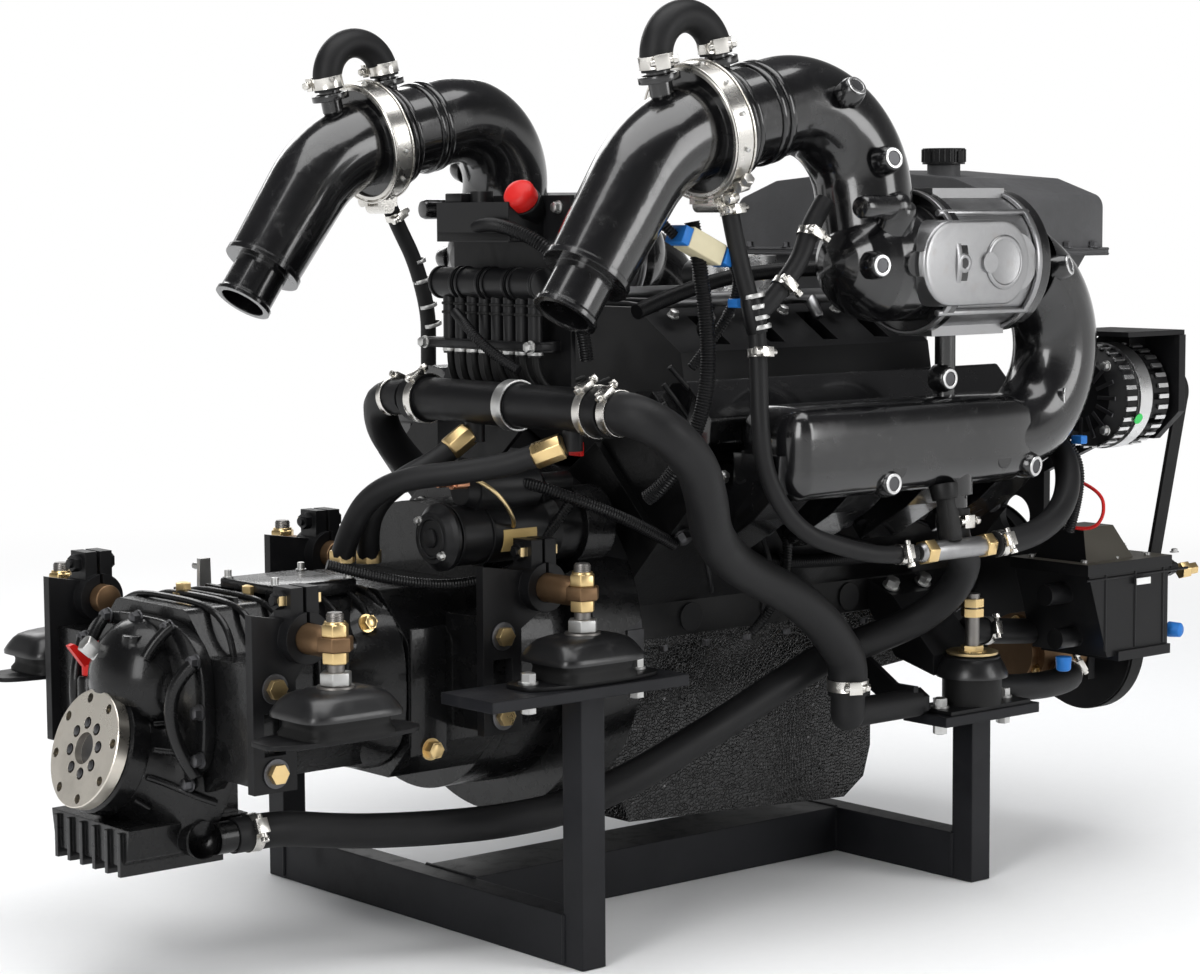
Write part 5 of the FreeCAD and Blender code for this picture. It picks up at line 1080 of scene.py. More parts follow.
@dataclass
class Studio:
    """The camera, the lamps, the white surround and the pale floor."""

    spot: tuple[float, float, float] = (-2.2315, -2.6057, 0.8173)
    yaw: float = 40.064
    pitch: float = 5.624
    roll: float = -0.339
    lens: float = 85.44
    floor_half: float = 14.0

    def camera(self) -> None:
        """Sets the camera at the photograph's place."""
        yaw, pitch, roll = (math.radians(a) for a in (self.yaw, self.pitch, self.roll))
        ahead = Vector((math.sin(yaw) * math.cos(pitch), math.cos(yaw) * math.cos(pitch),
            -math.sin(pitch)))
        right = Vector((math.cos(yaw), -math.sin(yaw), 0.0))
        above = right.cross(ahead)
        right, above = (right * math.cos(roll) + above * math.sin(roll),
            above * math.cos(roll) - right * math.sin(roll))
        data = bpy.data.cameras.new("camera")
        data.lens = self.lens
        data.sensor_fit = "HORIZONTAL"
        data.sensor_width = 36.0
        data.clip_end = 60.0
        thing = bpy.data.objects.new("camera", data)
        turn = Matrix((right, above, -ahead)).transposed().to_4x4()
        thing.matrix_world = Matrix.Translation(self.spot) @ turn
        bpy.context.scene.collection.objects.link(thing)
        bpy.context.scene.camera = thing

    def lamp(self, name: str, spot: Point, target: Point, size: tuple[float, float],
            watts: float) -> None:
        """Adds a rectangular soft lamp.

        Args:
            name: The lamp's name.
            spot: Its place.
            target: The place that it faces.
            size: Its width and height.
            watts: Its power.
        """
        data = bpy.data.lights.new(name, "AREA")
        data.shape = "RECTANGLE"
        data.size, data.size_y = size
        data.energy = watts
        thing = bpy.data.objects.new(name, data)
        thing.location = spot
        thing.rotation_euler = (Vector(target) - Vector(spot)).to_track_quat("-Z", "Y").to_euler()
        bpy.context.scene.collection.objects.link(thing)

    def world(self) -> None:
        """Makes the surround white where it is seen and dimmer where it lights."""
        scene = bpy.context.scene
        scene.world = bpy.data.worlds.new("surround")
        scene.world.use_nodes = True
        tree = scene.world.node_tree
        tree.nodes.clear()
        out = tree.nodes.new("ShaderNodeOutputWorld")
        seen = tree.nodes.new("ShaderNodeBackground")
        seen.inputs["Color"].default_value = (1, 1, 1, 1)
        mirrored = tree.nodes.new("ShaderNodeBackground")
        light = tree.nodes.new("ShaderNodeBackground")
        light.inputs["Color"].default_value = (0.95, 0.97, 1.0, 1)
        light.inputs["Strength"].default_value = 0.42
        place = tree.nodes.new("ShaderNodeTexCoord")
        parts = tree.nodes.new("ShaderNodeSeparateXYZ")
        ramp = tree.nodes.new("ShaderNodeValToRGB")
        stops = ramp.color_ramp.elements
        stops[0].position, stops[0].color = 0.0, (0.75, 0.75, 0.75, 1)
        stops[1].position, stops[1].color = 1.0, (0.12, 0.12, 0.13, 1)
        for position, level in ((0.46, 0.9), (0.54, 0.85), (0.62, 0.22), (0.75, 0.10)):
            stop = stops.new(position)
            stop.color = (level, level, level, 1)
        shift = tree.nodes.new("ShaderNodeMapRange")
        shift.inputs["From Min"].default_value = -1.0
        tree.links.new(place.outputs["Generated"], parts.inputs[0])
        tree.links.new(parts.outputs["Z"], shift.inputs["Value"])
        tree.links.new(shift.outputs["Result"], ramp.inputs[0])
        tree.links.new(ramp.outputs[0], mirrored.inputs["Color"])
        path = tree.nodes.new("ShaderNodeLightPath")
        first = tree.nodes.new("ShaderNodeMixShader")
        second = tree.nodes.new("ShaderNodeMixShader")
        either = tree.nodes.new("ShaderNodeMath")
        either.operation = "MAXIMUM"
        tree.links.new(path.outputs["Is Glossy Ray"], either.inputs[0])
        tree.links.new(path.outputs["Is Transmission Ray"], either.inputs[1])
        tree.links.new(either.outputs[0], first.inputs[0])
        tree.links.new(light.outputs[0], first.inputs[1])
        tree.links.new(mirrored.outputs[0], first.inputs[2])
        tree.links.new(path.outputs["Is Camera Ray"], second.inputs[0])
        tree.links.new(first.outputs[0], second.inputs[1])
        tree.links.new(seen.outputs[0], second.inputs[2])
        tree.links.new(second.outputs[0], out.inputs["Surface"])

    def floor(self) -> None:
        """Lays a pale floor that keeps the shadow and fades to white."""
        surface = Surface("pale_floor")
        side, ahead = surface.axis(surface.place, 0), surface.axis(surface.place, 1)
        far = ((side * side + ahead * ahead) ** 0.5).step(1.3, 4.2)
        grain = surface.noise(60, 2) * 0.02 + 0.88
        tone = surface.add("ShaderNodeCombineColor", None, {0: grain, 1: grain, 2: grain})
        matt = surface.add("ShaderNodeBsdfDiffuse", None, {"Color": tone.outputs[0]})
        white = surface.add("ShaderNodeEmission", None, {"Color": (1.0, 1.0, 1.0), "Strength": 1.0})
        mix = surface.add("ShaderNodeMixShader", None, {0: far, 1: matt.outputs[0],
            2: white.outputs[0]})
        out = surface.add("ShaderNodeOutputMaterial")
        surface.tree.links.new(mix.outputs[0], out.inputs["Surface"])
        shape = bmesh.new()
        half = self.floor_half
        shape.faces.new([shape.verts.new(p) for p in ((-half, -half, -0.001), (half, -half, -0.001),
            (half, half, -0.001), (-half, half, -0.001))])
        data = bpy.data.meshes.new("floor")
        shape.to_mesh(data)
        shape.free()
        data.materials.append(surface.material)
        thing = bpy.data.objects.new("floor", data)
        bpy.context.scene.collection.objects.link(thing)

    def build(self) -> None:
        """Builds the studio."""
        self.camera()
        self.world()
        self.floor()
        middle = (0.0, 0.0, 0.5)
        self.lamp("overhead", (-0.3, -0.4, 3.4), middle, (3.4, 2.4), 92.0)
        self.lamp("front_left", (-3.4, -1.6, 1.9), middle, (1.2, 2.4), 62.0)
        self.lamp("front_right", (1.6, -3.6, 1.6), middle, (1.4, 2.2), 50.0)
        self.lamp("back_rim", (1.2, 3.2, 2.4), middle, (2.6, 1.6), 45.0)
        scene = bpy.context.scene
        scene.view_settings.view_transform = "Standard"
        LOG.info("studio ready")


# Stand and mounts


@dataclass
class Stand:
    """The welded square-tube stand."""

    leg_side: float = 306.0
    leg_across: float = 286.0
    half: float = 16.0
    rail: float = 56.0
    bead: float = 2.6

    def build(self) -> None:
        """Dresses the stand and lays its weld beads and pad bolts."""
        dress("stand_frame", STAND_BLACK)
        shape = Draft()
        for sx in (-1, 1):
            for sy in (-1, 1):
                y = sy * (self.leg_across - self.half)
                x = sx * self.leg_side
                shape.tube([(x - self.half, y, 3), (x - self.half, y, self.rail)], self.bead, 8)
                shape.tube([(x + self.half, y, 3), (x + self.half, y, self.rail)], self.bead, 8)
                shape.tube([(x - self.half, y, self.rail), (x + self.half, y, self.rail)], self.bead, 8)
        for sx in (-1, 1):
            x = sx * (self.leg_side - self.half)
            shape.tube([(x, -70, self.rail), (x, 20, self.rail)], self.bead, 8)
        carry(shape.end("stand_welds", STAND_BLACK))
        for name, head, drop, way in (("mount_foot_bolts", Head.HEX, 0, 1),
                ("mount_foot_nuts", Head.NUT, 17, -1)):
            row = Fasteners(name, ZINC, head)
            for sy in (-1, 1):
                for dx in (-75, 75):
                    row.at((-self.leg_side + dx, sy * self.leg_across, 317 - drop), (0, 0, way), 15)
                for dx in (-56, 56):
                    row.at((self.leg_side + dx, sy * self.leg_across, 217 - drop), (0, 0, way), 15)
            row.make()


class Corner(Enum):
    """The place of a mount along the engine."""

    AFT = "aft"
    MID = "mid"
    FRONT = "front"


@dataclass
class Mount:
    """One isolator with the bracket that it carries."""

    side: int
    place: Corner
    spot: tuple[float, float, float]
    eye: float = 95.0
    ring: float = 27.0

    @property
    def suffix(self) -> str:
        """The names' ending."""
        return ("stbd" if self.side < 0 else "port") + "_" + self.place.value

    def _reach(self, centre: Vector) -> float:
        """Returns a face's distance from the stud's axis."""
        return math.hypot(centre.x - self.spot[0], centre.y - self.spot[1])

    def _level(self, centre: Vector) -> float:
        """Returns a face's height over the mount's foot."""
        return centre.z - self.spot[2]

    def soft_box(self, half_x: float, half_y: float, level: float,
            power: float = 0.4) -> list[tuple[float, float, float]]:
        """Returns a level ring with rounded corners about the stud.

        Args:
            half_x: Half its length.
            half_y: Half its width.
            level: Its height over the mount's foot.
            power: The squareness, less for squarer corners.

        Returns:
            The points in millimetres.
        """
        x, y, z = self.spot
        return [(x + half_x * bulge(math.cos(a), power), y + half_y * bulge(math.sin(a), power),
            z + level) for a in around(64)]

    def base_plate(self) -> None:
        """Builds the base plate with its drawn-in ends."""
        x, y, z = self.spot
        outline = [(x + 93 * bulge(math.cos(a), 0.75), y + 36 * bulge(math.sin(a), 0.55), z)
            for a in around(64)]
        plate = Draft().slab(outline, (0, 0, 5))
        carry(plate.end("mount_plate_" + self.suffix, SATIN_BLACK, 0.8))

    def isolator(self) -> bpy.types.Object:
        """Builds the rubber foot and the round-shouldered dome over it."""
        rubber = Draft().loft([self.soft_box(*row) for row in ((54, 40, 4.6), (54, 40, 8), (50, 37, 13),
            (49.5, 36.5, 18), (52, 39, 24), (52, 39, 27))])
        carry(rubber.end("mount_rubber_" + self.suffix, SOFT_RUBBER))
        dome = Draft().loft([self.soft_box(*row) for row in ((57, 43, 23.5), (60, 46.5, 24),
            (60, 46.8, 28), (58, 45, 31.5), (55.5, 42, 36), (52, 38, 42, 0.45), (48, 34, 46, 0.5),
            (40, 28, 49, 0.55), (30, 24, 50.6, 0.7), (22, 21, 51, 0.95))])
        return carry(dome.end("mount_dome_" + self.suffix, DOME_BLACK))

    def rear(self) -> None:
        """Builds a rear isolator, its trunnion and its clamp bracket's finish."""
        x, y, z = self.spot
        inside = -self.side
        self.base_plate()
        dome = self.isolator()
        stud = Draft().lathe([(50, 0), (50, 20), (53, 19), (53, 9.2), (125, 8.8), (127, 7.5), (127, 0)],
            (x, y, z), (0, 0, 1), 40)
        carry(stud.end("mount_stud_" + self.suffix, STEEL_GREY))
        turns = Draft()
        for k in range(28):
            turns.lathe([(-0.7, 8.7), (0, 9.3), (0.7, 8.7)], (x, y, z + 70 + k * 2.0), (0, 0, 1), 24,
                closed=True)
        carry(turns.end("mount_thread_" + self.suffix, STEEL_GREY))
        low_nut = Draft().lathe([(53, 0), (53, 15.8), (54, 17), (66, 17), (67.2, 15.5), (67.2, 0)],
            (x, y, z), (0, 0, 1), 6)
        carry(low_nut.end("mount_lock_nut_" + self.suffix, ZINC, 0.8))
        nuts = Draft().lathe([(75, 0), (75, 13), (76, 14), (87, 14), (88, 13), (88, 0)], (x, y, z),
            (0, 0, 1), 6)
        nuts.lathe([(102, 0), (102, 13.4), (103, 14.4), (114, 14.4), (115.6, 13), (115.6, 0)],
            (x, y, z), (0, 0, 1), 6)
        nuts.lathe([(114, 0), (114, 12), (118, 11), (118, 0)], (x, y, z), (0, 0, 1), 32)
        carry(nuts.end("mount_eye_nuts_" + self.suffix, BRASS, 0.8))
        trunnion = Draft().lathe([(-7.5, 0), (-7.5, 18), (-6, 19.4), (6, 19.4), (7.5, 18), (7.5, 0)],
            (x, y, z + self.eye), (0, 0, 1), 6)
        reach = abs(y) - 168
        trunnion.lathe([(10, 0), (10, 13), (22, 15.8), (reach - 1, 15.8), (reach, 14.6), (reach, 0)],
            (x, y, z + self.eye), (0, inside, 0), 40)
        carry(trunnion.end("mount_trunnion_" + self.suffix, BRONZE, 0.7))
        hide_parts("mount_" + self.suffix)
        pinch = z + self.eye + self.ring + 12
        bolt_x = -650.0 if self.place is Corner.AFT else -356.0
        face = self.side * 211.0

        def head(c: Vector, n: Vector) -> bool:
            """Tells whether a face is on a clamp bolt's head."""
            proud = (c.y * self.side) > 211.4 and abs(c.x - bolt_x) < 12
            return proud and (abs(c.z - (z - 42)) < 12 or abs(c.z - (z + 45)) < 12)

        dress("bracket_" + self.suffix, SATIN_BLACK, Zone(BRASS, head),
            Zone(YELLOW_ZINC, lambda c, n: abs(c.z - pinch) < 10.5 and (c.x < x - 17.2 or c.x > x
            + 17.2) and abs(c.y) > 211))
        rings("bracket_washers_" + self.suffix, DARK_STEEL, [((bolt_x, face, z - 42 + rise),
            (0, self.side, 0), 4, 2.2) for rise in (0, 87)], thick=11.5)

    def front(self) -> None:
        """Dresses a front mount and its bracket."""
        dress("mount_" + self.suffix, SATIN_BLACK, Zone(BRASS, lambda c,
            n: self._level(c) > 108 and self._reach(c) > 9.3), Zone(YELLOW_ZINC, lambda c,
            n: 66 < self._level(c) < 82 and self._reach(c) > 9.3), Zone(STEEL_GREY, lambda c,
            n: self._level(c) > 66 and self._reach(c) < 10.5), Zone(BRONZE, lambda c,
            n: self._level(c) > 66), Zone(SOFT_RUBBER, lambda c, n: 5.2 < self._level(c) < 38.8))
        cone = Draft()
        x, y, z = self.spot
        cone.lathe([(38, 0), (38, 43.5), (42, 43.5), (50, 40), (56, 37), (62, 33), (65, 28), (65, 0)],
            (x, y, z), (0, 0, 1), 48)
        carry(cone.end("mount_cone_" + self.suffix, DOME_BLACK))
        ring = Draft().lathe([(64, 0), (64, 26), (65, 31), (68, 31.5), (69, 29), (67, 20), (67, 0)],
            (x, y, z), (0, 0, 1), 48)
        carry(ring.end("mount_dish_" + self.suffix, YELLOW_ZINC))
        dress("bracket_" + self.suffix, SATIN_BLACK)
        bolts = Fasteners("bracket_bolts_" + self.suffix, ZINC)
        for dx in (-28, 28):
            bolts.at((self.spot[0] + dx, self.side * 176, 350), (0, self.side * 0.5, 0.86), 15)
        bolts.make()

    def build(self) -> None:
        """Builds the mount's looks."""
        if self.place is Corner.FRONT:
            self.front()
        else:
            self.rear()


def mounts() -> list[Mount]:
    """Returns all six mounts."""
    found = []
    for side in (-1, 1):
        found.append(Mount(side, Corner.AFT, (-618, side * 274, 288)))
        found.append(Mount(side, Corner.MID, (-306, side * 286, 312)))
        found.append(Mount(side, Corner.FRONT, (306, side * 286, 212)))
    return found


# Gearbox


@dataclass
class Gearbox:
    """The reversing gearbox from its bell to the output flange."""

    tilt: float = 18.0
    face: tuple[float, float, float] = (-750.0, 0.0, 255.0)

    def aim(self) -> Vector:
        """Returns the output flange's outward way."""
        lean = math.radians(self.tilt)
        return Vector((-math.cos(lean), 0.0, math.sin(lean)))

    def round_face(self, radius: float, angle: float, along: float) -> Vector:
        """Returns a point on the tilted face.

        Args:
            radius: The distance from the axis.
            angle: The angle round the axis in degrees.
            along: The distance outwards from the face.

        Returns:
            The point in millimetres.
        """
        aim = self.aim()
        up = Vector((math.sin(math.radians(self.tilt)), 0, math.cos(math.radians(self.tilt))))
        side = Vector((0.0, 1.0, 0.0))
        a = math.radians(angle)
        return (Vector(self.face) + aim * along + (side * math.cos(a) + up * math.sin(a)) * radius)

    def flange(self) -> None:
        """Dresses the flange and fits its screws."""
        aim = self.aim()
        centre = Vector(self.face)

        def along(c: Vector) -> float:
            """Returns a face's distance outwards along the axis."""
            return (c - centre).dot(aim)

        def reach(c: Vector) -> float:
            """Returns a face's distance from the axis."""
            return ((c - centre) - aim * along(c)).length

        dress("output_flange", GEARBOX_BLACK, Zone(DARK_STEEL, lambda c,
            n: along(c) > -13.9 and reach(c) < 36 and along(c) < -7), Zone(MACHINED, lambda c,
            n: along(c) > -14.2))
        sockets = Fasteners("flange_screws", DARK_STEEL, Head.SOCKET, 1.02)
        for i in range(8):
            sockets.at(self.round_face(27, 34.5 + i * 45, -8.9), aim, 9.0)
        sockets.make("gearbox_output")
        backs = Fasteners("coupling_bolts", DARK_STEEL)
        for i in range(8):
            backs.at(self.round_face(58, 12 + i * 45, -38.0), -aim, 10.0)
        backs.make("gearbox_output")

    def casing(self) -> None:
        """Dresses the casings and lays ribs and bolts on them."""
        dress("gearbox_case", GEARBOX_BLACK)
        dress("gearbox_tail_case", GEARBOX_BLACK)
        dress("gearbox_oil_pan", GEARBOX_BLACK)
        dress("gearbox_dipstick", RED)
        dress("shift_lever", ZINC)
        self.tail()
        bolts = Fasteners("tail_bolts", DARK_STEEL)
        for y, z in ((-112, 352), (-118, 300), (-118, 250), (-62, 382), (0, 386), (62, 382), (112, 352),
                (118, 300), (118, 250), (-96, 222), (96, 222)):
            bolts.at((-680, y, z), (-1, 0, 0), 12)
        bolts.make()
        seam = Fasteners("bell_bolts", YELLOW_ZINC)
        for i in range(12):
            a = math.radians(15 + 30 * i)
            seam.at((-300, 156 * math.cos(a), 320 + 156 * math.sin(a)), (-1, 0, 0), 12)
        seam.make()
        self.case_ribs()
        plate = Draft().slab([(-436, -140, 330), (-436, -96, 356), (-436, -96, 390), (-436, -140, 360)],
            (-2, 0, 0))
        carry(plate.end("case_bare_plate", GEARBOX_BLACK, 0.5))
        fittings = Fasteners("case_plugs", BRASS)
        fittings.at((-410, -150.5, 232), (0, -1, 0), 17)
        fittings.at((-470, -118.5, 372), (0, -1, 0.3), 14)
        fittings.at((-560, -30, 400), (0, 0, 1), 16)
        fittings.at((-600, 40, 400), (0, 0, 1), 16)
        fittings.make()

    def tail(self) -> None:
        """Builds the round tail casing with its plate, ribs and top neck."""
        shell = Draft().lathe([(-38.6, 0), (-38.6, 62), (-40, 64), (-50, 65), (-58, 69), (-70, 78),
            (-84, 92), (-96, 102), (-108, 107), (-122, 107), (-122, 0)], self.face, self.aim(), 72)
        outline = [(-664.6, 124 * bulge(math.cos(a), 0.62), 301 + 88 * bulge(math.sin(a), 0.62))
            for a in around(72)]
        plate = Draft().slab(outline, (-15, 0, 0))
        piece = carry(shell.end("tail_shell", GEARBOX_BLACK, 0.8))
        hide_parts("gearbox_tail_case")
        carry(plate.end("tail_plate", GEARBOX_BLACK, 2.0, segments=3))
        ribs = Draft()
        for i in range(14):
            angle = 12 + i * 360 / 14
            path = [self.round_face(65, angle, -44), self.round_face(74, angle, -60),
                self.round_face(88, angle, -74), self.round_face(104, angle, -90),
                self.round_face(111, angle, -106)]
            path = [p for p in path if p.z > 192]
            if len(path) > 1:
                ribs.tube(path, 3.6, 10)
        carry(ribs.end("tail_ribs", GEARBOX_BLACK))
        dome = Draft().lathe([(-4, 66), (12, 64), (26, 58), (38, 48), (48, 34), (54, 18), (56, 0)],
            (-676, 0, 322), (-1, 0, 0.12), 56)
        dome.lathe([(0, 0), (0, 17), (30, 15), (44, 12), (46, 12), (46, 0)], (-700, -22, 326),
            (0, 0, 1), 36)
        dome.lathe([(0, 0), (0, 14), (86, 13), (90, 11), (90, 0)], (-700, 72, 228), (0, 0, 1), 36)
        carry(dome.end("tail_dome", GEARBOX_BLACK, 0.8))
        plug = Draft().lathe([(0, 0), (0, 10), (16, 10), (17, 9), (17, 0)], (-722, 20, 352),
            (-0.75, 0.1, 0.66), 6)
        plug.lathe([(-14, 0), (-14, 9), (0, 9), (0, 0)], (-722, 20, 352), (-0.75, 0.1, 0.66), 28)
        carry(plug.end("tail_plug", ZINC, 0.6))
        swirl = Draft()
        for side in (-1, 1):
            swell = smooth_line([(-684, side * 112, 350), (-698, side * 100, 332),
                (-704, side * 96, 300), (-698, side * 100, 262), (-682, side * 108, 232)])
            swirl.tube(swell, 7.5, 14)
            swirl.tube(smooth_line([(-680, side * 66, 384), (-696, side * 60, 372),
                (-708, side * 58, 352)]), 6.5, 14)
        carry(swirl.end("tail_swells", GEARBOX_BLACK))

    def case_ribs(self) -> None:
        """Lays arched ribs over the case, a barrel at its front and side panels."""
        arches = Draft()
        for x, grow in ((-442, 7), (-462, 5), (-498, 3), (-534, 3), (-570, 3), (-606, 3), (-640, 5)):
            path = []
            for k in range(41):
                a = math.radians(-30 + 240 * k / 40)
                y = (118 + grow) * bulge(math.cos(a), 0.55)
                z = 308 + (92 + grow * 0.9) * bulge(math.sin(a), 0.55)
                beside_lever = -600 < x < -440 and y > 104 and z > 250
                if not beside_lever:
                    path.append((x, y, z))
            arches.tube(path, 3.6, 8)
        carry(arches.end("case_arches", GEARBOX_BLACK))
        barrel = Draft().loft([[(x, half * bulge(math.cos(a), 0.7), 302 + (half - 46)
            * bulge(math.sin(a), 0.7)) for a in around(56)] for x, half in ((-440, 150), (-452, 146),
            (-466, 138), (-482, 128), (-494, 119))])
        carry(barrel.end("case_barrel", GEARBOX_BLACK))
        box = Draft()
        for side in (-1, 1):
            low, high = sorted((side * 149, side * 153))
            box.block((-436, low, 226), (-388, high, 366))
            box.block((-334, low, 236), (-318, high, 360))
        carry(box.end("case_side_panels", GEARBOX_BLACK, 1.6, segments=3))

    def valve_block(self) -> None:
        """Builds the shift valve's low cover on the case's top."""
        shape = Draft().block((-560, -78, 399), (-452, 30, 416))
        carry(shape.end("valve_block", GEARBOX_BLACK, 3.0, segments=3))
        bolts = Fasteners("valve_bolts", ZINC, Head.SOCKET)
        for x in (-554, -458):
            for y in (-70, 22):
                bolts.at((x, y, 416), (0, 0, 1), 8)
        bolts.make()

    def build(self) -> None:
        """Builds the gearbox's looks."""
        self.flange()
        self.casing()
        self.valve_block()
        WormClamp("gearbox_hose_clamp_aft", (-608, -98, 160), (1, 0, 0), 19.4, (0, -1, 0.5)).make()


# Engine body


@dataclass
class Engine:
    """The block, heads, covers, pan, housing and starter."""

    crank: float = 320.0

    def bank(self, side: int, height: float, across: float) -> tuple[float, float]:
        """Returns y and z of a point on a bank.

        Args:
            side: -1 for starboard and 1 for port.
            height: The distance along the bore's axis from the crankshaft.
            across: The distance across the bank, outwards positive.

        Returns:
            The y and z in millimetres.
        """
        half = math.sqrt(0.5)
        return side * (height + across) * half, self.crank + (height - across) * half

    def body(self) -> None:
        """Dresses the block and what is bolted to it."""
        dress("engine_block", ENGINE_BLACK, Zone(SATIN_BLACK, lambda c,
            n: abs(c.y) > 150.4 and abs(c.z - 340) < 18))
        dress("oil_pan", CRACKLE_BLACK, Zone(HOSE, lambda c, n: c.y < -262 and c.z < 252 and c.x < 196),
            Zone(SATIN_BLACK, lambda c, n: c.y < -150))
        dress("flywheel_housing", GEARBOX_BLACK, Zone(RAW_CASTING, lambda c,
            n: n.x > 0.5 or (c.x > -172 and abs(n.x) < 0.3 and math.hypot(c.y, c.z - 320) > 203)))
        dress("flywheel", RUSTY)
        dress("crankshaft", DARK_STEEL, Zone(SATIN_BLACK, lambda c, n: c.x > 610))
        for name, side in (("stbd", -1), ("port", 1)):
            dress("cylinder_head_" + name, ENGINE_BLACK)
            dress("valve_cover_" + name, GLOSS_ENAMEL)
            self.bank_details(name, side)

    def bank_details(self, name: str, side: int) -> None:
        """Lays one bank's bolts and cover ribs.

        Args:
            name: The bank's name.
            side: -1 for starboard and 1 for port.
        """
        half = math.sqrt(0.5)
        out = (0, side * half, -half)
        up = (0, side * half, half)
        bolts = Fasteners("head_bolts_" + name, DARK_STEEL)
        for i in range(9):
            y, z = self.bank(side, 262, 76)
            bolts.at((-122 + i * 64, y, z), out, 14)
        bolts.make()
        covers = Fasteners("cover_bolts_" + name, ZINC)
        for i in range(5):
            y, z = self.bank(side, 342, 15 + 49)
            covers.at((-104 + i * 123, y, z), up, 10)
        covers.make()
        ribs = Draft()
        for i in range(10):
            x = -88 + i * 51
            ya, za = self.bank(side, 350, 61)
            yb, zb = self.bank(side, 365, 60.5)
            yc, zc = self.bank(side, 376, 54)
            ribs.tube([(x, ya, za), (x, yb, zb), (x, yc, zc)], 2.2, 8)
        carry(ribs.end("cover_ribs_" + name, GLOSS_ENAMEL))

    def pan_bolts(self) -> None:
        """Lays the bolts of the pan rail and of the flywheel housing."""
        bolts = Fasteners("pan_bolts", DARK_STEEL)
        for side in (-1, 1):
            for i in range(9):
                bolts.at((-130 + i * 66, side * 141, 310), (0, 0, -1), 10)
        bolts.make()
        ring = Fasteners("housing_bolts", ZINC)
        for i in range(10):
            a = math.radians(-25 + i * 25.5)
            ring.at((-220, 186 * math.cos(a), 320 + 186 * math.sin(a)), (-1, 0, 0), 13)
        ring.make()

    def starter(self) -> None:
        """Dresses the starter with its caps, bands, label and terminals."""
        y, z = -150.0, 462.0
        dress("starter_motor", PLASTIC, Zone(COPPER, lambda c, n: c.x < -372 and c.z > 500
            and abs(c.y + 156) < 20), Zone(ENGINE_BLACK, lambda c, n: c.x > -258))
        start = -405.0
        rings("starter_bands", SATIN_BLACK, [((start + 18, y, z), (1, 0, 0), 33, 3),
            ((start + 60, y, z), (1, 0, 0), 33, 2.4)], thick=2.5)
        face = Draft().lathe([(0, 24), (-1.6, 23), (-1.6, 20), (0, 19)], (start, y, z), (1, 0, 0), 40,
            closed=True)
        face.lathe([(0, 11), (-3.5, 10), (-3.5, 0)], (start, y, z), (1, 0, 0), 32)
        carry(face.end("starter_cap", PLASTIC, 0.3))
        screws = Fasteners("starter_screws", ZINC)
        for a in (40, 220):
            screws.at((start, y + 27 * math.cos(math.radians(a)), z + 27 * math.sin(math.radians(a))),
                (-1, 0, 0), 7)
        screws.make()
        label = Draft()
        arc = [(a, y - 33.5 * math.cos(math.radians(a)), z + 33.5 * math.sin(math.radians(a)))
            for a in range(-34, 11, 4)]
        label.loft([[(start + 74, py, pz) for _, py, pz in arc] + [(start + 74, py + 1.2, pz) for _, py,
            pz in reversed(arc)], [(start + 120, py, pz) for _, py, pz in arc]
            + [(start + 120, py + 1.2, pz) for _, py, pz in reversed(arc)]])
        carry(label.end("starter_label", AMBER_LABEL))
        nuts = Fasteners("starter_nuts", COPPER, Head.NUT)
        for dy in (-12, 12):
            nuts.at((-386, -156 + dy, 524), (-1, 0, 0), 11)
        nuts.make()

    def build(self) -> None:
        """Builds the engine body's looks."""
        self.body()
        self.pan_bolts()
        self.starter()


# Exhaust


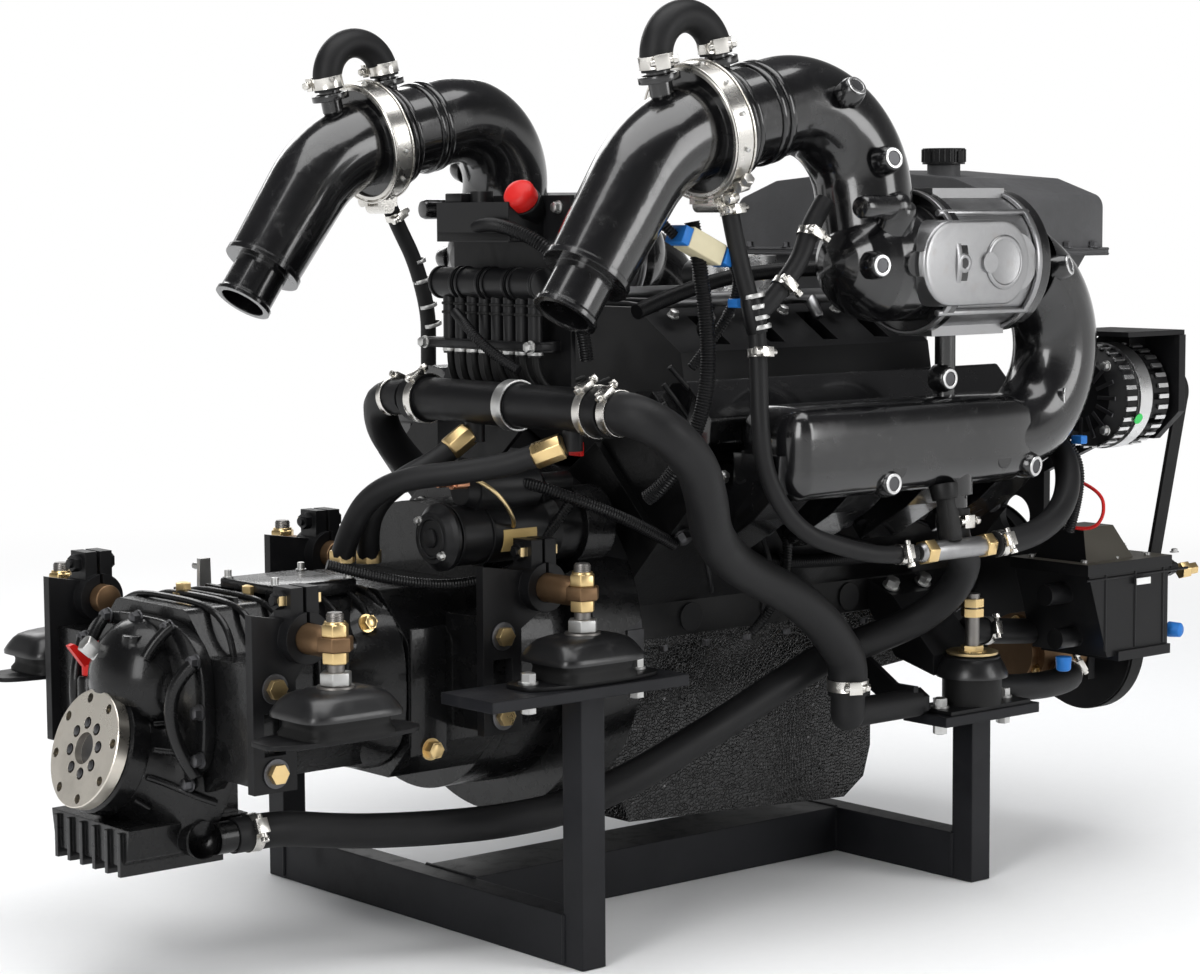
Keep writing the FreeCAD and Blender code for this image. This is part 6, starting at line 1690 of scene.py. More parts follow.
@dataclass
class Exhaust:
    """One side's manifold, catalyst, riser, joint band, outlet and bypass hose."""

    side: int
    lean: float = 13.0
    joint: tuple[float, float, float] = (-155.0, 306.0, 899.0)
    across: float = 345.0
    catalyst_level: float = 752.0
    band: float = 74.0

    @property
    def name(self) -> str:
        """The side's short name."""
        return "stbd" if self.side < 0 else "port"

    def at(self, x: float, y: float, z: float) -> tuple[float, float, float]:
        """Returns a starboard point or direction on this side."""
        return (x, y if self.side < 0 else -y, z)

    @property
    def centre(self) -> Vector:
        """The joint's centre."""
        return Vector((self.joint[0], self.side * self.joint[1], self.joint[2]))

    @property
    def aim(self) -> Vector:
        """The way out of the joint, towards the outlet."""
        a = math.radians(self.lean)
        return Vector((-math.cos(a), 0.0, -math.sin(a)))

    @property
    def above(self) -> Vector:
        """The way from the joint's centre to the bypass hose."""
        a = math.radians(self.lean)
        return Vector((-math.sin(a), 0.0, math.cos(a)))

    def round_joint(self, radius: float, angle: float, along: float) -> Vector:
        """Returns a point round the joint.

        Args:
            radius: The distance from the joint's axis.
            angle: The angle from the top, towards the outside.
            along: The distance along the axis towards the outlet.

        Returns:
            The point in millimetres.
        """
        a = math.radians(angle)
        out = Vector((0.0, float(self.side), 0.0))
        return self.centre + self.aim * along + (self.above * math.cos(a) + out * math.sin(a)) * radius

    def castings(self) -> None:
        """Dresses the castings."""
        dress("exhaust_manifold_" + self.name, GLOSS_ENAMEL)
        dress("exhaust_riser_" + self.name, GLOSS_ENAMEL)
        dress("exhaust_outlet_" + self.name, GLOSS_ENAMEL)
        dress("catalyst_housing_" + self.name, CAT_ALLOY,
            Zone(CAT_ALLOY, lambda c, n: 142 < c.x < 262.5))
        dress("v_band_clamp_" + self.name, STAINLESS)
        dress("bypass_hose_" + self.name, HOSE)

    def joint_band(self) -> None:
        """Builds the band's rolled edges, rivets and draw bolt."""
        edge = Draft()
        for along in (-12.4, 12.4):
            edge.lathe([(-1.2, self.band - 0.4), (-1.2, self.band + 1.6), (1.2, self.band + 1.6),
                (1.2, self.band - 0.4)], self.centre + self.aim * along, self.aim, 72, closed=True)
        lug = self.round_joint(self.band + 7, 148, 0)
        tangent = self.aim.cross((lug - self.centre).normalized())
        for shift in (-12, 12):
            edge.lathe([(-7, 0), (-7, 6.5), (7, 6.5), (7, 0)], lug + tangent * shift, self.aim, 20)
        edge.lathe([(-30, 3.4), (26, 3.4)], lug, tangent, 16)
        edge.lathe([(20, 0), (20, 7), (28, 7), (28.8, 6), (28.8, 0)], lug, tangent, 6)
        edge.lathe([(-34, 0), (-34, 6), (-27, 6), (-27, 0)], lug, tangent, 20)
        carry(edge.end("band_trim_" + self.name, STAINLESS, 0.4))
        rivets = Fasteners("band_rivets_" + self.name, ZINC, Head.PAN, 1.02)
        for angle in (-12, 18, 48, 78, 108, 200, 230, 260):
            spot = self.round_joint(self.band + 0.2, angle, 0)
            rivets.at(spot, (spot - self.centre).normalized(), 5.0)
        rivets.make()

    def log_skin(self) -> None:
        """Lays the log's round-cornered casting over its straight core."""
        stations = ((-93, 0.30), (-91.5, 0.52), (-88, 0.72), (-83, 0.88), (-76.5, 0.985), (-70, 1.0),
            (60, 1.0), (200, 1.0), (262, 1.0), (288, 0.9), (296, 0.7), (298, 0.3))
        skin = Draft().loft([[self.at(x, -self.across + 52.5 * grow * bulge(math.cos(a), 0.52),
            546 + 52.5 * grow * bulge(math.sin(a), 0.52)) for a in around(56)] for x, grow in stations])
        carry(skin.end("log_skin_" + self.name, GLOSS_ENAMEL))

    def riser_ribs(self) -> None:
        """Lays the beads round the riser behind the joint."""
        shape = Draft()
        for along, grow in ((-26, 12), (-37, 8), (-78, 3.0), (-90, 3.0)):
            shape.lathe([(-4.5, 54), (-4.5, 55 + grow * 0.6), (-2.2, 55 + grow), (2.2, 55 + grow),
                (4.5, 55 + grow * 0.6), (4.5, 54)], self.centre + self.aim * along, self.aim, 64,
                closed=True)
        carry(shape.end("riser_beads_" + self.name, GLOSS_ENAMEL, 1.2))

    def plugs(self) -> None:
        """Sets the bright-ringed bolts in their bosses."""
        seats = (((51, -396, 508), (0, -1, 0.0)), ((290, -394, 513), (0.15, -1, -0.1)),
            ((352, -385, 590), (0.45, -0.9, 0.0)), ((180, -360, 618), (0, -1, 0)),
            ((342, -397, 745), (0.4, -0.9, 0.25)), ((30, -398, 751), (-0.1, -1, 0)),
            ((52, -394, 868), (-0.1, -1, 0.2)), ((10, -378, 945), (0, -0.8, 0.6)))
        boss = Draft()
        rim = Draft()
        socket = Draft()
        for spot, way in seats:
            centre = Vector(self.at(*spot))
            out = Vector(self.at(*way)).normalized()
            boss.lathe([(-16, 0), (-16, 17), (-3, 15.5), (2, 13.5), (4, 12.5), (4, 0)], centre, out, 40)
            rim.lathe([(4, 8.2), (5.4, 8.2), (5.4, 11.6), (4, 12.2)], centre, out, 40, closed=True)
            socket.lathe([(3.4, 0), (4.6, 0.1), (4.6, 8.3), (3.4, 8.3)], centre, out, 6)
        carry(boss.end("plug_bosses_" + self.name, GLOSS_ENAMEL, 1.0, segments=3))
        carry(rim.end("plug_rims_" + self.name, BRIGHT_ALLOY, 0.3))
        carry(socket.end("plug_sockets_" + self.name, DARK_STEEL))

    def catalyst(self) -> None:
        """Builds the raised panel, the clamshell seams and the bare disc of the housing."""
        z = self.catalyst_level
        outline = [((202 if math.cos(a) > 0 else 120) + 44 * math.cos(a), z + 46 * math.sin(a))
            for a in around(40)]
        panel = Draft().loft([[self.at(px + (px - 165) * grow / 80, depth,
            z + (pz - z) * (1 + grow / 46)) for px, pz in outline] for grow,
            depth in ((3.0, -390.0), (2.0, -421.5), (0.0, -424.0), (-4.0, -424.5))])
        carry(panel.end("catalyst_panel_" + self.name, CAT_ALLOY, 1.2, segments=3))
        disc = Draft().lathe([(0, 0), (0, 31), (2.0, 31), (3.2, 29.5), (3.2, 26), (2.2, 25), (2.2, 0)],
            self.at(203, -424, z), self.at(0, -1, 0), 64)
        disc.lathe([(0, 0), (0, 12), (2.6, 11), (3.6, 9), (3.6, 6), (2.4, 5.6), (2.4, 0)],
            self.at(136, -424, z), self.at(0, -1, 0), 40)
        carry(disc.end("catalyst_disc_" + self.name, CAT_ALLOY, 0.5))
        seam = Draft()
        for rise in (-56, 56):
            depth = -math.sqrt(max(0.0, 77.0 ** 2 - rise ** 2)) - self.across
            seam.tube([self.at(118, depth - 3, z + rise), self.at(268, depth - 3, z + rise)], 4.0, 12)
        for x in (128, 262):
            seam.lathe([(-4, 78), (-4, 82.5), (4, 82.5), (4, 78)], self.at(x, -self.across, z),
                (1, 0, 0), 72, closed=True)
        carry(seam.end("catalyst_seams_" + self.name, CAT_ALLOY, 0.8))

    def stubs(self) -> None:
        """Builds the horizontal stub on the riser and the drain boss on the log."""
        shape = Draft().lathe([(0, 0), (0, 12), (3, 13), (66, 13), (70, 11), (70, 0)],
            self.at(66, -392, 815), self.at(-1, -0.12, 0), 36)
        shape.lathe([(0, 0), (0, 17), (8, 16), (14, 13.2)], self.at(66, -392, 815),
            self.at(-1, -0.12, 0), 36)
        shape.lathe([(0, 24), (26, 20), (34, 16), (34, 0), (0, 0)], self.at(66, -380, 790),
            self.at(0, -0.5, 0.86), 36)
        shape.lathe([(0, 0), (0, 15), (14, 15), (18, 12), (18, 0)], self.at(178, -372, 486), (0, 0, -1),
            36)
        carry(shape.end("riser_stub_" + self.name, GLOSS_ENAMEL, 0.8))
        nut = Draft().lathe([(0, 0), (0, 17), (10, 17), (12, 15), (12, 0)], self.at(178, -372, 492),
            (0, 0, -1), 6)
        carry(nut.end("drain_nut_" + self.name, PUMP_BLACK, 0.6))

    def bypass(self) -> None:
        """Clamps the bypass hose and rings its stubs."""
        for i, shift in enumerate((-43, 43)):
            foot = self.centre + self.aim * shift + self.above * 84
            WormClamp(f"bypass_clamp_{self.name}_{i}", tuple(foot), tuple(self.above), 18.3,
                self.at(-0.5, -1, 0), 14).make()
        rings("bypass_collars_" + self.name, GLOSS_ENAMEL, [(self.centre + self.aim * shift + self.above
            * 62, self.above, 19, 8) for shift in (-43, 43)], thick=4)

    def build(self) -> None:
        """Builds the side."""
        self.castings()
        self.joint_band()
        self.log_skin()
        self.riser_ribs()
        self.plugs()
        self.catalyst()
        self.stubs()
        self.bypass()


# Hoses and wiring


@dataclass
class SmallHose:
    """A narrow hose that is held at both ends, with its clamps."""

    name: str
    line: Sequence[Point]
    radius: float
    finish: Finish = field(default_factory=lambda: HOSE)
    clamps: Sequence[float] = ()

    def build(self) -> None:
        """Builds the hose along a smooth line and clamps it."""
        line = smooth_line(self.line)
        carry(Draft().tube(line, self.radius, 16).end(self.name, self.finish))
        for i, share in enumerate(self.clamps):
            k = min(max(int(share * (len(line) - 1)), 1), len(line) - 2)
            axis = line[k + 1] - line[k - 1]
            WormClamp(f"{self.name}_clamp_{i}", tuple(line[k]), tuple(axis), self.radius + 0.3,
                (0, -1, 0.3), 9).make()


@dataclass
class Pipework:
    """The hoses outside the solids and the fittings on them."""

    def large(self) -> None:
        """Dresses and clamps the two large hoses."""
        dress("cooler_hose", HOSE)
        dress("gearbox_hose", HOSE)
        WormClamp("cooler_hose_clamp_0", (-313, -353, 603), (0, 1, 0), 23.4, (-0.6, 0, 0.8), 13).make()
        WormClamp("cooler_hose_clamp_1", (96, -284, 262), (0, 0, 1), 23.4, (-0.5, -1, 0), 13).make()
        WormClamp("gearbox_hose_clamp_fwd", (178, -372, 456), (0, 0, 1), 19.4, (0, -1, 0), 13).make()

    def drains(self) -> None:
        """Runs the drain hoses from the joints."""
        SmallHose("drain_hose_stbd_upper", ((-128, -322, 826), (-122, -332, 760), (-110, -340, 712)),
            10, clamps=(0.12,)).build()
        SmallHose("drain_hose_stbd_lower", ((-104, -342, 690), (-108, -350, 640), (-112, -356, 580),
            (-112, -366, 520), (-80, -384, 462), (-10, -394, 438), (40, -400, 428), (84, -400, 427)),
            10, clamps=(0.06, 0.97)).build()
        SmallHose("drain_branch_stbd", ((-104, -344, 700), (-92, -350, 712), (-62, -350, 740),
            (-40, -348, 764), (-26, -346, 796), (-4, -346, 822)), 11, clamps=(0.3, 0.8)).build()
        tee = Draft().lathe([(-22, 0), (-22, 11), (-12, 12.5), (12, 12.5), (22, 11), (22, 0)],
            (-107, -341, 700), (0.14, -0.12, -1), 28)
        carry(tee.end("drain_tee_stbd", PLASTIC, 0.6))
        bands = [((-108 + t * 6, -340 - t * 4, 722 - t * 34), (0.14, -0.12, -1), 12.4, 5) for t in (0,
            0.35, 0.7, 1.0)]
        rings("drain_bands_stbd", ZINC, bands, thick=1.0)
        SmallHose("drain_hose_port", ((-134, 302, 832), (-112, 304, 792), (-86, 306, 751),
            (-66, 306, 687), (-56, 320, 640), (-49, 330, 596)), 10, clamps=(0.1,)).build()
        rings("drain_bands_port", ZINC, [((-84 + t * 24, 306, 752 - t * 80), (0.3, 0, -1), 10.8, 5)
            for t in (0, 0.3, 0.7, 1.0)], thick=1.0)

    def water_tube(self) -> None:
        """Builds the bright tube with its brass nuts on the manifold's underside."""
        tube = Draft().lathe([(0, 0), (0, 9), (6, 11.5), (118, 11.5), (124, 9), (124, 0)],
            (92, -400, 427), (1, 0, 0), 40)
        carry(tube.end("water_tube", CAT_ALLOY, 0.5))
        nuts = Draft().lathe([(0, 0), (0, 14.5), (16, 14.5), (16, 0)], (98, -400, 427), (1, 0, 0), 6)
        nuts.lathe([(0, 0), (0, 14.5), (14, 14.5), (14, 0)], (196, -400, 427), (1, 0, 0), 6)
        carry(nuts.end("water_tube_nuts", BRASS, 0.8))
        riser = Draft().lathe([(0, 0), (0, 13), (6, 14.5), (32, 14.5), (40, 12), (52, 12), (52, 0)],
            (146, -400, 436), (0, 0.22, 1), 6)
        riser.lathe([(48, 0), (48, 15), (66, 17), (66, 0)], (146, -400, 436), (0, 0.22, 1), 30)
        carry(riser.end("water_tube_riser", PUMP_BLACK, 0.8))
        WormClamp("water_tube_clamp_fwd", (226, -400, 427), (1, 0, 0.05), 14.2, (0, -1, 0.4)).make()
        SmallHose("front_hose", ((216, -400, 427), (262, -400, 428), (320, -396, 442), (366, -382, 470),
            (392, -360, 506), (404, -330, 530), (410, -290, 540)), 15).build()

    def hydraulics(self) -> None:
        """Runs the two oil hoses from the cooler's ports with their brass crimps."""
        SmallHose("oil_hose_aft", ((-318, -106, 568), (-352, -96, 540), (-392, -84, 522),
            (-420, -70, 496), (-424, -56, 462), (-412, -44, 434)), 13).build()
        SmallHose("oil_hose_fwd", ((-322, -276, 566), (-350, -244, 548), (-392, -196, 536),
            (-432, -140, 528), (-452, -100, 506), (-456, -70, 468), (-452, -50, 438)), 13).build()
        crimps = Draft().lathe([(0, 0), (0, 9), (3, 14.5), (30, 14.5), (33, 12), (33, 0)],
            (-318, -108, 570), (-0.78, 0.2, -0.6), 8)
        crimps.lathe([(0, 0), (0, 9), (3, 14.5), (34, 14.5), (37, 12), (37, 0)], (-322, -278, 566),
            (-0.62, 0.7, -0.36), 8)
        carry(crimps.end("oil_hose_crimps", BRASS, 0.7))
        feet = Draft().lathe([(0, 0), (0, 15), (14, 15), (14, 0)], (-412, -44, 426), (0, 0, 1), 6)
        feet.lathe([(0, 0), (0, 15), (14, 15), (14, 0)], (-452, -50, 430), (0, 0, 1), 6)
        carry(feet.end("oil_hose_feet", BRASS, 0.7))

    def wiring(self) -> None:
        """Lays the looms, connectors and clips."""
        looms = (("loom_side", ((-160, -300, 800), (-150, -316, 700), (-158, -322, 600),
            (-190, -300, 520), (-200, -270, 500)), 9), ("loom_block", ((-130, -200, 470),
            (-60, -214, 430), (40, -200, 402), (180, -190, 392), (330, -196, 396), (420, -210, 400)),
            8), ("loom_starter", ((-330, -130, 520), (-300, -176, 520), (-260, -214, 500),
            (-190, -240, 470), (-130, -236, 440)), 7), ("loom_top", ((-150, -196, 700),
            (-40, -180, 730), (80, -172, 742), (220, -172, 742), (360, -172, 730), (430, -190, 700)),
            9), ("loom_coil", ((-280, -66, 792), (-300, -110, 800), (-304, -160, 796),
            (-286, -206, 776), (-250, -214, 730), (-226, -200, 650)), 8),
            ("loom_coil_front", ((-300, -60, 700), (-316, -96, 690), (-310, -130, 660),
            (-300, -172, 640)), 6), ("loom_front", ((404, -300, 560), (420, -340, 530),
            (430, -352, 480), (430, -330, 420)), 7), ("loom_drop", ((40, -236, 470), (20, -268, 420),
            (0, -262, 360), (-16, -240, 330)), 6), ("loom_gearbox", ((-236, -190, 500),
            (-280, -180, 440), (-330, -162, 410), (-420, -130, 408), (-500, -90, 436)), 6), )
        for name, line, radius in looms:
            Loom(name, PLASTIC, line, radius).make()
        leads = (("lead_0", ((-140, -240, 640), (-60, -250, 560), (30, -240, 500), (60, -214, 430)), 3),
            ("lead_1", ((-140, -230, 620), (-70, -262, 520), (0, -250, 430), (40, -212, 400)), 3),
            ("lead_2", ((-150, -240, 600), (-90, -260, 500), (-40, -250, 420), (-20, -214, 396)), 3.4),
            ("lead_3", ((-160, -260, 580), (-130, -276, 470), (-100, -262, 400), (-60, -220, 380)), 3),
            ("lead_4", ((100, -220, 440), (150, -262, 420), (210, -262, 400), (260, -216, 392)), 3),
            ("lead_5", ((260, -230, 440), (300, -262, 420), (350, -250, 392), (384, -214, 388)), 3), )
        for name, line, radius in leads:
            SmallHose(name, line, radius, PLASTIC).build()
        clips = Draft()
        for x, y, z in ((-60, -232, 452), (60, -228, 410), (260, -214, 402), (-120, -300, 690)):
            clips.lathe([(-5, 9.2), (-5, 10.6), (5, 10.6), (5, 9.2)], (x, y + 22, z - 8), (1, 0, 0), 20,
                closed=True)
        carry(clips.end("loom_clips", PLASTIC, 0.4))
        slope = Matrix.Rotation(math.radians(24), 3, "Y")
        cream = Draft().block((-186, -326, 762), (-134, -300, 786), slope)
        carry(cream.end("connector_cream", CREAM, 1.6, segments=3))
        blue = Draft().block((-196, -327, 776), (-184, -299, 796), slope)
        blue.block((-134, -327, 752), (-122, -299, 772), slope)
        blue.block((-112, -320, 706), (-92, -304, 716))
        blue.block((404, -352, 552), (416, -336, 562))
        blue.block((420, -356, 528), (432, -340, 538))
        carry(blue.end("connector_seals", BLUE, 1.2))
        Loom("loom_connector_a", PLASTIC, ((-196, -312, 786), (-212, -306, 800), (-214, -290, 830),
            (-206, -262, 842)), 6).make()
        Loom("loom_connector_b", PLASTIC, ((-122, -312, 762), (-104, -312, 752), (-98, -306, 720),
            (-110, -290, 680), (-140, -276, 640)), 6).make()
        SmallHose("lead_red", ((446, -330, 480), (452, -362, 470), (454, -366, 440), (446, -352, 420),
            (436, -330, 424)), 2.2, RED).build()
        SmallHose("lead_gold", ((-372, -176, 528), (-360, -192, 520), (-340, -198, 500),
            (-322, -192, 476), (-316, -180, 470)), 2.4, YELLOW_ZINC).build()

    def build(self) -> None:
        """Builds the pipework and the wiring."""
        self.large()
        self.drains()
        self.water_tube()
        self.hydraulics()
        self.wiring()


# Ignition and cooler


@dataclass
class Ignition:
    """The coil pack with its boots, bar, box and plate."""

    aft: float = -245.0
    level: float = 733.0
    coil_length: float = 186.0
    boots: int = 8
    pitch: float = 22.0

    def build(self) -> None:
        """Builds the coil pack's looks."""
        x = self.aft - 31
        dress("coil_pack", PLASTIC, Zone(SATIN_BLACK, lambda c, n: c.x > self.aft - 1))
        bands = []
        for i in range(4):
            y = -self.coil_length + i * 47.5
            bands += [((x, y + shift, self.level), (0, 1, 0), 17, 4) for shift in (1, 38)]
        rings("coil_bands", PLASTIC, bands, thick=1.8)
        crimps = []
        ribs = []
        for i in range(self.boots):
            y = -self.coil_length + 14 + i * self.pitch
            crimps.append(((x, y, self.level - 70), (0, 0, -1), 8, 8))
            ribs += [((x, y, self.level - drop), (0, 0, -1), 8, 3) for drop in (22, 32)]
        rings("boot_crimps", ZINC, crimps, thick=0.9)
        rings("boot_ribs", SOFT_RUBBER, ribs, thick=1.6)
        for i in range(self.boots):
            y = -self.coil_length + 14 + i * self.pitch
            reach = -0.5 if i < 4 else 0.5
            SmallHose(f"plug_lead_{i}", ((x, y, self.level - 78), (x, y, self.level - 96),
                (x + 14, y + reach * 12, self.level - 118), (x + 44, y + reach * 24, self.level - 122),
                (x + 90, y + reach * 40, self.level - 108)), 4.2, SOFT_RUBBER).build()
        bar = Draft().block((self.aft - 44, -198, self.level - 72),
            (self.aft - 26, 26, self.level - 64))
        carry(bar.end("boot_bar", SATIN_BLACK, 1.5))
        bolts = Fasteners("coil_bolts", ZINC)
        for y in (-205 + 24, 12):
            bolts.at((self.aft - 44, y, self.level - 68), (-1, 0, 0), 10)
        for y in (-176, -8):
            bolts.at((self.aft, y, self.level + 84), (-1, 0, 0), 10)
        bolts.make()
        cap = Draft().lathe([(0, 0), (0, 15), (3, 18), (16, 18), (20, 15), (22, 9), (22, 0)],
            (self.aft - 24, -146, self.level + 90), (-0.75, -0.3, 0.6), 32)
        carry(cap.end("dust_cap", RED, 0.8))
        seat = Draft().lathe([(-26, 0), (-26, 15), (-2, 19), (2, 19), (2, 0)],
            (self.aft - 24, -146, self.level + 90), (-0.75, -0.3, 0.6), 28)
        carry(seat.end("dust_cap_seat", PLASTIC, 0.6))
        box = Draft().block((self.aft - 50, -152, self.level + 46),
            (self.aft - 8, -20, self.level + 58))
        box.block((self.aft - 46, -60, self.level + 88), (self.aft - 16, -30, self.level + 100))
        carry(box.end("ignition_box_trim", PLASTIC, 1.6))
        tag = Draft().block((-212, -170, 540), (-206, -140, 556))
        carry(tag.end("red_tag", RED, 0.8))


@dataclass
class Cooler:
    """The oil cooler across the bell housing."""

    station: float = -313.0
    level: float = 603.0
    radius: float = 24.0

    def build(self) -> None:
        """Builds the cooler's looks."""
        dress("cross_cooler", SATIN_BLACK)
        x, z = self.station, self.level
        rings("cooler_strap", ZINC, [((x, -190, z), (0, 1, 0), 26.5, 16)], thick=1.6)
        for i, y in enumerate((-318, -20)):
            WormClamp(f"cooler_clamp_{i}", (x, y, z), (0, 1, 0), self.radius + 3.2,
                (-0.5, 0, 0.9)).make()
        SmallHose("cooler_link_port", ((x, 14, z), (x, 50, z), (x + 10, 88, z - 14),
            (x + 40, 110, z - 60), (x + 90, 120, z - 100)), 20, clamps=(0.16,)).build()


# Intake and top


@dataclass
class Intake:
    """The manifold, throttle and fuel rails."""

    def build(self) -> None:
        """Builds the intake's looks."""
        dress("intake_manifold", INTAKE)
        dress("throttle_body", BRIGHT_ALLOY, Zone(PLASTIC, lambda c, n: c.y > 53))
        dress("throttle_plate", BRASS)
        rails = Draft()
        for side in (-1, 1):
            rails.tube([(-40, side * 118, 708), (330, side * 118, 708)], 9, 20)
            for i in range(4):
                x = 16 + i * 88
                rails.lathe([(0, 0), (0, 8), (26, 7), (30, 5), (30, 0)], (x, side * 120, 706),
                    (0, side * 0.6, -0.8), 20)
        carry(rails.end("fuel_rails", CAT_ALLOY, 0.6))
        ribs = Draft()
        for i in range(5):
            x = -36 + i * 88
            ribs.tube([(x, -100, 697), (x, -50, 702), (x, 50, 702), (x, 100, 697)], 4, 10)
        carry(ribs.end("plenum_ribs", INTAKE))
        bolts = Fasteners("intake_bolts", ZINC)
        for side in (-1, 1):
            for i in range(5):
                bolts.at((-36 + i * 88, side * 128, 690), (0, side * 0.5, 0.86), 10)
        for dx in (-44, 44):
            for y in (-44, 44):
                bolts.at((180 + dx, y, 710), (0, 0, 1), 9)
        bolts.make()


@dataclass
class Tank:
    """The coolant tank at the engine's front."""

    aft: float = 405.0
    fwd: float = 600.0
    half: float = 235.0
    rim: float = 760.0

    def build(self) -> None:
        """Builds the tank's looks."""
        dress("coolant_tank", TANK_GREY)
        dress("coolant_cap", PLASTIC)
        bolts = Fasteners("tank_bolts", DARK_STEEL)
        for side in (-1, 1):
            for i in range(4):
                bolts.at((self.aft + 24 + i * 50, side * (self.half + 2), self.rim + 2), (0, 0, 1), 10)
        for i in range(7):
            y = -210 + i * 70
            bolts.at((self.aft - 1, y, self.rim + 2), (0, 0, 1), 9)
        bolts.make()
        grips = Draft()
        for a in around(24):
            x, y = 450 + 27 * math.cos(a), -100 + 27 * math.sin(a)
            grips.tube([(x, y, 871), (x, y, 887)], 1.5, 6)
        carry(grips.end("cap_grips", PLASTIC), "filler_cap")
        seam = Draft()
        for rise in (-3, 3):
            seam.tube([(self.aft - 5, -self.half - 6, self.rim - 3 + rise),
                (self.aft - 5, self.half + 6, self.rim - 3 + rise)], 1.2, 8)
            seam.tube([(self.aft - 5, -self.half - 6, self.rim - 3 + rise),
                (self.fwd + 5, -self.half - 6, self.rim - 3 + rise)], 1.2, 8)
        carry(seam.end("tank_seam", TANK_GREY))


# Front drive


@dataclass
class FrontDrive:
    """The belt drive, the alternator, the sea pump and the bracket."""

    alternator: tuple[float, float] = (-300.0, 580.0)
    face: float = 590.0

    def belt(self) -> None:
        """Dresses the pulleys and the belt."""
        dress("water_pump_pulley", SATIN_BLACK)
        dress("sea_pump_pulley", SATIN_BLACK)
        dress("alternator_rotor", DARK_STEEL)
        dress("tensioner_arm", RAW_CASTING, Zone(PLASTIC, lambda c, n: c.x > 625))
        dress("serpentine_belt", BELT)
        dress("accessory_bracket", SATIN_BLACK)
        dress("timing_cover", ENGINE_BLACK)
        bolts = Fasteners("bracket_face_bolts", ZINC)
        for y, z in ((-46, 268), (46, 268), (-140, 320), (140, 380), (-70, 540), (70, 540), (-236, 560),
                (-350, 640), (-262, 640), (-190, 340), (-280, 345)):
            bolts.at((602, y, z), (1, 0, 0), 13)
        bolts.make()
        cover = Fasteners("timing_bolts", DARK_STEEL)
        for y, z in ((-104, 300), (104, 300), (-110, 380), (110, 380), (-104, 460), (104, 460)):
            cover.at((470, y, z), (1, 0, 0), 11)
        cover.make()
        for name, body, y, z in (("crank", "crank", 0, 320), ("pump", "water_pump_drive", 0, 505),
                ("sea", "sea_pump_drive", -180, 247)):
            face = Fasteners(f"{name}_pulley_bolts", ZINC)
            for i in range(4):
                a = math.radians(45 + i * 90)
                face.at((640, y + 24 * math.cos(a), z + 24 * math.sin(a)), (1, 0, 0), 9)
            face.make(body)

    def generator(self) -> None:
        """Builds the alternator's slots, bright band and marks."""
        y, z = self.alternator
        dress("alternator", SATIN_BLACK, Zone(BRIGHT_ALLOY, lambda c,
            n: 518 < c.x < 552 and math.hypot(c.y - y, c.z - z) > 63))
        slots = Draft()
        for a in around(30):
            out = Vector((0, math.cos(a), math.sin(a)))
            centre = Vector((0, y, z)) + out * 63.5
            frame = Matrix((Vector((1, 0, 0)), Vector((0, -math.sin(a), math.cos(a))),
                out)).transposed()
            for x in (505, 566):
                spot = centre + Vector((x, 0, 0))
                slots.block(spot - Vector((9, 2.6, 1.2)), spot + Vector((9, 2.6, 1.2)), frame)
        carry(slots.end("alternator_slots", BRIGHT_ALLOY, 0.0, smooth=False))
        back = Draft()
        for a in around(16):
            out = Vector((0, math.cos(a), math.sin(a)))
            centre = Vector((485.6, y, z)) + out * 40
            frame = Matrix((out, Vector((0, -math.sin(a), math.cos(a))),
                Vector((1, 0, 0)))).transposed()
            back.block(centre - Vector((14, 2.4, 1.0)), centre + Vector((14, 2.4, 1.0)), frame)
        carry(back.end("alternator_vents", DARK_STEEL, 0.0, smooth=False))
        dot = Draft().lathe([(0, 0), (0, 7), (0.8, 6.6), (0.8, 0)], (520, y - 62.0, z - 26),
            (0, -0.92, -0.39), 28)
        carry(dot.end("green_mark", GREEN_DOT))
        bolts = Fasteners("alternator_bolts", ZINC)
        for i in range(4):
            a = math.radians(45 + i * 90)
            bolts.at((486, y + 56 * math.cos(a), z + 56 * math.sin(a)), (-1, 0, 0), 9)
        bolts.make()

    def sea_pump(self) -> None:
        """Dresses the raw-water pump and clamps its hoses."""
        dress("sea_pump", BRONZE)
        bolts = Fasteners("pump_cover_bolts", BRASS)
        for i in range(6):
            a = math.radians(30 + i * 60)
            bolts.at((505, -180 + 40 * math.cos(a), 247 + 40 * math.sin(a)), (-1, 0, 0), 8)
        bolts.make()
        SmallHose("sea_pump_hose_low", ((535, -234, 222), (528, -258, 222), (470, -274, 220),
            (410, -276, 222), (356, -270, 226), (320, -262, 230)), 17, clamps=(0.08, 0.9)).build()
        SmallHose("sea_pump_hose_high", ((535, -202, 271), (524, -222, 276), (470, -234, 282),
            (410, -238, 288), (350, -236, 296)), 16, clamps=(0.1, 0.9)).build()

    def build(self) -> None:
        """Builds the front drive's looks."""
        self.belt()
        self.generator()
        self.sea_pump()


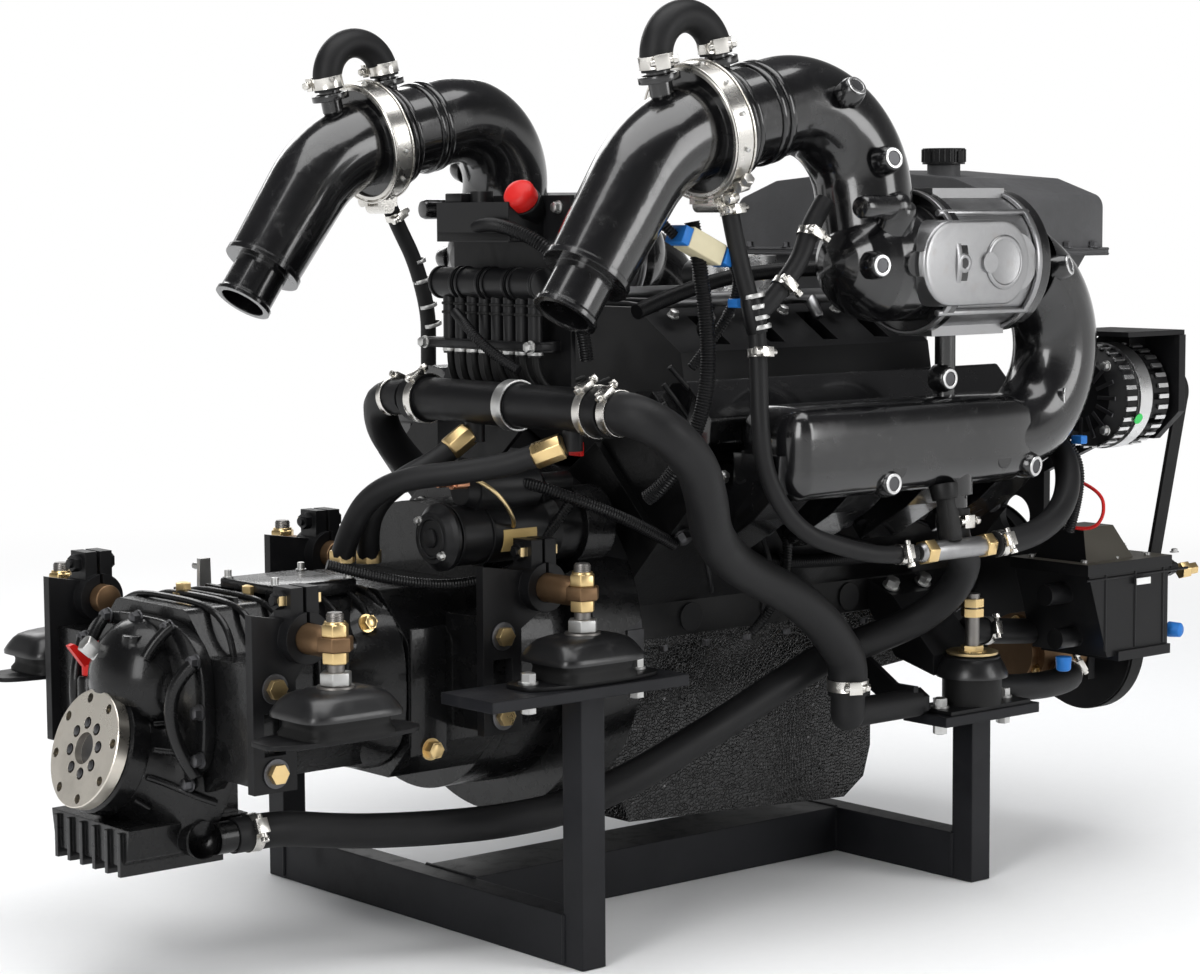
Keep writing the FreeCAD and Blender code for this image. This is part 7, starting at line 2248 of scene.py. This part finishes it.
@dataclass
class FuelModule:
    """The fuel module at the engine's front starboard corner."""

    aft: float = 430.0
    fwd: float = 640.0
    outer: float = -355.0
    floor: float = 262.0
    top: float = 378.0

    def build(self) -> None:
        """Builds the module's looks."""
        dress("fuel_module", PLASTIC, Zone(OLIVE_COVER, lambda c, n: n.z > 0.4 and c.z > 374))
        low, high = corner("fuel_module")
        label = Draft().block((high.x - 104, low.y - 0.8, low.z + 92),
            (high.x - 78, low.y + 0.6, low.z + 100))
        carry(label.end("module_label", LABEL))
        ribs = Draft()
        y = self.outer
        for x in (self.aft + 40, self.aft + 96, self.aft + 150):
            ribs.tube([(x, y, self.floor + 8), (x, y, self.top - 8)], 1.6, 8)
        ribs.tube([(self.aft + 4, y, self.top - 18), (self.fwd - 12, y, self.top - 18)], 1.8, 8)
        carry(ribs.end("module_parting", PLASTIC))
        screws = Fasteners("module_screws", ZINC, Head.PAN)
        for x in (self.aft + 18, self.aft + 78, self.aft + 138, self.aft + 192):
            screws.at((x, y + 16, self.top + 0.4), (0, 0, 1), 8)
            screws.at((x, y + 100, self.top + 0.4), (0, 0, 1), 8)
        screws.make()
        plugs = Draft().lathe([(0, 0), (0, 10), (16, 9), (18, 6), (18, 0)],
            (self.fwd - 30, y + 14, self.floor + 20), (0.3, -1, 0), 24)
        plugs.lathe([(0, 0), (0, 10), (16, 9), (18, 6), (18, 0)], (self.aft + 10, y + 40, self.floor),
            (0, 0, -1), 24)
        carry(plugs.end("module_drain_plugs", BLUE, 0.8))
        fitting = Draft().lathe([(0, 0), (0, 11), (12, 11), (14, 8), (24, 8), (24, 0)],
            (self.fwd - 6, -338, self.top - 24), (1, -0.3, 0.1), 6)
        carry(fitting.end("module_fitting", BRASS, 0.6))


def main() -> None:
    """Builds the scene."""
    logging.basicConfig(level=logging.INFO, format="%(name)s: %(message)s")
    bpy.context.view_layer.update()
    sections = [Studio(), Stand(), *mounts(), Gearbox(), Engine(), Exhaust(-1), Exhaust(1), Pipework(),
        Ignition(), Cooler(), Intake(), Tank(), FrontDrive(), FuelModule()]
    for section in sections:
        section.build()
        LOG.info("%s built", type(section).__name__)


if __name__ == "__main__":
    main()
